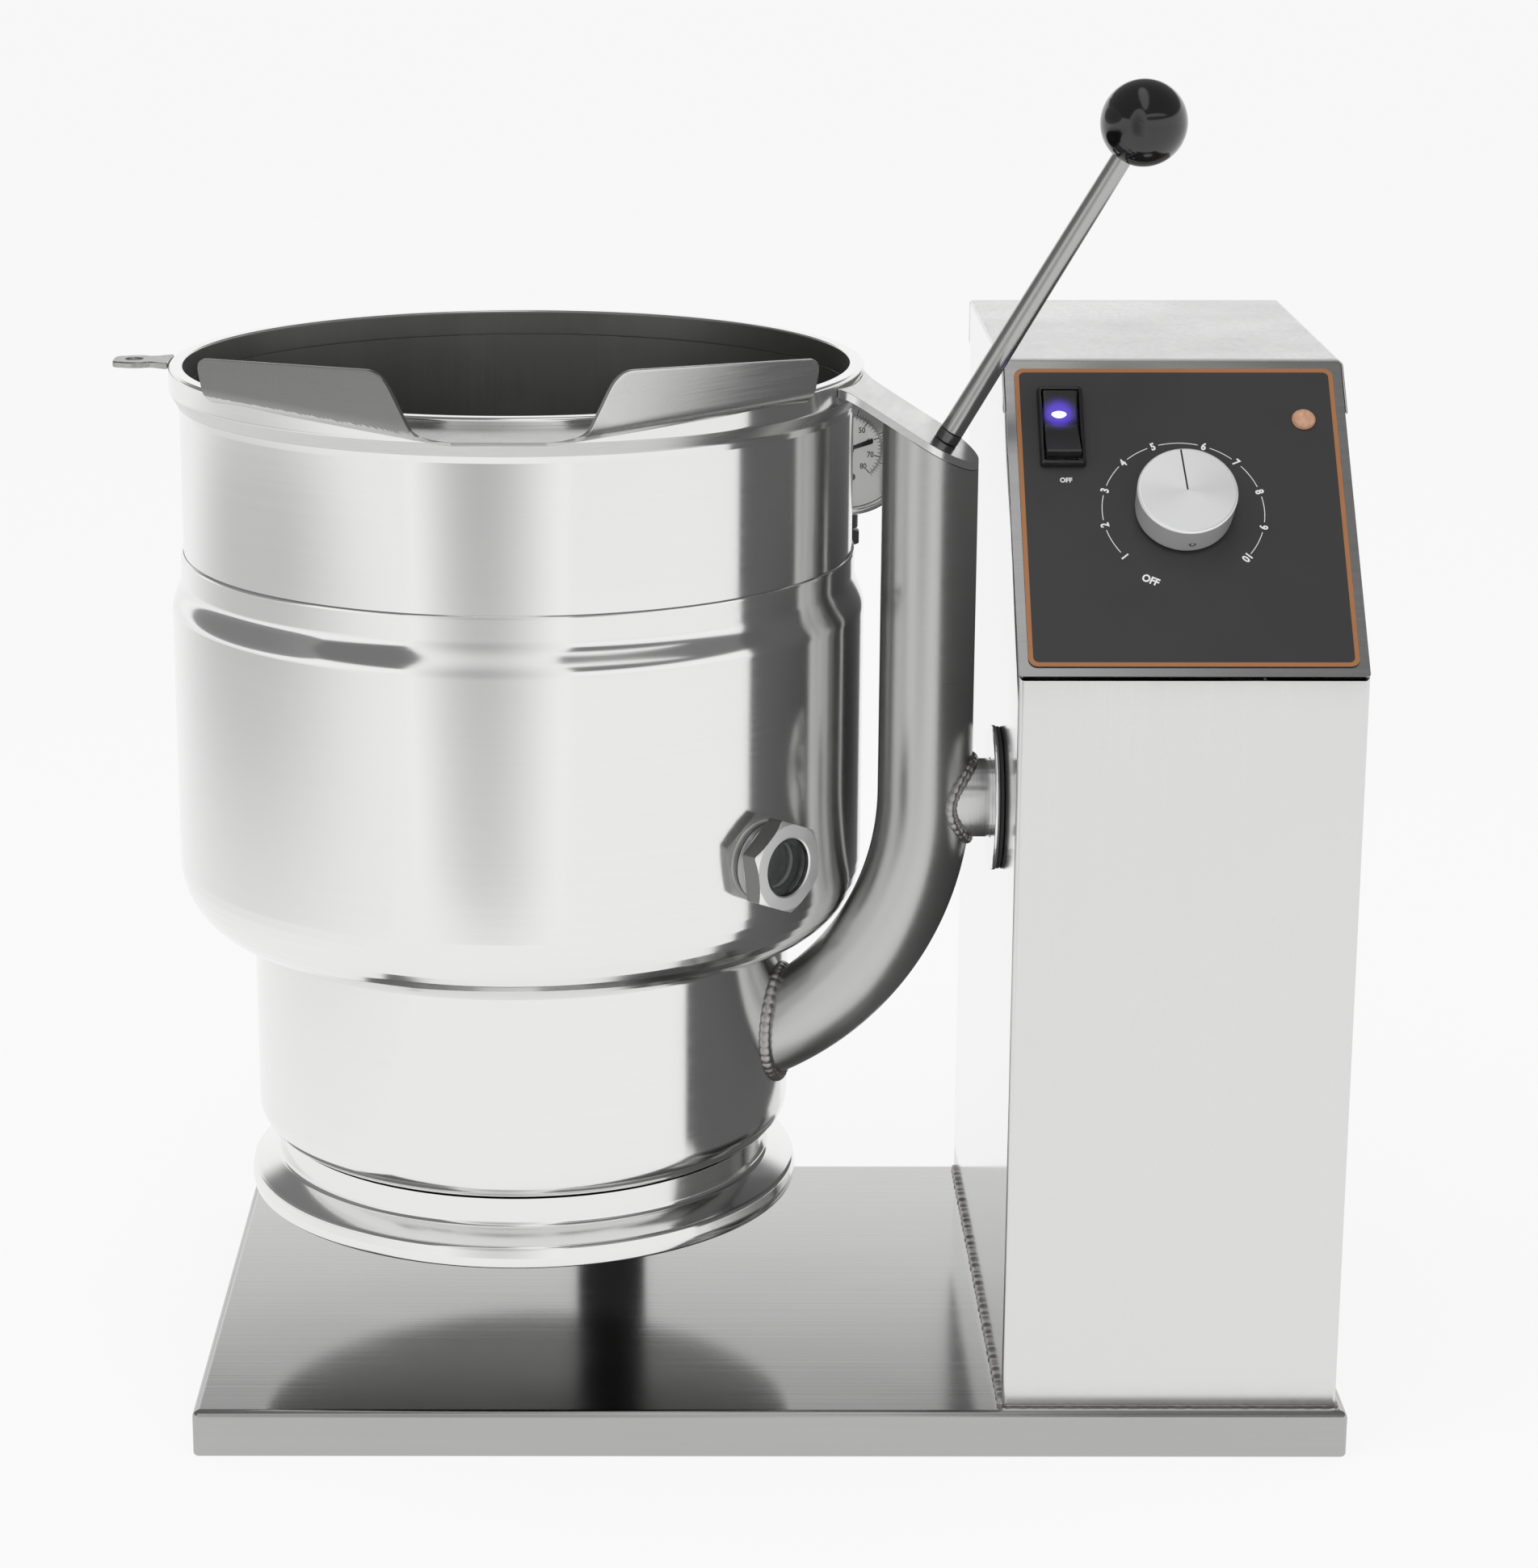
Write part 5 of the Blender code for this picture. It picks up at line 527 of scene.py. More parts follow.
def wing_outline():
    """The sheet's outer edge as (along, grown): up the outer end, along the top, down the slanted end."""
    slope = (WING_TOP - WING_END_TOP) / (0.107 - WING_START)
    low_end = WING_END + (WING_TOP - BEND_RISE) * LIP_SLANT
    corner = (WING_TOP - WING_END_TOP - slope * (WING_END - WING_START)) * LIP_SLANT + WING_END
    heights = np.array((WING_END_TOP, WING_END_TOP + slope * (corner - WING_START), BEND_RISE))
    unrolled = LIP_BEND * FULL_TURN + (heights - BEND_RISE) / math.cos(LIP_LEAN)
    edge = rounded([(WING_START, 0.0), (WING_START, unrolled[0]), (corner, unrolled[1]), (low_end, unrolled[2])],
                   [0.0080, 0.0150], steps=14)
    bend = np.linspace(FULL_TURN, 0.0, 14)[1:]
    blend = np.maximum(1 - bend / (FULL_TURN * 0.75), 0.0) ** 2
    slanted = WING_END + (WING_TOP - LIP_BEND * (1 - np.cos(bend))) * LIP_SLANT
    end = slanted + (FRONT_LINE - BEND_OUT - LIP_BEND * np.sin(bend) - slanted) * blend
    return np.concatenate((edge, np.stack((end, bend * LIP_BEND), -1), [(FRONT_LINE / 2, FRONT_LINE / 2 - BEND_OUT)]))


def thickened(piece, thickness, offset):
    """Give a surface a sheet's thickness: to its outer side for an offset of 1, to its inner for -1."""
    sheet = piece.modifiers.new("sheet", "SOLIDIFY")
    sheet.thickness = thickness
    sheet.offset = offset
    return sheet


outline = wing_outline()
along = np.interp(np.linspace(0.0, 1.0, 132), np.linspace(0.0, 1.0, 5),
                  [WING_START, WING_START + 0.010, WING_END - 0.022, WING_END + 0.018, FRONT_LINE / 2])
away = np.sqrt(np.maximum(RIM_CLEAR ** 2 - along ** 2, 0.0))
away = np.where(along > RIM_CLEAR * math.sqrt(0.5), along, away)
first = np.where(away > BEND_OUT, LIP_BEND * np.arcsin(np.clip((away - BEND_OUT) / LIP_BEND, 0.0, 1.0)),
                 away - BEND_OUT)
last = np.interp(along, outline[:, 0], outline[:, 1])
share = np.linspace(0.0, 1.0, 44)[:, None]
grown = first + (last - first) * share
halves = [sheet_point(sign, np.broadcast_to(along, grown.shape), grown) for sign in (-1, 1)]
lip = surface("pour_lip_sheet", [halves[0], halves[1][:, ::-1]], around=False, merge=0.00002, faces_out=False)
thickened(lip, LIP_SHEET, 1.0).use_even_offset = True
bevelled(lip, 0.0006, 2, 60.0)
brushed_lip = steel("brushed_lip", (0.57, 0.57, 0.565), 0.25, (16.0, 16.0, 900.0), groove=0.06, cloud=0.06)
dressed(lip, brushed_lip, "kettle", "polished_stainless", "pour_lip")
# The wings' outer faces carry painted light: the left wing's is darker as painted shade, the right wing's lighter as a
# painted highlight.
lip_fronts = face_points(lip, "normal")[:, 1] < -0.5
on_the_left = face_points(lip, "center")[:, 0] < KETTLE[0]
upright = face_points(lip, "center")[:, 2] > RIM_TOP + KETTLE[2]
painted_shade_wing = steel("painted_shade_wing", (0.27, 0.27, 0.265), 0.27, (16.0, 16.0, 900.0), groove=0.06, cloud=0.12)
second_finish(lip, painted_shade_wing, lip_fronts & on_the_left & upright)
painted_light_wing = steel("painted_light_wing", (0.72, 0.72, 0.715), 0.25, (16.0, 16.0, 900.0), groove=0.06, cloud=0.08)
second_finish(lip, painted_light_wing, lip_fronts & ~on_the_left & upright)

# The lifting lug: a flat stainless tongue with a hole, welded flush with the
# rim's top at the kettle's left, its root drawn out to the rim in two fillets.
LUG_REACH = 0.0320
LUG_HALF = 0.0110
LUG_HOLE_RADIUS = 0.0050
LUG_THICKNESS = 0.0035
LUG_STEPS = 128
lug_tip = RIM_CLEAR + LUG_REACH - GAP
hole_at = np.array((-lug_tip + 0.0115, 0.0))
root_turn = 0.0200 / RIM_CLEAR
rim_turns = np.linspace(-root_turn, root_turn, 15)
rim_edge = np.stack((-RIM_CLEAR * np.cos(rim_turns), RIM_CLEAR * np.sin(rim_turns)), -1)
side = rounded([rim_edge[-1], (-RIM_OUTER - 0.0055, LUG_HALF), (-lug_tip, LUG_HALF), (-lug_tip, 0.0)],
               [0.0110, 0.0042], steps=10)
loop = np.concatenate((rim_edge, side[1:], (side * (1, -1))[::-1][1:-1]))
bearing = np.arctan2(loop[:, 1] - hole_at[1], loop[:, 0] - hole_at[0])
order = np.argsort(bearing)
reach = np.linalg.norm(loop - hole_at, axis=1)[order]
t = np.linspace(-math.pi, math.pi, LUG_STEPS + 1)[:-1]
reach = np.interp(t, bearing[order], reach, period=math.tau)
heading = np.stack((np.cos(t), np.sin(t)), -1)
rings = []
for ring_share, height in ((0.0, 0.0), (0.5, 0.0), (1.0, 0.0), (1.0, 1.0), (0.5, 1.0), (0.0, 1.0)):
    flat = hole_at + heading * (LUG_HOLE_RADIUS + (reach - LUG_HOLE_RADIUS) * ring_share)[:, None]
    level = np.full(LUG_STEPS, RIM_TOP - LUG_THICKNESS * (1 - height))
    rings.append(np.column_stack((flat, level)) + KETTLE)
lug = surface("lifting_lug_tongue", np.stack(rings), closed=True)
bevelled(lug, 0.0007, 2)
lug_steel = steel("lug_steel", (0.46, 0.46, 0.455), 0.28, (200.0, 200.0, 200.0), groove=0.10, cloud=0.08)
dressed(lug, lug_steel, "kettle", "polished_stainless", "lifting_lug")

# The rim strap: a flat stainless strap that slopes down from the rim, caps the
# support arm and carries the tilt lever. Its root flares where it meets the rim.
ARM_ANGLE = math.asin(0.0610 / 0.2394)
ARM_RADIAL = 0.2394
ARM_RADIUS = 0.02665
STRAP_SLOPE = math.radians(30.5)
STRAP_RIM_HEIGHT = RIM_TOP - 0.0052
STRAP_THICKNESS = 0.0040
ARM_AXES = np.array(((math.cos(ARM_ANGLE), math.sin(ARM_ANGLE), 0.0),
                     (-math.sin(ARM_ANGLE), math.cos(ARM_ANGLE), 0.0), (0.0, 0.0, 1.0)))


def on_arm(points):
    """From the arm's own frame, with x out from the kettle's axis, to the world."""
    return np.asarray(points) @ ARM_AXES.T + KETTLE


root_half = ARM_RADIUS + 0.0080
root_turn = math.asin(root_half / RIM_CLEAR)
rim_turns = np.linspace(-root_turn, root_turn, 25)
rim_edge = np.stack((RIM_CLEAR * np.cos(rim_turns), RIM_CLEAR * np.sin(rim_turns)), -1)
flare = np.linspace(0.0, 1.0, 12)[1:, None]
flare_end = np.array((RIM_OUTER + 0.0120, ARM_RADIUS))
flare_side = rim_edge[-1] * (1 - flare) ** 2 + 2 * flare * (1 - flare) * np.array((RIM_OUTER, ARM_RADIUS)) \
    + flare_end * flare ** 2
cap = np.linspace(math.pi / 2, -math.pi / 2, 41)
cap_edge = np.stack((ARM_RADIAL + ARM_RADIUS * np.cos(cap), ARM_RADIUS * np.sin(cap)), -1)
outline = np.concatenate((rim_edge, flare_side, cap_edge, (flare_side * (1, -1))[::-1]))
upper = STRAP_RIM_HEIGHT - (outline[:, 0] - RIM_OUTER) * math.tan(STRAP_SLOPE)
lower = upper - STRAP_THICKNESS / math.cos(STRAP_SLOPE)


def slab(name, low_ring, high_ring):
    """A closed plate between two rings of points, each capped with one flat face."""
    count = len(low_ring)
    now = np.arange(count)
    after = (now + 1) % count
    sides = np.stack((now, after, after + count, now + count), -1).tolist()
    faces = sides + [now[::-1].tolist(), (now + count).tolist()]
    return tidy(new_piece(name, np.concatenate((low_ring, high_ring)), faces))


strap = slab("rim_strap_plate", on_arm(np.column_stack((outline, lower))), on_arm(np.column_stack((outline, upper))))
bevelled(strap, 0.0011, 3, 50.0)
strap_steel = steel("strap_steel", (0.80, 0.80, 0.795), 0.20, (30.0, 30.0, 260.0), groove=0.10, waves=0.08)
dressed(strap, strap_steel, "kettle", "polished_stainless", "rim_strap")

# The support arm: a bent stainless tube, brushed, that carries the kettle. It
# is coped to the heater housing and welded all round with a rippled bead.
ARM_WALL = 0.0030
ARM_BEND = 0.1700
ARM_BEND_TOP = 0.3312
BEAD = 0.0026
ARM_SIDES = 72


def arm_grid(radius, rows=44):
    """The arm's surface: straight down from the strap, then round the bend to the housing."""
    turn = circle(ARM_SIDES)
    x, y = ARM_RADIAL + radius * np.cos(turn), radius * np.sin(turn)
    low_face = STRAP_RIM_HEIGHT - (x - RIM_OUTER) * math.tan(STRAP_SLOPE) - \
        STRAP_THICKNESS / math.cos(STRAP_SLOPE) - GAP
    t = np.linspace(0.0, 1.0, 12)[:, None]
    straight = np.stack((np.broadcast_to(x, (12, ARM_SIDES)), np.broadcast_to(y, (12, ARM_SIDES)),
                         low_face * (1 - t) + ARM_BEND_TOP * t), -1)
    centre = ARM_RADIAL - ARM_BEND
    reach = x - centre
    stop = np.arccos((np.sqrt((HOUSING_RADIUS + GAP) ** 2 - y * y) - centre) / reach)
    bend = np.linspace(0.0, 1.0, rows)[1:, None] * stop
    curved = np.stack((centre + reach * np.cos(bend), np.broadcast_to(y, bend.shape),
                       ARM_BEND_TOP - reach * np.sin(bend)), -1)
    return on_arm(np.concatenate((straight, curved)))


brushed_tube = steel("brushed_tube", (0.56, 0.56, 0.555), 0.32, (22.0, 22.0, 700.0), groove=0.04, cloud=0.06)
arm = surface("support_arm_tube", np.concatenate((arm_grid(ARM_RADIUS), arm_grid(ARM_RADIUS - ARM_WALL)[::-1])),
              closed=True)


def weld_bead(name, seam, radius, ripples):
    """A bead along a closed seam: a round wire whose radius swells in even ripples."""
    count = len(seam)
    along = np.roll(seam, -1, 0) - np.roll(seam, 1, 0)
    along /= np.linalg.norm(along, axis=1)[:, None]
    outward = seam - seam.mean(0)
    outward -= along * (outward * along).sum(1)[:, None]
    outward /= np.linalg.norm(outward, axis=1)[:, None]
    side = np.cross(along, outward)
    t = circle(12)
    swell = radius * (0.90 + 0.13 * np.abs(np.sin(np.arange(count) * math.pi * ripples / count)))
    ring = np.cos(t)[None, :, None] * outward[:, None] + np.sin(t)[None, :, None] * side[:, None]
    return surface(name, seam[:, None] + ring * swell[:, None, None], closed=True)


t = circle(360)
seam_radius = ARM_RADIUS + BEAD / 4
reach = ARM_BEND + seam_radius * np.cos(t)
level = (np.sqrt((HOUSING_RADIUS + GAP) ** 2 - (seam_radius * np.sin(t)) ** 2) - (ARM_RADIAL - ARM_BEND)) / reach
seam = np.stack((ARM_RADIAL - ARM_BEND + reach * level, seam_radius * np.sin(t),
                 ARM_BEND_TOP - reach * np.sqrt(1 - level ** 2)), -1)
arm_bead = weld_bead("arm_weld_bead", on_arm(seam), BEAD * 1.4, 40)
dressed(arm, brushed_tube, "kettle", "polished_stainless", "support_arm")
weld_steel = steel("weld_steel", (0.44, 0.43, 0.42), 0.33, (120.0, 120.0, 120.0), groove=0.3, cloud=0.18)
dressed(arm_bead, weld_steel, "kettle", "polished_stainless")

# The trunnion: a hollow steel shaft, coped and welded to the arm, that the
# kettle turns on. The stop collar on it and its bearings sit in the console.
PIVOT_HEIGHT = 0.3270
PIVOT = on_arm([(ARM_RADIAL, 0.0, PIVOT_HEIGHT)])[0]
TRUNNION_RADIUS = 0.02225
TRUNNION_BORE = 0.0165
shaft_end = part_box("trunnion_shaft")[1].x


def coped_start(y, z, gap):
    """How far from the pivot a line along x leaves the arm, at (y, z) from the pivot."""
    below = np.maximum(ARM_BEND_TOP - PIVOT_HEIGHT - z, 0.0)
    inward = ARM_BEND - np.sqrt(ARM_BEND ** 2 - below ** 2)
    middle_x, middle_y = -inward * math.cos(ARM_ANGLE), inward * math.sin(ARM_ANGLE)
    return middle_x + np.sqrt((ARM_RADIUS + gap) ** 2 - (y - middle_y) ** 2)


turn = circle(96)
rings = []
for radius, end in ((TRUNNION_BORE, 0.0), (TRUNNION_RADIUS, 0.0), (TRUNNION_RADIUS, 1.0), (TRUNNION_BORE, 1.0)):
    y, z = radius * np.cos(turn), radius * np.sin(turn)
    x = coped_start(y, z, 0.0003) * (1 - end) + (shaft_end - PIVOT[0]) * end
    rings.append(np.stack((x, y, z), -1) + PIVOT)
shaft = surface("trunnion_tube", np.stack(rings), closed=True)
plain_steel = steel("plain_steel", (0.42, 0.42, 0.42), 0.36, (60.0, 300.0, 300.0), groove=0.15, cloud=0.10)
turned_steel = steel("turned_steel", (0.60, 0.60, 0.595), 0.20, (900.0, 12.0, 12.0), groove=0.08, cloud=0.08)
dressed(shaft, turned_steel, "kettle", "plain_steel", "trunnion_shaft")
t = circle(288)
y, z = (TRUNNION_RADIUS + BEAD / 4) * np.cos(t), (TRUNNION_RADIUS + BEAD / 4) * np.sin(t)
shaft_bead = weld_bead("trunnion_weld_bead", np.stack((coped_start(y, z, 0.0), y, z), -1) + PIVOT,
                       BEAD * 1.3, 34)
dressed(shaft_bead, weld_steel, "kettle", "plain_steel")

# The escutcheon: a polished disc round the trunnion on the console's side,
# with a black rubber seal behind it.
disc_low, disc_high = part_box("escutcheon_disc")
seal_low, seal_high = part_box("escutcheon_seal")
SIDE_AXES = np.array(((0.0, 0.0, -1.0), (0.0, 1.0, 0.0), (1.0, 0.0, 0.0)))
disc_radius = (disc_high.z - disc_low.z) / 2
bore = TRUNNION_RADIUS + 0.0006
turned("escutcheon_plate", ring_section(bore, disc_radius, 0.0, disc_high.x - disc_low.x), [0.0002, 0.0009],
       (disc_high.x, PIVOT[1], PIVOT[2]), SIDE_AXES, polished_steel, "stand", "polished_stainless",
       "escutcheon_disc", steps=5, sides=128, ring=True)


def matt(name, colour, roughness, grain_scale, grain=0.2, vary=0.25, coat=0.0, lit_from=None):
    """A moulded or painted surface: fine grain in bump and roughness over a slightly mottled colour.

    Round the point lit_from, violet light spreads through it.
    """
    paint, add = new_paint(name)
    place = add("TexCoord", out="Object")
    fine = add("TexNoise", Vector=place, Scale=grain_scale, Detail=3.0)
    broad = add("TexNoise", Vector=place, Scale=grain_scale / 30.0, Detail=2.0)
    tone = add("Mix", data_type="RGBA", in0=broad, in6=lighter(colour, -vary), in7=lighter(colour, vary))
    rough = add("MapRange", Value=fine, To_Min=max(roughness - 0.08, 0.02), To_Max=roughness + 0.08)
    relief = add("Bump", Strength=grain, Distance=0.0001, Height=fine)
    glow = {}
    if lit_from is not None:
        away = add("VectorMath", operation="DISTANCE", in0=place, in1=tuple(lit_from))
        near = add("MapRange", interpolation_type="SMOOTHERSTEP", Value=away, From_Min=0.0150, From_Max=0.0030,
                   To_Max=0.85)
        glow = {"Emission_Strength": add("Math", operation="POWER", in0=near, in1=2.4),
                "Emission_Color": (0.13, 0.06, 0.90, 1.0)}
    add("OutputMaterial", Surface=add("BsdfPrincipled", Base_Color=tone, Roughness=rough, Normal=relief,
                                      Coat_Weight=coat, Coat_Roughness=0.08, **glow))
    return paint


black_rubber = matt("black_rubber", (0.028, 0.028, 0.028), 0.75, 900.0)
turned("escutcheon_ring", ring_section(bore, disc_radius - 0.0006, 0.0, seal_high.x - seal_low.x), [0.0006, 0.0006],
       (seal_high.x, PIVOT[1], PIVOT[2]), SIDE_AXES, black_rubber, "stand", "black_rubber", "escutcheon_seal",
       steps=5, ring=True)

# The tilt lever: a dark steel collar on the strap, a turned and tapered rod
# screwed through it, and a glossy black ball on the rod's end. The ball was
# moulded in two halves and keeps their parting line.
LEVER_RADIAL = ARM_RADIAL + 0.0085
lever_height = STRAP_RIM_HEIGHT - (LEVER_RADIAL - RIM_OUTER) * math.tan(STRAP_SLOPE)
LEVER_FOOT = on_arm([(LEVER_RADIAL, 0.0, lever_height)])[0]
lean = np.array(((math.cos(STRAP_SLOPE), 0.0, math.sin(STRAP_SLOPE)), (0.0, 1.0, 0.0),
                 (-math.sin(STRAP_SLOPE), 0.0, math.cos(STRAP_SLOPE))))
LEVER_AXES = ARM_AXES @ lean
COLLAR_RADIUS = 0.0067
COLLAR_LENGTH = 0.0062
STUD_RADIUS = 0.0040
ROD_FOOT = 0.00655
ROD_TOP = 0.0056
LEVER_LENGTH = 0.2055
ROD_IN_BALL = 0.0185
BALL_RADIUS = 0.02348
NECK_RADIUS = 0.00825
dark_steel = steel("dark_steel", (0.20, 0.20, 0.20), 0.34, (300.0, 300.0, 300.0), groove=0.15, cloud=0.15)
turned("handle_collar_ring", ring_section(STUD_RADIUS + GAP, COLLAR_RADIUS, 0.0003, COLLAR_LENGTH),
       [0.0004, 0.0005], LEVER_FOOT, LEVER_AXES, dark_steel, "kettle", "dark_steel", "handle_collar",
       steps=4, sides=64, ring=True)
neck_height = LEVER_LENGTH - math.sqrt(BALL_RADIUS ** 2 - NECK_RADIUS ** 2)
rod_end = neck_height + ROD_IN_BALL
rod_steel = steel("rod_steel", (0.46, 0.46, 0.455), 0.24, (220.0, 220.0, 40.0), groove=0.18, cloud=0.08)
turned("handle_rod_bar", [(0.0, 0.0003), (STUD_RADIUS, 0.0003), (STUD_RADIUS, COLLAR_LENGTH + GAP),
                          (ROD_FOOT, COLLAR_LENGTH + GAP), (ROD_TOP, rod_end), (0.0, rod_end)],
       [0.0, 0.0, 0.0005, 0.0006], LEVER_FOOT, LEVER_AXES, rod_steel, "kettle", "brushed_stainless", "handle_rod",
       steps=4, sides=64)
turns = np.linspace(math.pi / 2, -math.pi / 2 + math.asin(NECK_RADIUS / BALL_RADIUS), 90)
parting = 0.00016 * np.exp(-((turns - 0.12) / 0.014) ** 2)
side_radius = BALL_RADIUS - parting
ball_side = np.stack((side_radius * np.cos(turns), LEVER_LENGTH + side_radius * np.sin(turns)), -1)
ball_side[0, 0] = 0.0
inner_bore = [(ROD_TOP + 0.0006, neck_height), (ROD_TOP + 0.0006, rod_end + GAP), (0.0, rod_end + GAP)]
profile = np.concatenate((ball_side, inner_bore))
ball = surface("ball_knob_moulding", revolve(profile, LEVER_FOOT, LEVER_AXES, 128))
ball_black = matt("ball_black", (0.006, 0.006, 0.006), 0.13, 260.0, grain=0.03, vary=0.15, coat=0.6)
dressed(ball, ball_black, "kettle", "ball_plastic", "ball_knob")

# The sight glass: a round boss welded on the jacket, a black gasket, and a
# hexagon nut with turned corners that holds a round window over the bore.
SIGHT_ANGLE = math.radians(45.0)
SIGHT_HEIGHT = 0.3120
SIGHT_BORE = 0.0130
SIGHT_BOSS_RADIUS = 0.0210
SIGHT_REACH = 0.0032
GASKET_RADIUS = 0.0225
GASKET_THICKNESS = 0.0020
NUT_FLATS = 0.0472
NUT_THICKNESS = 0.0110
NUT_TURN = math.radians(8.0)
WINDOW_RADIUS = 0.0163
out_way = np.array((math.sin(SIGHT_ANGLE), -math.cos(SIGHT_ANGLE), 0.0))
SIGHT_AXES = np.stack((np.array((math.cos(SIGHT_ANGLE), math.sin(SIGHT_ANGLE), 0.0)), UPRIGHT[2], out_way), 1)
SIGHT_AT = KETTLE + UPRIGHT[2] * SIGHT_HEIGHT


def hex_reach(turns, flats):
    """Distance from the middle of a hexagon to its edge, in each direction."""
    return flats / 2 / np.cos((turns + math.pi / 6) % (math.pi / 3) - math.pi / 6)


def on_plane(flat, level, centre, axes):
    """World points of (x, y) points at a level over a plane: centre + x X + y Y + h Z."""
    flat = np.asarray(flat, float)
    return centre + np.column_stack((flat, np.full(len(flat), level))) @ axes.T


def ring_at(centre, axes, radius, level, turns):
    """World points round an axis. Radius and level may change from point to point."""
    return on_plane(np.stack((radius * np.cos(turns), radius * np.sin(turns)), -1), level, centre, axes)


def hex_nut(name, centre, axes, flats, low, high, bore, chamfer, turned_by=0.0, both=False, rim=0.0):
    """A hexagon nut: its side follows the hexagon, cut back by a 30 degree cone at its ends."""
    turns = circle(192)
    reach = hex_reach(turns - turned_by, flats)
    tip = flats / math.sqrt(3.0) - chamfer * 1.6
    loops = [(bore, low)]
    for level in np.concatenate((low + np.linspace(0.0, chamfer, 7), high - np.linspace(chamfer, 0.0, 9))):
        depth = min(high - level, level - low) if both else high - level
        loops.append((np.minimum(reach, tip + depth * 1.75), level))
    loops += [(bore + rim, high), (bore, high - rim)]
    grid = np.stack([ring_at(centre, axes, radius, level, turns) for radius, level in loops])
    return surface(name, grid, closed=True, smooth_deg=16.0)


def coped_rings(centre, axes, steps, turns):
    """Rings of (radius, level over the jacket) round an axis out of it. With no level they lie on its curve."""
    rings = []
    for radius, level in steps:
        curve = np.sqrt((JACKET_RADIUS + GAP) ** 2 - (radius * np.cos(turns)) ** 2)
        rings.append(ring_at(centre, axes, radius, curve if level is None else JACKET_RADIUS + level, turns))
    return np.stack(rings)


boss_steps = [(SIGHT_BORE, None), (SIGHT_BOSS_RADIUS + 0.0012, None), (SIGHT_BOSS_RADIUS, 0.0014),
              (SIGHT_BOSS_RADIUS, SIGHT_REACH - 0.0004), (SIGHT_BOSS_RADIUS - 0.0004, SIGHT_REACH),
              (SIGHT_BORE, SIGHT_REACH)]
boss = surface("sight_boss_ring", coped_rings(SIGHT_AT, SIGHT_AXES, boss_steps, circle(96)), closed=True)
dressed(boss, plain_steel, "kettle", "plain_steel", "sight_boss")
gasket_low = JACKET_RADIUS + SIGHT_REACH + GAP
gasket_top = gasket_low + GASKET_THICKNESS
gasket_white = matt("gasket_white", (0.74, 0.74, 0.72), 0.45, 700.0, grain=0.08, vary=0.04)
turned("sight_gasket_ring", ring_section(SIGHT_BORE, GASKET_RADIUS, gasket_low, gasket_top), [0.0010, 0.0010],
       SIGHT_AT, SIGHT_AXES, gasket_white, "kettle", "silicone_gasket", "sight_gasket", steps=5, ring=True)
nut_low = gasket_top + GAP
nut_top = nut_low + NUT_THICKNESS
window_top = nut_top - 0.0030
nut = hex_nut("sight_nut_ring", SIGHT_AT, SIGHT_AXES, NUT_FLATS, nut_low, nut_top, WINDOW_RADIUS, 0.0020, NUT_TURN,
              rim=0.0008)
nut_steel = steel("nut_steel", (0.90, 0.90, 0.895), 0.44, (90.0, 90.0, 90.0), groove=0.20, cloud=0.06)
dressed(nut, nut_steel, "kettle", "polished_stainless", "sight_nut")
milled_steel = steel("milled_steel", (0.24, 0.24, 0.235), 0.30, (300.0, 300.0, 60.0), groove=0.20, cloud=0.14)
second_finish(nut, milled_steel, np.abs(face_points(nut, "normal") @ out_way) < 0.25)
turned("sight_nut_seat", ring_section(SIGHT_BORE, WINDOW_RADIUS - 0.0001, nut_low, window_top - 0.0032), [0.0, 0.0],
       SIGHT_AT, SIGHT_AXES, black_rubber, "kettle", "black_rubber", steps=2, ring=True)
# A dark disc at the bore's end is painted shade, standing in for the jacket's dark inside seen through the window.
bore_painted_shade = matt("bore_painted_shade", (0.045, 0.045, 0.045), 0.30, 600.0, grain=0.30, vary=0.60, coat=0.3)
turned("sight_bore_end", ring_section(0.0, SIGHT_BORE - GAP, JACKET_RADIUS + 0.0005, JACKET_RADIUS + 0.0015),
       [0.0, 0.0003], SIGHT_AT, SIGHT_AXES, bore_painted_shade, "kettle", "dark_steel", steps=3, sides=64)


def smeared(add, least, most):
    """Roughness that wanders between two levels, as on glass wiped by hand."""
    smear = add("TexNoise", Vector=add("TexCoord", out="Object"), Scale=60.0, Detail=2.0)
    return add("MapRange", Value=smear, To_Min=least, To_Max=most)


def glass(name, colour, roughness):
    """Clear or tinted glass, its surface faintly uneven."""
    paint, add = new_paint(name)
    add("OutputMaterial", Surface=add("BsdfPrincipled", IOR=1.48, Transmission_Weight=1.0, Base_Color=(*colour, 1.0),
                                      Roughness=smeared(add, roughness * 0.5, roughness * 1.5)))
    return paint


clear_glass = glass("clear_glass", (0.80, 0.82, 0.82), 0.10)
turned("sight_window_glass", ring_section(0.0, WINDOW_RADIUS - GAP, window_top - 0.0030, window_top),
       [0.0003, 0.0006], SIGHT_AT, SIGHT_AXES, clear_glass, "kettle", "clear_glass", "sight_window", steps=4)

# The pressure gauge: a round stainless case with a rolled bezel, a white dial
# printed with a black scale from 0 to 80, a black needle on its pin, a flat
# window, and a socket below that takes the siphon pipe.
GAUGE_AWAY = 0.2373
GAUGE_TURN = math.radians(35.0)
GAUGE_HEIGHT = 0.4925
GAUGE_RADIUS = 0.0395
GAUGE_HALF = 0.0130
DIAL_RADIUS = GAUGE_RADIUS - 0.0035
GAUGE_AT = KETTLE + (GAUGE_AWAY * math.cos(GAUGE_TURN), GAUGE_AWAY * math.sin(GAUGE_TURN), GAUGE_HEIGHT)
GAUGE_AXES = np.array(((1.0, 0.0, 0.0), (0.0, 0.0, -1.0), (0.0, 1.0, 0.0)))
DIAL_TOP = GAUGE_HALF - 0.0085
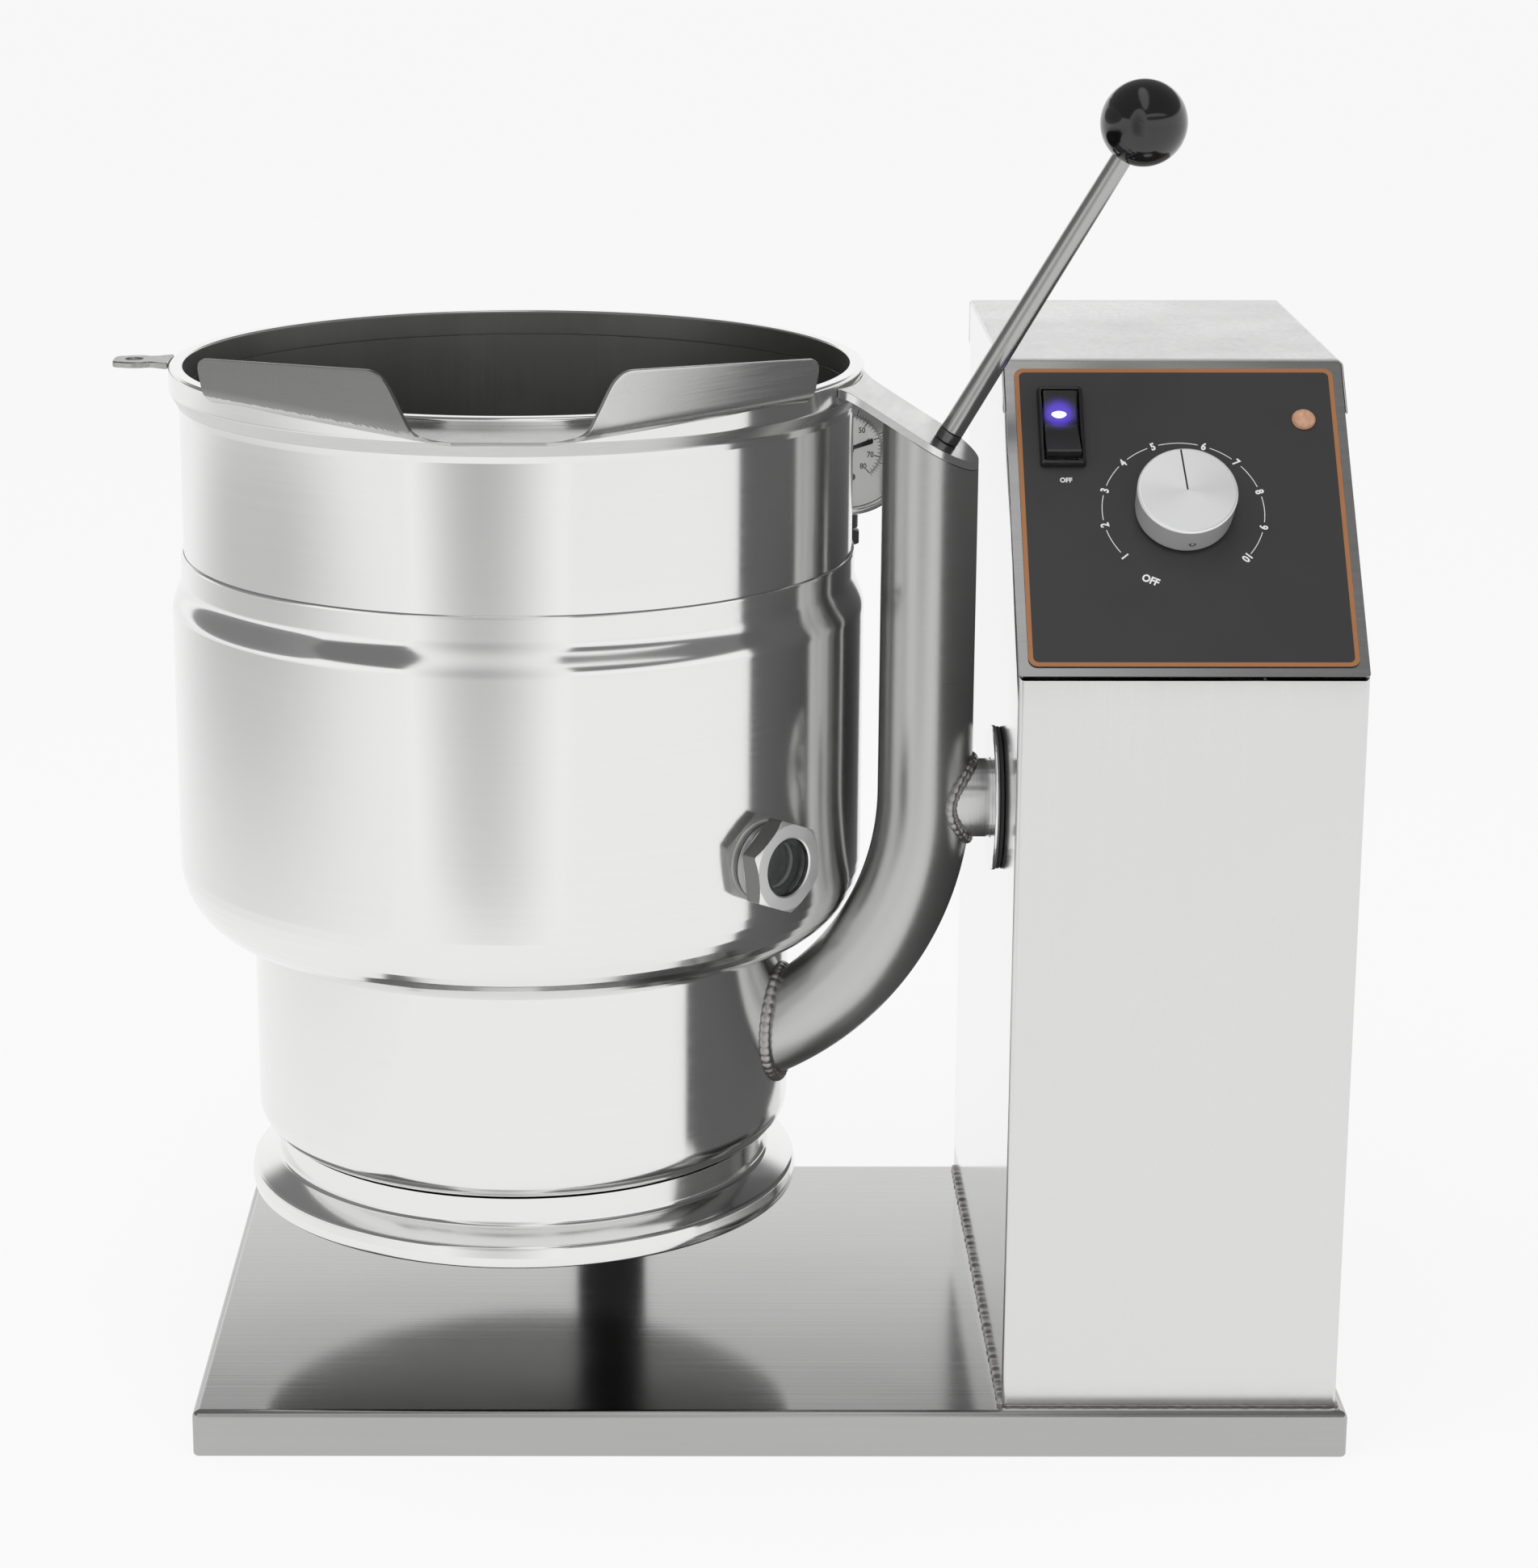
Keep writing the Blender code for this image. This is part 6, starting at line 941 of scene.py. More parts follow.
case_path = [(0.0, -GAUGE_HALF), (GAUGE_RADIUS - 0.0006, -GAUGE_HALF), (GAUGE_RADIUS - 0.0006, GAUGE_HALF - 0.0075),
             (GAUGE_RADIUS, GAUGE_HALF - 0.0070), (GAUGE_RADIUS, GAUGE_HALF), (DIAL_RADIUS, GAUGE_HALF),
             (DIAL_RADIUS, DIAL_TOP - 0.0013), (DIAL_RADIUS - 0.0020, DIAL_TOP - 0.0013),
             (DIAL_RADIUS - 0.0020, -GAUGE_HALF + 0.0025), (0.0, -GAUGE_HALF + 0.0025)]
turned("gauge_case_shell", case_path, [0.0030, 0.0, 0.0, 0.0016, 0.0009, 0.0, 0.0, 0.0], GAUGE_AT, GAUGE_AXES,
       polished_steel, "kettle", "polished_stainless", "gauge_case", sides=128)
SOCKET_RADIUS = 0.0070
SOCKET_LENGTH = 0.0095
DOWN_AXES = np.array(((1.0, 0.0, 0.0), (0.0, -1.0, 0.0), (0.0, 0.0, -1.0)))
turned("gauge_socket_ring", ring_section(0.0043, SOCKET_RADIUS, GAUGE_RADIUS - 0.0020, GAUGE_RADIUS + SOCKET_LENGTH),
       [0.0, 0.0008], GAUGE_AT, DOWN_AXES, plain_steel, "kettle", "polished_stainless", steps=4, sides=48, ring=True)
dial_white = matt("dial_white", (0.80, 0.80, 0.79), 0.42, 700.0, grain=0.05, vary=0.02)
turned("gauge_dial_plate", [(0.0, DIAL_TOP - 0.0010), (DIAL_RADIUS - GAP, DIAL_TOP - 0.0010),
                            (DIAL_RADIUS - GAP, DIAL_TOP), (0.0020, DIAL_TOP), (0.0020, DIAL_TOP + 0.0026),
                            (0.0, DIAL_TOP + 0.0026)],
       [0.0, 0.0002, 0.0, 0.0004], GAUGE_AT, GAUGE_AXES, dial_white, "kettle", "dial_white", "gauge_dial", steps=4)


def flat_mesh(name, loops, centre, axes, depth):
    """Thin printed shapes: each loop of (x, y) points is raised by depth off a face."""
    points, faces, start = [], [], 0
    for loop in loops:
        count = len(loop)
        points += [on_plane(loop, level, centre, axes) for level in (0.0, depth)]
        now = list(range(start, start + count))
        faces.append([n + count for n in now])
        faces += [[a, b, b + count, a + count] for a, b in zip(now, now[1:] + now[:1])]
        start += 2 * count
    return tidy(new_piece(name, np.concatenate(points), faces), 0.0000005)


def stroke(turn, near, far, width):
    """A radial mark on a dial as a loop of four (x, y) points."""
    way, side = np.array((math.cos(turn), math.sin(turn))), np.array((-math.sin(turn), math.cos(turn)))
    return [near * way - side * width / 2, far * way - side * width / 2,
            far * way + side * width / 2, near * way + side * width / 2]


def band(radius, width, first, last, steps=48):
    """A curved line on a dial, as a closed loop of (x, y) points."""
    turns = np.linspace(first, last, steps)
    outer = (radius + width / 2) * np.stack((np.cos(turns), np.sin(turns)), -1)
    inner = (radius - width / 2) * np.stack((np.cos(turns), np.sin(turns)), -1)
    return list(np.concatenate((outer, inner[::-1])))


def lettering(name, marks, size, centre, axes, depth, bold=0.0, narrow=1.0):
    """Numbers as one mesh: each mark is its text, where its middle goes and its turn."""
    work = bmesh.new()
    for text, (x, y), turn in marks:
        curve = bpy.data.curves.new(name, "FONT")
        curve.body = text
        curve.size = size
        curve.align_x = "CENTER"
        curve.align_y = "CENTER"
        curve.extrude = depth / 2
        curve.offset = bold
        curve.resolution_u = 3
        written = in_scene(name, curve)
        bpy.context.view_layer.update()
        mesh = bpy.data.meshes.new_from_object(written.evaluated_get(bpy.context.evaluated_depsgraph_get()))
        bpy.data.objects.remove(written)
        points = np.empty(len(mesh.vertices) * 3)
        mesh.vertices.foreach_get("co", points)
        points = points.reshape(-1, 3)
        middle = (points.min(0) + points.max(0)) / 2
        c, s = math.cos(turn), math.sin(turn)
        spin = np.array(((c, s, 0.0), (-s, c, 0.0), (0.0, 0.0, 1.0)))
        points = (points - middle) * (narrow, 1.0, 1.0) @ spin
        mesh.vertices.foreach_set("co", (centre + (points + (x, y, depth / 2)) @ axes.T).ravel())
        work.from_mesh(mesh)
        bpy.data.meshes.remove(mesh)
    whole = bpy.data.meshes.new(name)
    work.to_mesh(whole)
    work.free()
    return tidy(in_scene(name, whole), 0.0000005)


SCALE_START = math.radians(222.0)
SCALE_STEP = math.radians(33.75)
SCALE_END = SCALE_START - 8 * SCALE_STEP
SCALE_RADIUS = 0.0200
OUTER_RADIUS = 0.0208
NUMBER_RADIUS = 0.0142
PRINT = 0.00006
loops = [band(radius, 0.00034, SCALE_START, SCALE_END, 97) for radius in (SCALE_RADIUS, OUTER_RADIUS)]
for mark in range(41):
    turn = SCALE_START - mark * SCALE_STEP / 5
    main = mark % 5 == 0
    length, width = (0.0034, 0.00060) if main else (0.0017, 0.00034)
    loops.append(stroke(turn, SCALE_RADIUS - length, SCALE_RADIUS, width))
for mark in range(56):
    turn = SCALE_START - mark * 8 * SCALE_STEP / 55
    main = mark % 10 == 0
    length, width = (0.0038, 0.00045) if main else (0.0016, 0.00022)
    loops.append(stroke(turn, OUTER_RADIUS, OUTER_RADIUS + length, width))
FACE_AT = GAUGE_AT + GAUGE_AXES[:, 2] * DIAL_TOP
scale = flat_mesh("gauge_scale_print", loops, FACE_AT, GAUGE_AXES, PRINT)
ink_black = matt("ink_black", (0.012, 0.012, 0.012), 0.45, 800.0, grain=0.05)
dressed(scale, ink_black, "kettle", "black_plastic")
marks = []
for number in range(9):
    turn = SCALE_START - number * SCALE_STEP
    marks.append((str(number * 10), (NUMBER_RADIUS * math.cos(turn), NUMBER_RADIUS * math.sin(turn)), 0.0))
numbers = lettering("gauge_numbers_print", marks, 0.0048, FACE_AT, GAUGE_AXES, PRINT, bold=0.00008, narrow=0.86)
dressed(numbers, ink_black, "kettle", "black_plastic")
turned("gauge_dial_screw", ring_section(0.0, 0.0023, 0.0, 0.0006), [0.0, 0.0002],
       FACE_AT + GAUGE_AXES @ (0.0026, -0.0172, 0.0), GAUGE_AXES, dark_steel, "kettle", "plain_steel",
       steps=3, sides=32)
NEEDLE_TURN = math.radians(19.0)
NEEDLE_LOW = DIAL_TOP + 0.0018
outline = [(-0.0080, -0.0009), (0.0, -0.0011), (0.0148, -0.0015), (0.0157, -0.0011), (0.0161, 0.0), (0.0157, 0.0011),
           (0.0148, 0.0015), (0.0, 0.0011), (-0.0080, 0.0009)]
spun = np.array(((math.cos(NEEDLE_TURN), -math.sin(NEEDLE_TURN)), (math.sin(NEEDLE_TURN), math.cos(NEEDLE_TURN))))
needle = flat_mesh("gauge_needle_hand", [np.array(outline) @ spun.T], GAUGE_AT + GAUGE_AXES[:, 2] * NEEDLE_LOW,
                   GAUGE_AXES, 0.0006)
dressed(needle, ink_black, "needle", "black_plastic", "gauge_needle")
turned("gauge_needle_hub", ring_section(0.0023, 0.00375, NEEDLE_LOW - GAP, NEEDLE_LOW + 0.0012), [0.0002, 0.0004],
       GAUGE_AT, GAUGE_AXES, ink_black, "needle", "black_plastic", steps=3, sides=32, ring=True)


def thin_glass(name, tint):
    """A flat pane: clear where it is seen square on, and a mirror at a low angle."""
    paint, add = new_paint(name)
    clear = add("BsdfTransparent", Color=(*tint, 1.0))
    gloss = add("BsdfGlossy", Color=WHITE, Roughness=smeared(add, 0.01, 0.05))
    add("OutputMaterial", Surface=add("MixShader", in0=add("Fresnel", IOR=1.45), in1=clear, in2=gloss))
    return paint


lens_glass = thin_glass("lens_glass", (0.98, 0.98, 0.98))
lens = turned("gauge_lens_glass", ring_section(0.0, DIAL_RADIUS - GAP, GAUGE_HALF - 0.0035, GAUGE_HALF - 0.0015),
              [0.0, 0.0004], GAUGE_AT, GAUGE_AXES, lens_glass, "kettle", "clear_glass", "gauge_lens", steps=3)
lens.visible_shadow = False

# The gauge's pipe: a thin steel siphon, bent to a foot that is welded in a
# boss on the jacket, with a hexagon compression nut under the gauge's socket.
PIPE_RADIUS = 0.0040
STEM_BEND = 0.0140
FOOT_HEIGHT = 0.3950
PIPE_NUT_LOW = 0.4380 - 0.0045
PIPE_NUT_TOP = 0.4380 + 0.0045
PIPE_WAY = np.array((math.cos(GAUGE_TURN), math.sin(GAUGE_TURN), 0.0))
PIPE_SIDE = np.array((-math.sin(GAUGE_TURN), math.cos(GAUGE_TURN), 0.0))
bend = np.linspace(0.0, math.pi / 2, 14)
x = np.concatenate(([GAUGE_AWAY] * 2, GAUGE_AWAY - STEM_BEND + STEM_BEND * np.cos(bend), [JACKET_RADIUS + 0.0050]))
z = np.concatenate(([GAUGE_HEIGHT - GAUGE_RADIUS - 0.0035, 0.4300],
                    FOOT_HEIGHT + STEM_BEND - STEM_BEND * np.sin(bend), [FOOT_HEIGHT]))
path = np.stack((x, z), -1)
along = np.gradient(path, axis=0)
along /= np.linalg.norm(along, axis=1)[:, None]
square = np.stack((-along[:, 1], along[:, 0]), -1)
turns = circle(32)


def pipe_rings(radius):
    """Rings of one radius square to the pipe's path, in the upright plane of the path."""
    out = square[:, 0, None, None] * PIPE_WAY + square[:, 1, None, None] * UPRIGHT[2]
    return KETTLE + path[:, 0, None, None] * PIPE_WAY + path[:, 1, None, None] * UPRIGHT[2] \
        + radius * (np.cos(turns)[None, :, None] * out + np.sin(turns)[None, :, None] * PIPE_SIDE)


rings = pipe_rings(PIPE_RADIUS)
ends = [np.broadcast_to(rings[row].mean(0), (1, len(turns), 3)) for row in (0, -1)]
pipe = surface("gauge_pipe", np.concatenate((ends[0], rings, ends[1])))
dressed(pipe, plain_steel, "kettle", "plain_steel", "gauge_stem")
stem_at = KETTLE + GAUGE_AWAY * PIPE_WAY
gauge_nut = hex_nut("gauge_nut_ring", stem_at, UPRIGHT, 0.0150, PIPE_NUT_LOW, PIPE_NUT_TOP, PIPE_RADIUS + GAP, 0.0011,
                    both=True)
dressed(gauge_nut, plain_steel, "kettle", "plain_steel", "gauge_nut")
foot_axes = np.stack((PIPE_SIDE, UPRIGHT[2], PIPE_WAY), 1)
foot_at = KETTLE + UPRIGHT[2] * FOOT_HEIGHT
boss_steps = [(0.0043, 0.0048), (0.0043, 0.0100), (0.0094, 0.0100), (0.0100, 0.0094), (0.0100, None), (0.0, None),
              (0.0, 0.0048)]
gauge_boss = surface("gauge_boss_plug", coped_rings(foot_at, foot_axes, boss_steps, turns), closed=True)
dressed(gauge_boss, plain_steel, "kettle", "plain_steel", "gauge_boss")

# The safety valve at the back of the jacket: a brass body on a short spigot,
# its bonnet above, and a steel lever on a pin between two ears that lifts it.
VALVE_TURN = math.radians(75.0)
VALVE_WAY = np.array((math.cos(VALVE_TURN), math.sin(VALVE_TURN), 0.0))
VALVE_SIDE = np.array((-math.sin(VALVE_TURN), math.cos(VALVE_TURN), 0.0))
VALVE_AXES = np.stack((VALVE_WAY, VALVE_SIDE, UPRIGHT[2]), 1)
PIN_AXES = np.stack((VALVE_SIDE, UPRIGHT[2], VALVE_WAY), 1)
VALVE_HEIGHT = 0.3900
VALVE_REACH = 0.0150
SPIGOT_AT = KETTLE + UPRIGHT[2] * VALVE_HEIGHT
VALVE_AT = SPIGOT_AT + VALVE_WAY * (JACKET_RADIUS + VALVE_REACH)
brass = steel("brass", (0.60, 0.46, 0.22), 0.30, (200.0, 200.0, 200.0), groove=0.12, cloud=0.12)
body_path = [(0.0, -0.0120), (0.0120, -0.0120), (0.0120, -0.0062), (0.0103, -0.0050), (0.0103, 0.0120),
             (0.0120, 0.0132), (0.0120, 0.0260), (0.0090, 0.0260), (0.0090, 0.0480), (0.0, 0.0480)]
turned("safety_valve_body", body_path, [0.0012, 0.0006, 0.0006, 0.0006, 0.0006, 0.0010, 0.0006, 0.0012], VALVE_AT,
       VALVE_AXES, brass, "kettle", "brass", "safety_valve", steps=4, sides=64)
spigot_steps = [(0.0, None), (0.0090, None), (0.0090, 0.0070), (0.0, 0.0070)]
spigot = surface("safety_valve_spigot", coped_rings(SPIGOT_AT, PIN_AXES, spigot_steps, turns))
dressed(spigot, brass, "kettle", "brass")
PIN_AT = VALVE_AT + VALVE_SIDE * -0.0030 + UPRIGHT[2] * 0.0525
EAR_AWAY = 0.0043
EAR_THICKNESS = 0.0020
ear_outline = rounded([(-0.0030, -0.0055), (-0.0030, 0.0030), (0.0030, 0.0030), (0.0030, -0.0055)], [0.0028, 0.0028])
for index, side_sign in enumerate((-1, 1), 1):
    levels = (side_sign * EAR_AWAY, side_sign * (EAR_AWAY + EAR_THICKNESS))
    ear = slab(f"safety_valve_ear_{index}", *(on_plane(ear_outline, level, PIN_AT, PIN_AXES) for level in levels))
    dressed(ear, brass, "kettle", "brass")
turned("safety_valve_pin", ring_section(0.0, 0.0015, -0.0066, 0.0066), [0.0003, 0.0003], PIN_AT, PIN_AXES,
       plain_steel, "kettle", "plain_steel", steps=3, sides=24)
lever_outline = rounded([(-0.0030, -0.0010), (-0.0030, 0.0030), (0.0032, 0.0022), (0.0075, 0.0010), (0.0400, 0.0010),
                         (0.0400, -0.0010), (0.0060, -0.0010), (0.0025, -0.0030), (-0.0020, -0.0030)],
                        [0.0028, 0.0020, 0.0020, 0.0005, 0.0005, 0.0020, 0.0020], steps=4)
faces = [on_plane(lever_outline, across, PIN_AT, PIN_AXES) for across in (-0.0040, 0.0040)]
relief = slab("valve_lever_plate", *faces)
bevelled(relief, 0.0003, 2)
dressed(relief, plain_steel, "relief_lever", "plain_steel", "valve_lever")

# The base plate: a shallow stainless pan, folded down on four sides and in
# again below, its corners welded and ground round.
BASE_BEND = 0.0040
BASE_CORNER = 0.0035
BASE_SHEET = 0.0020
BASE_RETURN = 0.0220
base_size = np.array((base_high.x - base_low.x, base_high.y - base_low.y))
base_middle = np.array(((base_high.x + base_low.x) / 2, (base_high.y + base_low.y) / 2))


def plan_ring(size, corner, steps=8):
    """A rectangle with round corners as (x, y) points about its middle."""
    turns = np.linspace(0.0, math.pi / 2, steps)
    arc = corner * np.stack((np.cos(turns), np.sin(turns)), -1)
    half = np.asarray(size) / 2 - corner
    return np.concatenate((arc + half, (arc * (-1, 1))[::-1] + half * (-1, 1), -arc - half,
                           (arc * (1, -1))[::-1] + half * (1, -1)))


base_drop = base_low.z - base_high.z
section = [(-0.0900, 0.0), (0.0, 0.0), (0.0, base_drop), (-BASE_RETURN, base_drop),
           (-BASE_RETURN, base_drop + BASE_SHEET), (-BASE_SHEET, base_drop + BASE_SHEET),
           (-BASE_SHEET, -BASE_SHEET), (-0.0900, -BASE_SHEET)]
section = rounded(section, [BASE_BEND, BASE_BEND / 2, 0.0, 0.0, 0.0, 0.0], steps=6)
rings = []
for inset, level in section:
    ring = plan_ring(base_size + 2 * inset, max(BASE_CORNER + inset, 0.0006))
    rings.append(np.column_stack((ring + base_middle, np.full(len(ring), base_high.z + level))))
top, low = [np.broadcast_to((*base_middle, level), (1, len(rings[0]), 3))
            for level in (base_high.z, base_high.z - BASE_SHEET)]
pan = surface("base_plate_pan", np.concatenate((top, np.stack(rings), low)))
base_steel = steel("base_steel", (0.60, 0.60, 0.595), 0.13, (2.5, 420.0, 420.0), groove=0.08, waves=0.06, cloud=0.14,
                   spread=0.03)
# The pan's folded edges are rougher than its top, and darker as painted shade.
base_edge_rough_painted_shade = steel("base_edge_rough_painted_shade", (0.46, 0.46, 0.455), 0.24, (2.5, 420.0, 420.0), groove=0.08, waves=0.05,
                        cloud=0.08)
dressed(pan, base_steel, "stand", "brushed_stainless", "base_plate")
second_finish(pan, base_edge_rough_painted_shade, face_points(pan, "normal")[:, 2] < 0.95)

# The console: front and sides of one bent stainless sheet, a lift-off cover
# folded down over its top, and a flat back panel held by six screws.
body_low, body_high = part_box("console_body")
cover_low, cover_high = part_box("console_top_cover")
back_low, back_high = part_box("console_back_panel")
CONSOLE_BEND = 0.0028
CONSOLE_SHEET = 0.0015
SLOPE_RUN = 0.1406
SLOPE_RISE = 0.1475
UNDER_PANEL = 0.0018
SLOPE = math.atan2(SLOPE_RISE, SLOPE_RUN)
PANEL_AT = np.array((body_low.x, body_low.y, base_high.z + 0.4233))
PANEL_AXES = np.array(((1.0, 0.0, 0.0), (0.0, math.cos(SLOPE), -math.sin(SLOPE)),
                       (0.0, math.sin(SLOPE), math.cos(SLOPE))))
PANEL_SIZE = np.array((body_high.x - body_low.x, math.hypot(SLOPE_RISE, SLOPE_RUN)))


def wrap_top(y, drop):
    """Height of the body's upper edge: along the slope under the panel, then level under the cover."""
    slope_top = PANEL_AT[2] + (y - PANEL_AT[1]) * math.tan(SLOPE) - UNDER_PANEL / math.cos(SLOPE) - drop
    return np.minimum(slope_top, body_high.z - drop)


plan = rounded([(body_low.x, body_high.y), (body_low.x, body_low.y), (body_high.x, body_low.y),
                (body_high.x, body_high.y)], [CONSOLE_BEND, CONSOLE_BEND], steps=8)
runs = np.concatenate(([0.0], np.cumsum(np.linalg.norm(np.diff(plan, axis=0), axis=1))))
crest = PANEL_AT[1] + (body_high.z + UNDER_PANEL / math.cos(SLOPE) - PANEL_AT[2]) / math.tan(SLOPE)
stops = np.concatenate((runs, [body_high.y - crest, runs[-1] - (body_high.y - crest)],
                        np.linspace(0.0, runs[-1], 61)))
stops = np.unique(np.round(stops, 7))
ring = np.column_stack((np.interp(stops, runs, plan[:, 0]), np.interp(stops, runs, plan[:, 1])))
bottom = base_high.z + GAP
t = np.linspace(0.0, 1.0, 24)[:, None]
height = bottom + (wrap_top(ring[:, 1], 0.0) - bottom) * t
grid = np.stack((np.broadcast_to(ring[:, 0], height.shape), np.broadcast_to(ring[:, 1], height.shape), height), -1)
body = surface("console_body_wrap", grid, around=False)


def folded_sheet(piece, thickness):
    """Give a bent sheet, whose first face is on its left side, its thickness inwards and soft edges."""
    if piece.data.polygons[0].normal.x > 0.0:
        piece.data.flip_normals()
    thickened(piece, thickness, -1.0)
    bevelled(piece, 0.0004, 2, 60.0)


folded_sheet(body, CONSOLE_SHEET)
satin_steel = steel("satin_steel", (0.75, 0.75, 0.745), 0.30, (300.0, 300.0, 3.0), groove=0.02, waves=0.02,
                    cloud=0.02)
dressed(body, satin_steel, "stand", "brushed_stainless", "console_body")
side_steel = steel("side_steel", (0.88, 0.88, 0.875), 0.12, (3.0, 300.0, 300.0), groove=0.015, waves=0.03, cloud=0.02,
                   spread=0.03)
second_finish(body, side_steel, np.abs(face_points(body, "normal")[:, 0]) > 0.9)

COVER_SHEET = 0.0012
section = rounded([(cover_low.x, cover_low.z), (cover_low.x, cover_high.z), (cover_high.x, cover_high.z),
                   (cover_high.x, cover_low.z)], [0.0022, 0.0022], steps=7)
front = cover_low.y + (section[:, 1] - cover_low.z) / math.tan(SLOPE)
t = np.linspace(0.0, 1.0, 20)[:, None]
y = front + (cover_high.y - front) * t
grid = np.stack((np.broadcast_to(section[:, 0], y.shape), y, np.broadcast_to(section[:, 1], y.shape)), -1)
cover_top = surface("console_cover_sheet", grid, around=False)
folded_sheet(cover_top, COVER_SHEET)
dressed(cover_top, satin_steel, "stand", "brushed_stainless", "console_top_cover")
second_finish(cover_top, side_steel, np.abs(face_points(cover_top, "normal")[:, 0]) > 0.9)
# The cover's top faces take a lighter copy of the satin steel, painted light as if lit from above.
cover_top_painted_light = steel("cover_top_painted_light", (0.96, 0.96, 0.955), 0.30, (300.0, 300.0, 3.0), groove=0.02, waves=0.02, cloud=0.02)
second_finish(cover_top, cover_top_painted_light, face_points(cover_top, "normal")[:, 2] > 0.7)


def plate(name, low, high, corner, edge, segments=3):
    """A flat rectangular sheet between two corners of a box, on its thin axis, with round corners."""
    low, high = np.array(low), np.array(high)
    thin = int(np.argmin(high - low))
    wide = [axis for axis in range(3) if axis != thin]
    ring = plan_ring((high - low)[wide], corner) + ((high + low) / 2)[wide]
    faces = []
    for level in (low[thin], high[thin]):
        points = np.empty((len(ring), 3))
        points[:, wide] = ring
        points[:, thin] = level
        faces.append(points)
    return bevelled(slab(name, *faces), edge, segments)


cover_back = plate("console_cover_back", (cover_low.x + 0.0015, cover_high.y - COVER_SHEET - 0.0002, cover_low.z),
                   (cover_high.x - 0.0015, cover_high.y - 0.0002, cover_high.z - 0.0013), 0.0010, 0.0003)
dressed(cover_back, satin_steel, "stand", "brushed_stainless")
back = plate("console_back_sheet", back_low, back_high, 0.0030, 0.0003)
dressed(back, satin_steel, "stand", "brushed_stainless", "console_back_panel")

# The cable gland in the back panel: a plastic hexagon flange, a ribbed dome
# nut that narrows to its nose, and the thread through the sheet.
GLAND_AT = np.array(((body_low.x + body_high.x) / 2, back_high.y, base_high.z + 0.0550))
BACK_AXES = np.array(((-1.0, 0.0, 0.0), (0.0, 0.0, 1.0), (0.0, 1.0, 0.0))).T
gland_plastic = matt("gland_plastic", (0.018, 0.018, 0.018), 0.42, 260.0, grain=0.12)
flange = hex_nut("cable_gland_hex", GLAND_AT, BACK_AXES, 0.0285, 0.0003, 0.0063, 0.0080, 0.0012)
dressed(flange, gland_plastic, "stand", "black_plastic", "cable_gland")
turns = circle(144)
dome = []
for radius, level, ribbed in ((0.0080, 0.0064, 0), (0.0136, 0.0064, 0), (0.0138, 0.0070, 1), (0.0138, 0.0118, 1),
                              (0.0132, 0.0130, 0), (0.0122, 0.0152, 0), (0.0110, 0.0178, 0), (0.0102, 0.0195, 0),
                              (0.0098, 0.0199, 0), (0.0080, 0.0199, 0)):
    dome.append(ring_at(GLAND_AT, BACK_AXES, radius - ribbed * 0.00025 * (1 + np.cos(turns * 24)), level, turns))
nose = surface("cable_gland_nose", np.stack(dome), closed=True)
dressed(nose, gland_plastic, "stand", "black_plastic")
turned("cable_gland_thread", ring_section(0.0080, 0.0125, -0.0060, 0.0005), [0.0006, 0.0], GLAND_AT, BACK_AXES,
       gland_plastic, "stand", "black_plastic", steps=3, sides=64, ring=True)


def pan_head(name, centre, axes, radius, rise, body, paint):
    """A screw's low domed head with a cross slot pressed in it, from its face outwards."""
    slot = radius * 0.16
    far = np.linspace(0.0, 1.0, 15)
    x, y = far[:, None] * radius * np.cos(circle(64)), far[:, None] * radius * np.sin(circle(64))
    cross = np.minimum(np.abs(x), np.abs(y)) < slot
    inside = np.maximum(np.abs(x), np.abs(y)) < radius * 0.55
    height = rise * (1.0 - 0.75 * far[:, None] ** 3) * np.ones_like(x) - np.where(cross & inside, rise * 0.6, 0.0)
    cap = centre + np.stack((x, y, height), -1) @ axes.T
    foot = centre + np.stack((x[-1:], y[-1:], 0 * x[-1:]), -1) @ axes.T
    head = surface(name, np.concatenate((cap, foot, np.broadcast_to(centre, foot.shape))))
    dressed(head, paint, body, "plain_steel")


SCREW_INSET = 0.0090
screw_places = [(x, back_high.y + 0.0001, z) for x in (back_low.x + SCREW_INSET, back_high.x - SCREW_INSET)
                for z in (back_low.z + SCREW_INSET * 2, (back_low.z + back_high.z) / 2, back_high.z - SCREW_INSET * 2)]
for number, place in enumerate(screw_places, 1):
    pan_head(f"back_panel_screw_{number}", np.array(place), BACK_AXES, 0.0040, 0.0022, "stand", plain_steel)

# The weld beads at the console's foot: thin runs where its front and its two
# sides stand on the base plate.
seam_x = np.linspace(body_low.x, body_high.x, 60)
seam_y = np.linspace(body_low.y, body_high.y, 240)
level = base_high.z + 0.0006
front_seam = np.column_stack((seam_x, np.full(60, body_low.y - 0.0002), np.full(60, level)))
left_seam, right_seam = [np.column_stack((np.full(240, x), seam_y, np.full(240, level)))
                         for x in (body_low.x - 0.0002, body_high.x + 0.0002)]


def fillet_run(name, line, radius, ripples, paint, body):
    """A thin bead laid along a straight line, its round ends closed, rippled along its length."""
    along = np.gradient(line, axis=0)
    along /= np.linalg.norm(along, axis=1)[:, None]
    side = np.cross(along, UPRIGHT[2])
    turns = circle(12)
    share = np.linspace(0.0, 1.0, len(line))
    wide = radius * (1.0 + 0.14 * np.sin(share * ripples * math.tau) + 0.16 * np.sin(share * ripples * 2.7 + 1.0)
                     * np.sin(share * ripples * 7.3))
    wide[[0, -1]] = 0.0
    grid = line[:, None, :] + wide[:, None, None] * (np.cos(turns)[None, :, None] * side[:, None, :]
                                                     + np.sin(turns)[None, :, None] * UPRIGHT[2])
    bead = surface(name, grid)
    dressed(bead, paint, body, "plain_steel")


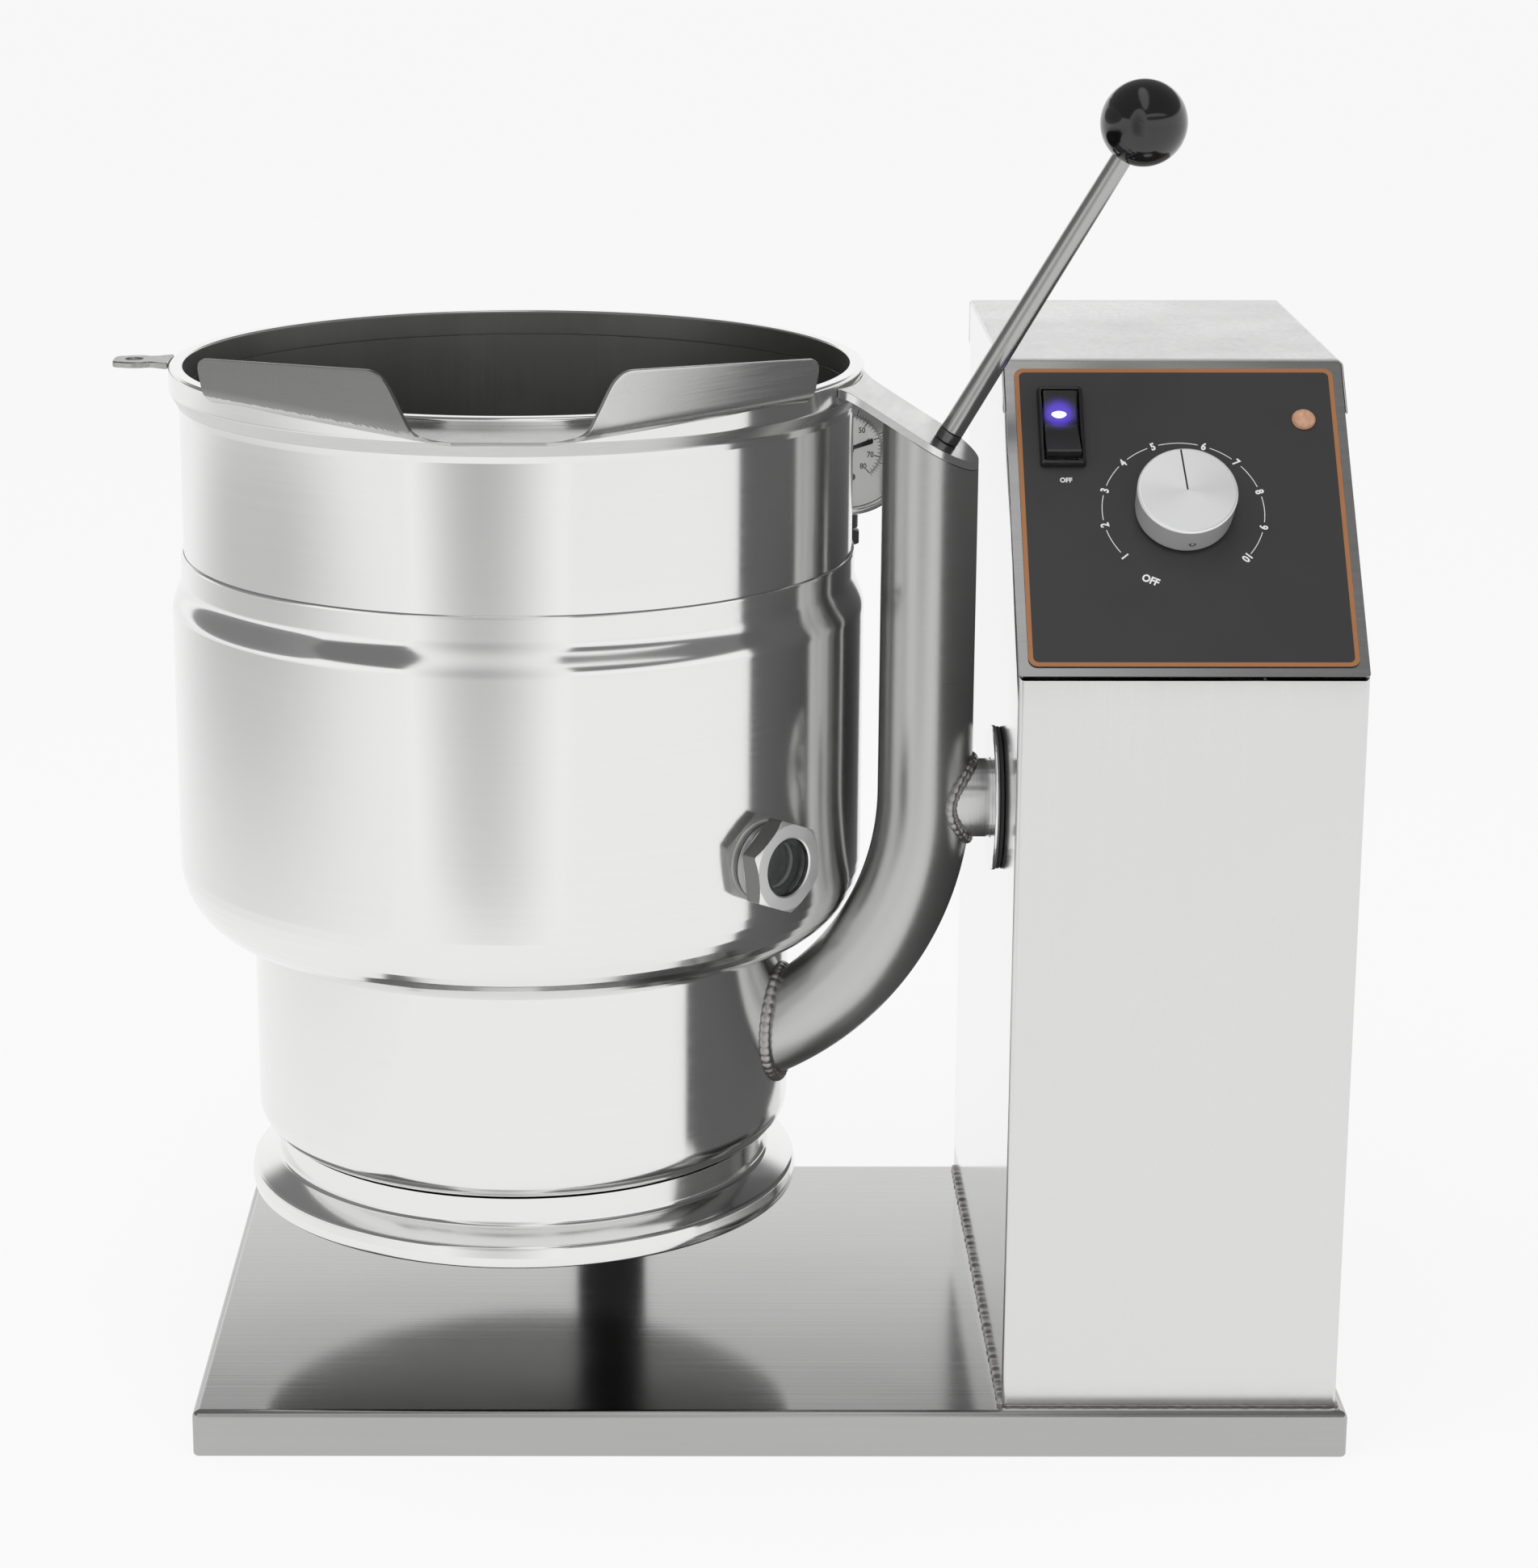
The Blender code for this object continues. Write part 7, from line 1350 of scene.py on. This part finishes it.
foot_weld = steel("foot_weld", (0.36, 0.35, 0.34), 0.35, (420.0, 420.0, 420.0), groove=0.8, cloud=0.6)
fillet_run("console_foot_bead_front", front_seam, 0.0008, 21, foot_weld, "stand")
fillet_run("console_foot_bead_left", left_seam, 0.0019, 41, foot_weld, "stand")
fillet_run("console_foot_bead_right", right_seam, 0.0011, 41, weld_steel, "stand")

# The sloping control panel: a brushed stainless sheet with bent edges, under
# a charcoal film with an orange border, with openings for what it carries.
PANEL_SHEET = 0.0015
FILM_LOW = 0.0003
FILM_TOP = 0.0009
FILM_BORDER = 0.0026
KNOB_AT = np.array((0.0942, 0.1040))
SWITCH_AT = np.array((0.0297, 0.1582))
LAMP_AT = np.array((0.1646, 0.1639))
LOW_WATER_AT = np.array((0.1646, 0.1420))
SWITCH_SIZE = np.array((0.0253, 0.0515))
SWITCH_WALL = 0.0012


def on_panel(x, y, z=0.0):
    """The world place of a point on the sloping panel."""
    return PANEL_AT + PANEL_AXES @ np.array((x, y, z))


def hole_ring(centre, radius):
    """A round opening as (x, y) points."""
    turns = circle(48)
    return centre + radius * np.stack((np.cos(turns), np.sin(turns)), -1)


def cut_sheet(name, outline, holes, low, high):
    """A sheet of any outline with openings in it, between two levels over the sloping panel."""
    loops = [np.asarray(loop) for loop in (outline, *holes)]
    flat = np.concatenate(loops)
    triangles = tessellate_polygon([[(x, y, 0.0) for x, y in loop] for loop in loops])
    count = len(flat)
    points = np.concatenate([on_plane(flat, level, PANEL_AT, PANEL_AXES) for level in (low, high)])
    faces = [list(corner)[::-1] for corner in triangles] + [[n + count for n in corner] for corner in triangles]
    start = 0
    for loop in loops:
        now = list(range(start, start + len(loop)))
        faces += [[a, b, b + count, a + count] for a, b in zip(now, now[1:] + now[:1])]
        start += len(loop)
    return tidy(new_piece(name, points, faces), 0.0000005)


switch_hole = plan_ring(SWITCH_SIZE - 2 * SWITCH_WALL + 0.0006, 0.0008) + SWITCH_AT
openings = [hole_ring(KNOB_AT, 0.00505), hole_ring(LAMP_AT, 0.0053), switch_hole]
low_water_hole = hole_ring(LOW_WATER_AT, 0.0043)
panel = cut_sheet("control_panel_sheet", plan_ring(PANEL_SIZE, 0.0015) + PANEL_SIZE / 2, openings + [low_water_hole],
                  -PANEL_SHEET, 0.0)
bevelled(panel, 0.0005, 3, 60.0)
panel_steel = steel("panel_steel", (0.52, 0.52, 0.515), 0.26, (3.0, 260.0, 260.0), groove=0.10, waves=0.03,
                    cloud=0.04)
dressed(panel, panel_steel, "stand", "brushed_stainless", "control_panel")
film_size = np.array((0.1884 - 2 * 0.0052, PANEL_SIZE[1] - 2 * 0.0055))
film_middle = PANEL_SIZE / 2
film = cut_sheet("panel_overlay_film", plan_ring(film_size, 0.0050, 12) + film_middle, openings, FILM_LOW, FILM_TOP)
film_charcoal = matt("film_charcoal", (0.038, 0.036, 0.037), 0.46, 900.0, grain=0.20, vary=0.10)
dressed(film, film_charcoal, "stand", "panel_film", "panel_overlay")
border = cut_sheet("panel_overlay_border", plan_ring(film_size - 0.0001, 0.0050, 12) + film_middle,
                   [plan_ring(film_size - 2 * FILM_BORDER, 0.0032, 12) + film_middle], FILM_TOP + 0.00001,
                   FILM_TOP + 0.00005)
film_orange = matt("film_orange", (0.39, 0.16, 0.058), 0.40, 900.0, grain=0.15, vary=0.06)
dressed(border, film_orange, "stand", "panel_film")

# The printing on the film: the numbers 1 to 10 and OFF round the knob, with a
# thin curved line from each number to the next, and OFF under the switch.
DIAL_PRINT_RADIUS = 0.0445
film_white = matt("film_white", (0.86, 0.86, 0.85), 0.45, 900.0, grain=0.05, vary=0.02)
PRINT_AT = on_panel(*KNOB_AT, FILM_TOP + 0.00001)
number_turns = np.radians([221.0, 191.7, 162.4, 135.0, 108.8, 71.8, 45.5, 16.5, -13.5, -42.5])
marks = [(str(number), (DIAL_PRINT_RADIUS * math.cos(turn), DIAL_PRINT_RADIUS * math.sin(turn)), turn - math.pi / 2)
         for number, turn in enumerate(number_turns, 1)]
off_turn = math.radians(245.2)
marks.append(("OFF", (0.0486 * math.cos(off_turn), 0.0486 * math.sin(off_turn)), off_turn - 1.5 * math.pi))
numbers = lettering("panel_numbers_print", marks, 0.0064, PRINT_AT, PANEL_AXES, PRINT, bold=0.00022, narrow=0.86)
dressed(numbers, film_white, "stand", "dial_white")
switch_mark = [("OFF", SWITCH_AT - KNOB_AT + (0.0012, -0.0340), 0.0)]
off_print = lettering("switch_off_print", switch_mark, 0.0042, PRINT_AT, PANEL_AXES, PRINT, bold=0.00014, narrow=0.92)
dressed(off_print, film_white, "stand", "dial_white")
loops = [band(DIAL_PRINT_RADIUS, 0.00042, first - 0.075, after + 0.075, 20)
         for first, after in zip(number_turns[:-1], number_turns[1:])]
arcs = flat_mesh("panel_arc_print", loops, PRINT_AT, PANEL_AXES, PRINT)
dressed(arcs, film_white, "stand", "dial_white")

# The power switch: a black plastic frame that stands on the film, and a
# hollowed rocker that tips on its pin, with a lit window near its top.
SWITCH_CENTRE = on_panel(*SWITCH_AT)
FRAME_LOW = 0.0012
FRAME_TOP = 0.0057
WELL = SWITCH_SIZE - 4 * SWITCH_WALL
rings = []
for size, corner, level in ((SWITCH_SIZE, 0.0020, FRAME_LOW), (SWITCH_SIZE, 0.0020, FRAME_LOW + 0.0016),
                            (SWITCH_SIZE - 0.0008, 0.0019, FRAME_TOP - 0.0010),
                            (SWITCH_SIZE - 0.0018, 0.0016, FRAME_TOP - 0.0002),
                            (SWITCH_SIZE - 0.0030, 0.0012, FRAME_TOP), (WELL + 0.0012, 0.0010, FRAME_TOP),
                            (WELL + 0.0003, 0.0008, FRAME_TOP - 0.0004), (WELL, 0.0006, FRAME_TOP - 0.0012),
                            (WELL, 0.0006, -0.0140), (WELL + 2 * SWITCH_WALL, 0.0007, -0.0140),
                            (WELL + 2 * SWITCH_WALL, 0.0007, FRAME_LOW)):
    rings.append(on_plane(plan_ring(size, corner), level, SWITCH_CENTRE, PANEL_AXES))
frame_ring = surface("switch_housing_frame", np.stack(rings), closed=True)
switch_black = matt("switch_black", (0.013, 0.013, 0.014), 0.24, 420.0, grain=0.06, coat=0.25)
dressed(frame_ring, switch_black, "stand", "black_plastic", "switch_housing")
ROCKER_TURN = math.radians(-7.0)
ROCKER_HALF = SWITCH_SIZE[0] / 2 - 2 * SWITCH_WALL - 0.0006
ROCKER_REACH = SWITCH_SIZE[1] / 2 - 2 * SWITCH_WALL - 0.0012
ROCKER_AT = SWITCH_CENTRE + PANEL_AXES[:, 2] * FRAME_TOP
tip = np.array(((1.0, 0.0, 0.0), (0.0, math.cos(ROCKER_TURN), -math.sin(ROCKER_TURN)),
                (0.0, math.sin(ROCKER_TURN), math.cos(ROCKER_TURN))))
ROCKER_AXES = PANEL_AXES @ tip
along = np.linspace(-1.0, 1.0, 61)
saddle = 0.0036 * np.abs(along) ** 1.6 - 0.0022 * (1 - np.abs(along) ** 1.6)
belly = -0.0022 - 0.0062 * np.sqrt(np.clip(1 - along ** 2 * 0.97, 0.0, 1.0))
edge_round = np.clip((1 - np.abs(along)) / 0.045, 0.0, 1.0)
saddle -= 0.0012 * (1 - np.sqrt(1 - (1 - edge_round) ** 2))
edge_steps = 0.09 * (1 - np.cos(np.linspace(0.0, math.pi / 2, 6)))
across = np.concatenate((-1.0 + edge_steps, np.linspace(-0.85, 0.85, 15), 1.0 - edge_steps[::-1]))
side_round = np.clip((1 - np.abs(across)) / 0.09, 0.0, 1.0)
drop = 0.0010 * (1 - np.sqrt(1 - (1 - side_round) ** 2))
top_sheet = np.stack(np.broadcast_arrays(across[None, :] * ROCKER_HALF, along[:, None] * ROCKER_REACH,
                                         saddle[:, None] - drop[None, :]), -1)
low_sheet = np.stack(np.broadcast_arrays(across[None, :] * ROCKER_HALF, along[:, None] * ROCKER_REACH,
                                         np.minimum(belly, saddle - 0.0020)[:, None]), -1)
loop = np.concatenate((top_sheet, low_sheet[:, ::-1]), 1)
caps = [loop[row].mean(0) * np.ones((1, loop.shape[1], 3)) for row in (0, -1)]
rocker = surface("switch_rocker_paddle", ROCKER_AT + np.concatenate((caps[0], loop, caps[1])) @ ROCKER_AXES.T)
LED_AT = ROCKER_AT + ROCKER_AXES @ np.array((-0.0010, 0.0081, -0.0012))
rocker_black = matt("rocker_black", (0.013, 0.013, 0.014), 0.22, 420.0, grain=0.06, coat=0.3, lit_from=LED_AT)
dressed(rocker, rocker_black, "rocker", "black_plastic", "switch_rocker")
turns = circle(48)
led_edge = np.stack((0.0046 * np.cos(turns), 0.0027 * np.sin(turns) * (0.55 + 0.45 * np.abs(np.sin(turns)))), -1)
led_steps = ((0.0, 0.0008), (0.5, 0.00065), (0.85, 0.00035), (1.0, -0.0001), (1.0, -0.0012), (0.0, -0.0012))
led = surface("switch_rocker_light", np.stack([on_plane(led_edge * share, rise, LED_AT, ROCKER_AXES)
                                               for share, rise in led_steps]))


def lit_window(name, centre, colour, strength, edge):
    """A lit window: white at its centre, and deeper in colour towards its edge."""
    paint, add = new_paint(name)
    away = add("VectorMath", operation="DISTANCE", in0=add("TexCoord", out="Object"), in1=tuple(centre))
    share = add("MapRange", interpolation_type="SMOOTHSTEP", Value=away, From_Min=0.0026, From_Max=0.0048)
    tone = add("Mix", data_type="RGBA", in0=share, in6=(*colour, 1.0), in7=(*edge, 1.0))
    add("OutputMaterial", Surface=add("BsdfPrincipled", Roughness=0.2, Base_Color=(0.8, 0.8, 0.9, 1.0),
                                      Emission_Color=tone, Emission_Strength=strength))
    return paint


led_light = lit_window("led_light", LED_AT, (0.85, 0.85, 1.0), 1.6, (0.20, 0.10, 1.0))
dressed(led, led_light, "rocker", "clear_glass")

# The heat lamp: a low dome of ribbed amber plastic with a flat flange that
# clips through the film and the panel sheet.
LAMP_CENTRE = on_panel(*LAMP_AT)
dome_top = 0.0052
profile = [(0.0, -0.0220), (0.0050, -0.0220), (0.0050, 0.0011), (0.0065, 0.0011), (0.0065, 0.0019)]
swell = np.linspace(0.0, math.pi / 2, 12)
profile += [(0.0062 * math.cos(turn), 0.0019 + (dome_top - 0.0019) * math.sin(turn)) for turn in swell]
profile[-1] = (0.0, dome_top)
lamp = surface("heat_lamp_lens", revolve(np.array(profile), LAMP_CENTRE, PANEL_AXES, 64))


def cloudy_lens(name, colour, glow):
    """Coloured lamp plastic: its inside is cloudy, its surface glossy, and it is faintly lit from behind."""
    paint, add = new_paint(name)
    facets = add("TexVoronoi", Vector=add("TexCoord", out="Object"), Scale=420.0)
    tone = add("Mix", data_type="RGBA", in0=facets, in6=lighter(colour, -0.28), in7=(*colour, 1.0))
    relief = add("Bump", Strength=0.25, Distance=0.0002, Height=facets)
    add("OutputMaterial", Surface=add("BsdfPrincipled", Base_Color=tone, Roughness=0.22, Normal=relief,
                                      Coat_Weight=0.6, Coat_Roughness=0.06, Emission_Color=tone,
                                      Emission_Strength=glow))
    return paint


amber_lens = cloudy_lens("amber_lens", (0.66, 0.37, 0.23), 0.10)
dressed(lamp, amber_lens, "stand", "amber_lens", "heat_lamp")
dark_lens = cloudy_lens("dark_lens", (0.05, 0.05, 0.055), 0.0)
turned("low_water_lamp_window", ring_section(0.0, 0.0040, -0.0220, 0.0), [0.0003, 0.0003], on_panel(*LOW_WATER_AT),
       PANEL_AXES, dark_lens, "stand", "dark_lens", "low_water_lamp", steps=3, sides=48)

# The thermostat's knob: spun aluminium with a flat face turned in fine rings,
# a finely knurled side, a black pointer line and a black set screw below.
KNOB_RADIUS = 0.0275
KNOB_FOOT = 0.0029
KNOB_FACE = 0.0224
KNOB_WALL = 0.0022
POINTER_TURN = math.radians(94.9)
KNOB_CENTRE = on_panel(*KNOB_AT)
turns = circle(384)
steps = [(0.0, KNOB_FACE, 0), (0.0060, KNOB_FACE, 0), (0.0140, KNOB_FACE, 0), (0.0210, KNOB_FACE, 0),
         (KNOB_RADIUS - 0.0016, KNOB_FACE, 0), (KNOB_RADIUS - 0.0013, KNOB_FACE, 0),
         (KNOB_RADIUS - 0.0007, KNOB_FACE - 0.0002, 0), (KNOB_RADIUS - 0.0002, KNOB_FACE - 0.0007, 0),
         (KNOB_RADIUS, KNOB_FACE - 0.0013, 0), (KNOB_RADIUS - 0.00005, KNOB_FACE - 0.0020, 1),
         (KNOB_RADIUS - 0.0006, KNOB_FOOT + 0.0022, 1), (KNOB_RADIUS - 0.0007, KNOB_FOOT + 0.0014, 0),
         (KNOB_RADIUS - 0.0009, KNOB_FOOT, 0), (KNOB_RADIUS - 0.0028, KNOB_FOOT, 0),
         (KNOB_RADIUS - 0.0028, KNOB_FACE - KNOB_WALL, 0), (0.0075, KNOB_FACE - KNOB_WALL, 0),
         (0.0075, KNOB_FOOT + 0.0010, 0), (0.00345, KNOB_FOOT + 0.0010, 0), (0.00345, KNOB_FOOT + 0.0143, 0),
         (0.0, KNOB_FOOT + 0.0143, 0)]
ridge = 0.00009 * (np.arange(len(turns)) % 2)
rings = [ring_at(KNOB_CENTRE, PANEL_AXES, radius - ridge * knurled, level, turns) for radius, level, knurled in steps]
knob = surface("control_knob_cap", np.stack(rings))


def spun_metal(name, colour, centre, axes, roughness=0.22, stretch=0.85):
    """Metal turned on a lathe: rings about an axis in bump, stretched highlights square to them."""
    paint, add = new_paint(name)
    offset = add("VectorMath", operation="SUBTRACT", in0=add("TexCoord", out="Object"), in1=tuple(centre))
    cross = add("VectorMath", operation="CROSS_PRODUCT", in0=offset, in1=tuple(axes[:, 2]))
    away = add("VectorMath", operation="LENGTH", in0=cross)
    rings = add("TexNoise", noise_dimensions="1D", W=away, Scale=9000.0, Detail=2.0)
    relief = add("Bump", Strength=0.10, Distance=0.00005, Height=rings)
    rough = add("MapRange", Value=rings, To_Min=roughness - 0.05, To_Max=roughness + 0.07)
    tangent = add("VectorMath", operation="NORMALIZE", in0=cross)
    add("OutputMaterial", Surface=add("BsdfPrincipled", Metallic=0.5, Anisotropic=stretch, Base_Color=(*colour, 1.0),
                                      Tangent=tangent, Roughness=rough, Normal=relief))
    return paint


spun_aluminium = spun_metal("spun_aluminium", (0.93, 0.93, 0.935), KNOB_CENTRE, PANEL_AXES)
dressed(knob, spun_aluminium, "thermostat_knob", "spun_aluminium", "control_knob")
pointer = flat_mesh("control_knob_pointer", [stroke(POINTER_TURN, 0.0002, KNOB_RADIUS - 0.0012, 0.0009)],
                    KNOB_CENTRE + PANEL_AXES[:, 2] * (KNOB_FACE + 0.00001), PANEL_AXES, 0.00005)
dressed(pointer, ink_black, "thermostat_knob", "black_plastic")
SCREW_TURN = math.radians(274.9)
screw_way = PANEL_AXES @ (math.cos(SCREW_TURN), math.sin(SCREW_TURN), 0.0)
screw_axes = np.stack((np.cross(PANEL_AXES[:, 2], screw_way), PANEL_AXES[:, 2], screw_way), 1)
screw_at = KNOB_CENTRE + PANEL_AXES[:, 2] * (KNOB_FOOT - 0.0020 + 0.0085)
set_black = matt("set_black", (0.012, 0.012, 0.012), 0.35, 500.0, grain=0.10)
turned("control_knob_set_screw", [(0.0, KNOB_RADIUS - 0.0030), (0.0020, KNOB_RADIUS - 0.0030),
                                  (0.0020, KNOB_RADIUS - 0.00045), (0.0011, KNOB_RADIUS - 0.00045),
                                  (0.0011, KNOB_RADIUS - 0.0020), (0.0, KNOB_RADIUS - 0.0020)],
       [0.0002, 0.0003, 0.0001, 0.0], screw_at, screw_axes, set_black, "thermostat_knob", "dark_steel",
       "knob_set_screw", steps=3, sides=36)

# What the console, the jacket and the base hide. These pieces keep the shape
# they have in the part and take the metals and plastics they are made of.
inner_steel = steel("inner_steel", (0.46, 0.46, 0.455), 0.38, (120.0, 120.0, 120.0), groove=0.12, cloud=0.10)
bronze = steel("bronze", (0.55, 0.36, 0.17), 0.34, (200.0, 200.0, 200.0), groove=0.12, cloud=0.12)
sheathed = steel("sheathed", (0.30, 0.31, 0.30), 0.42, (300.0, 300.0, 300.0), groove=0.10, cloud=0.18)
board_green = matt("board_green", (0.010, 0.085, 0.035), 0.35, 600.0, grain=0.10, coat=0.2)
inner_black = matt("inner_black", (0.022, 0.022, 0.023), 0.45, 420.0, grain=0.12)
for paint, nodes in ((inner_steel, ("thermostat_shaft", "component_plate", "sump_plate", "trunnion_bracket",
                                    "tilt_stop_bar", "stop_collar", "level_probe")),
                     (bronze, ("trunnion_bush_left", "trunnion_bush_right")),
                     (sheathed, ("heating_element_1", "heating_element_2", "heating_element_3", "thermostat_bulb")),
                     (board_green, ("level_control_board",)),
                     (inner_black, ("thermostat_body", "contactor", "terminal_block"))):
    for node in nodes:
        bpy.data.objects[node].data.materials.clear()
        bpy.data.objects[node].data.materials.append(paint)
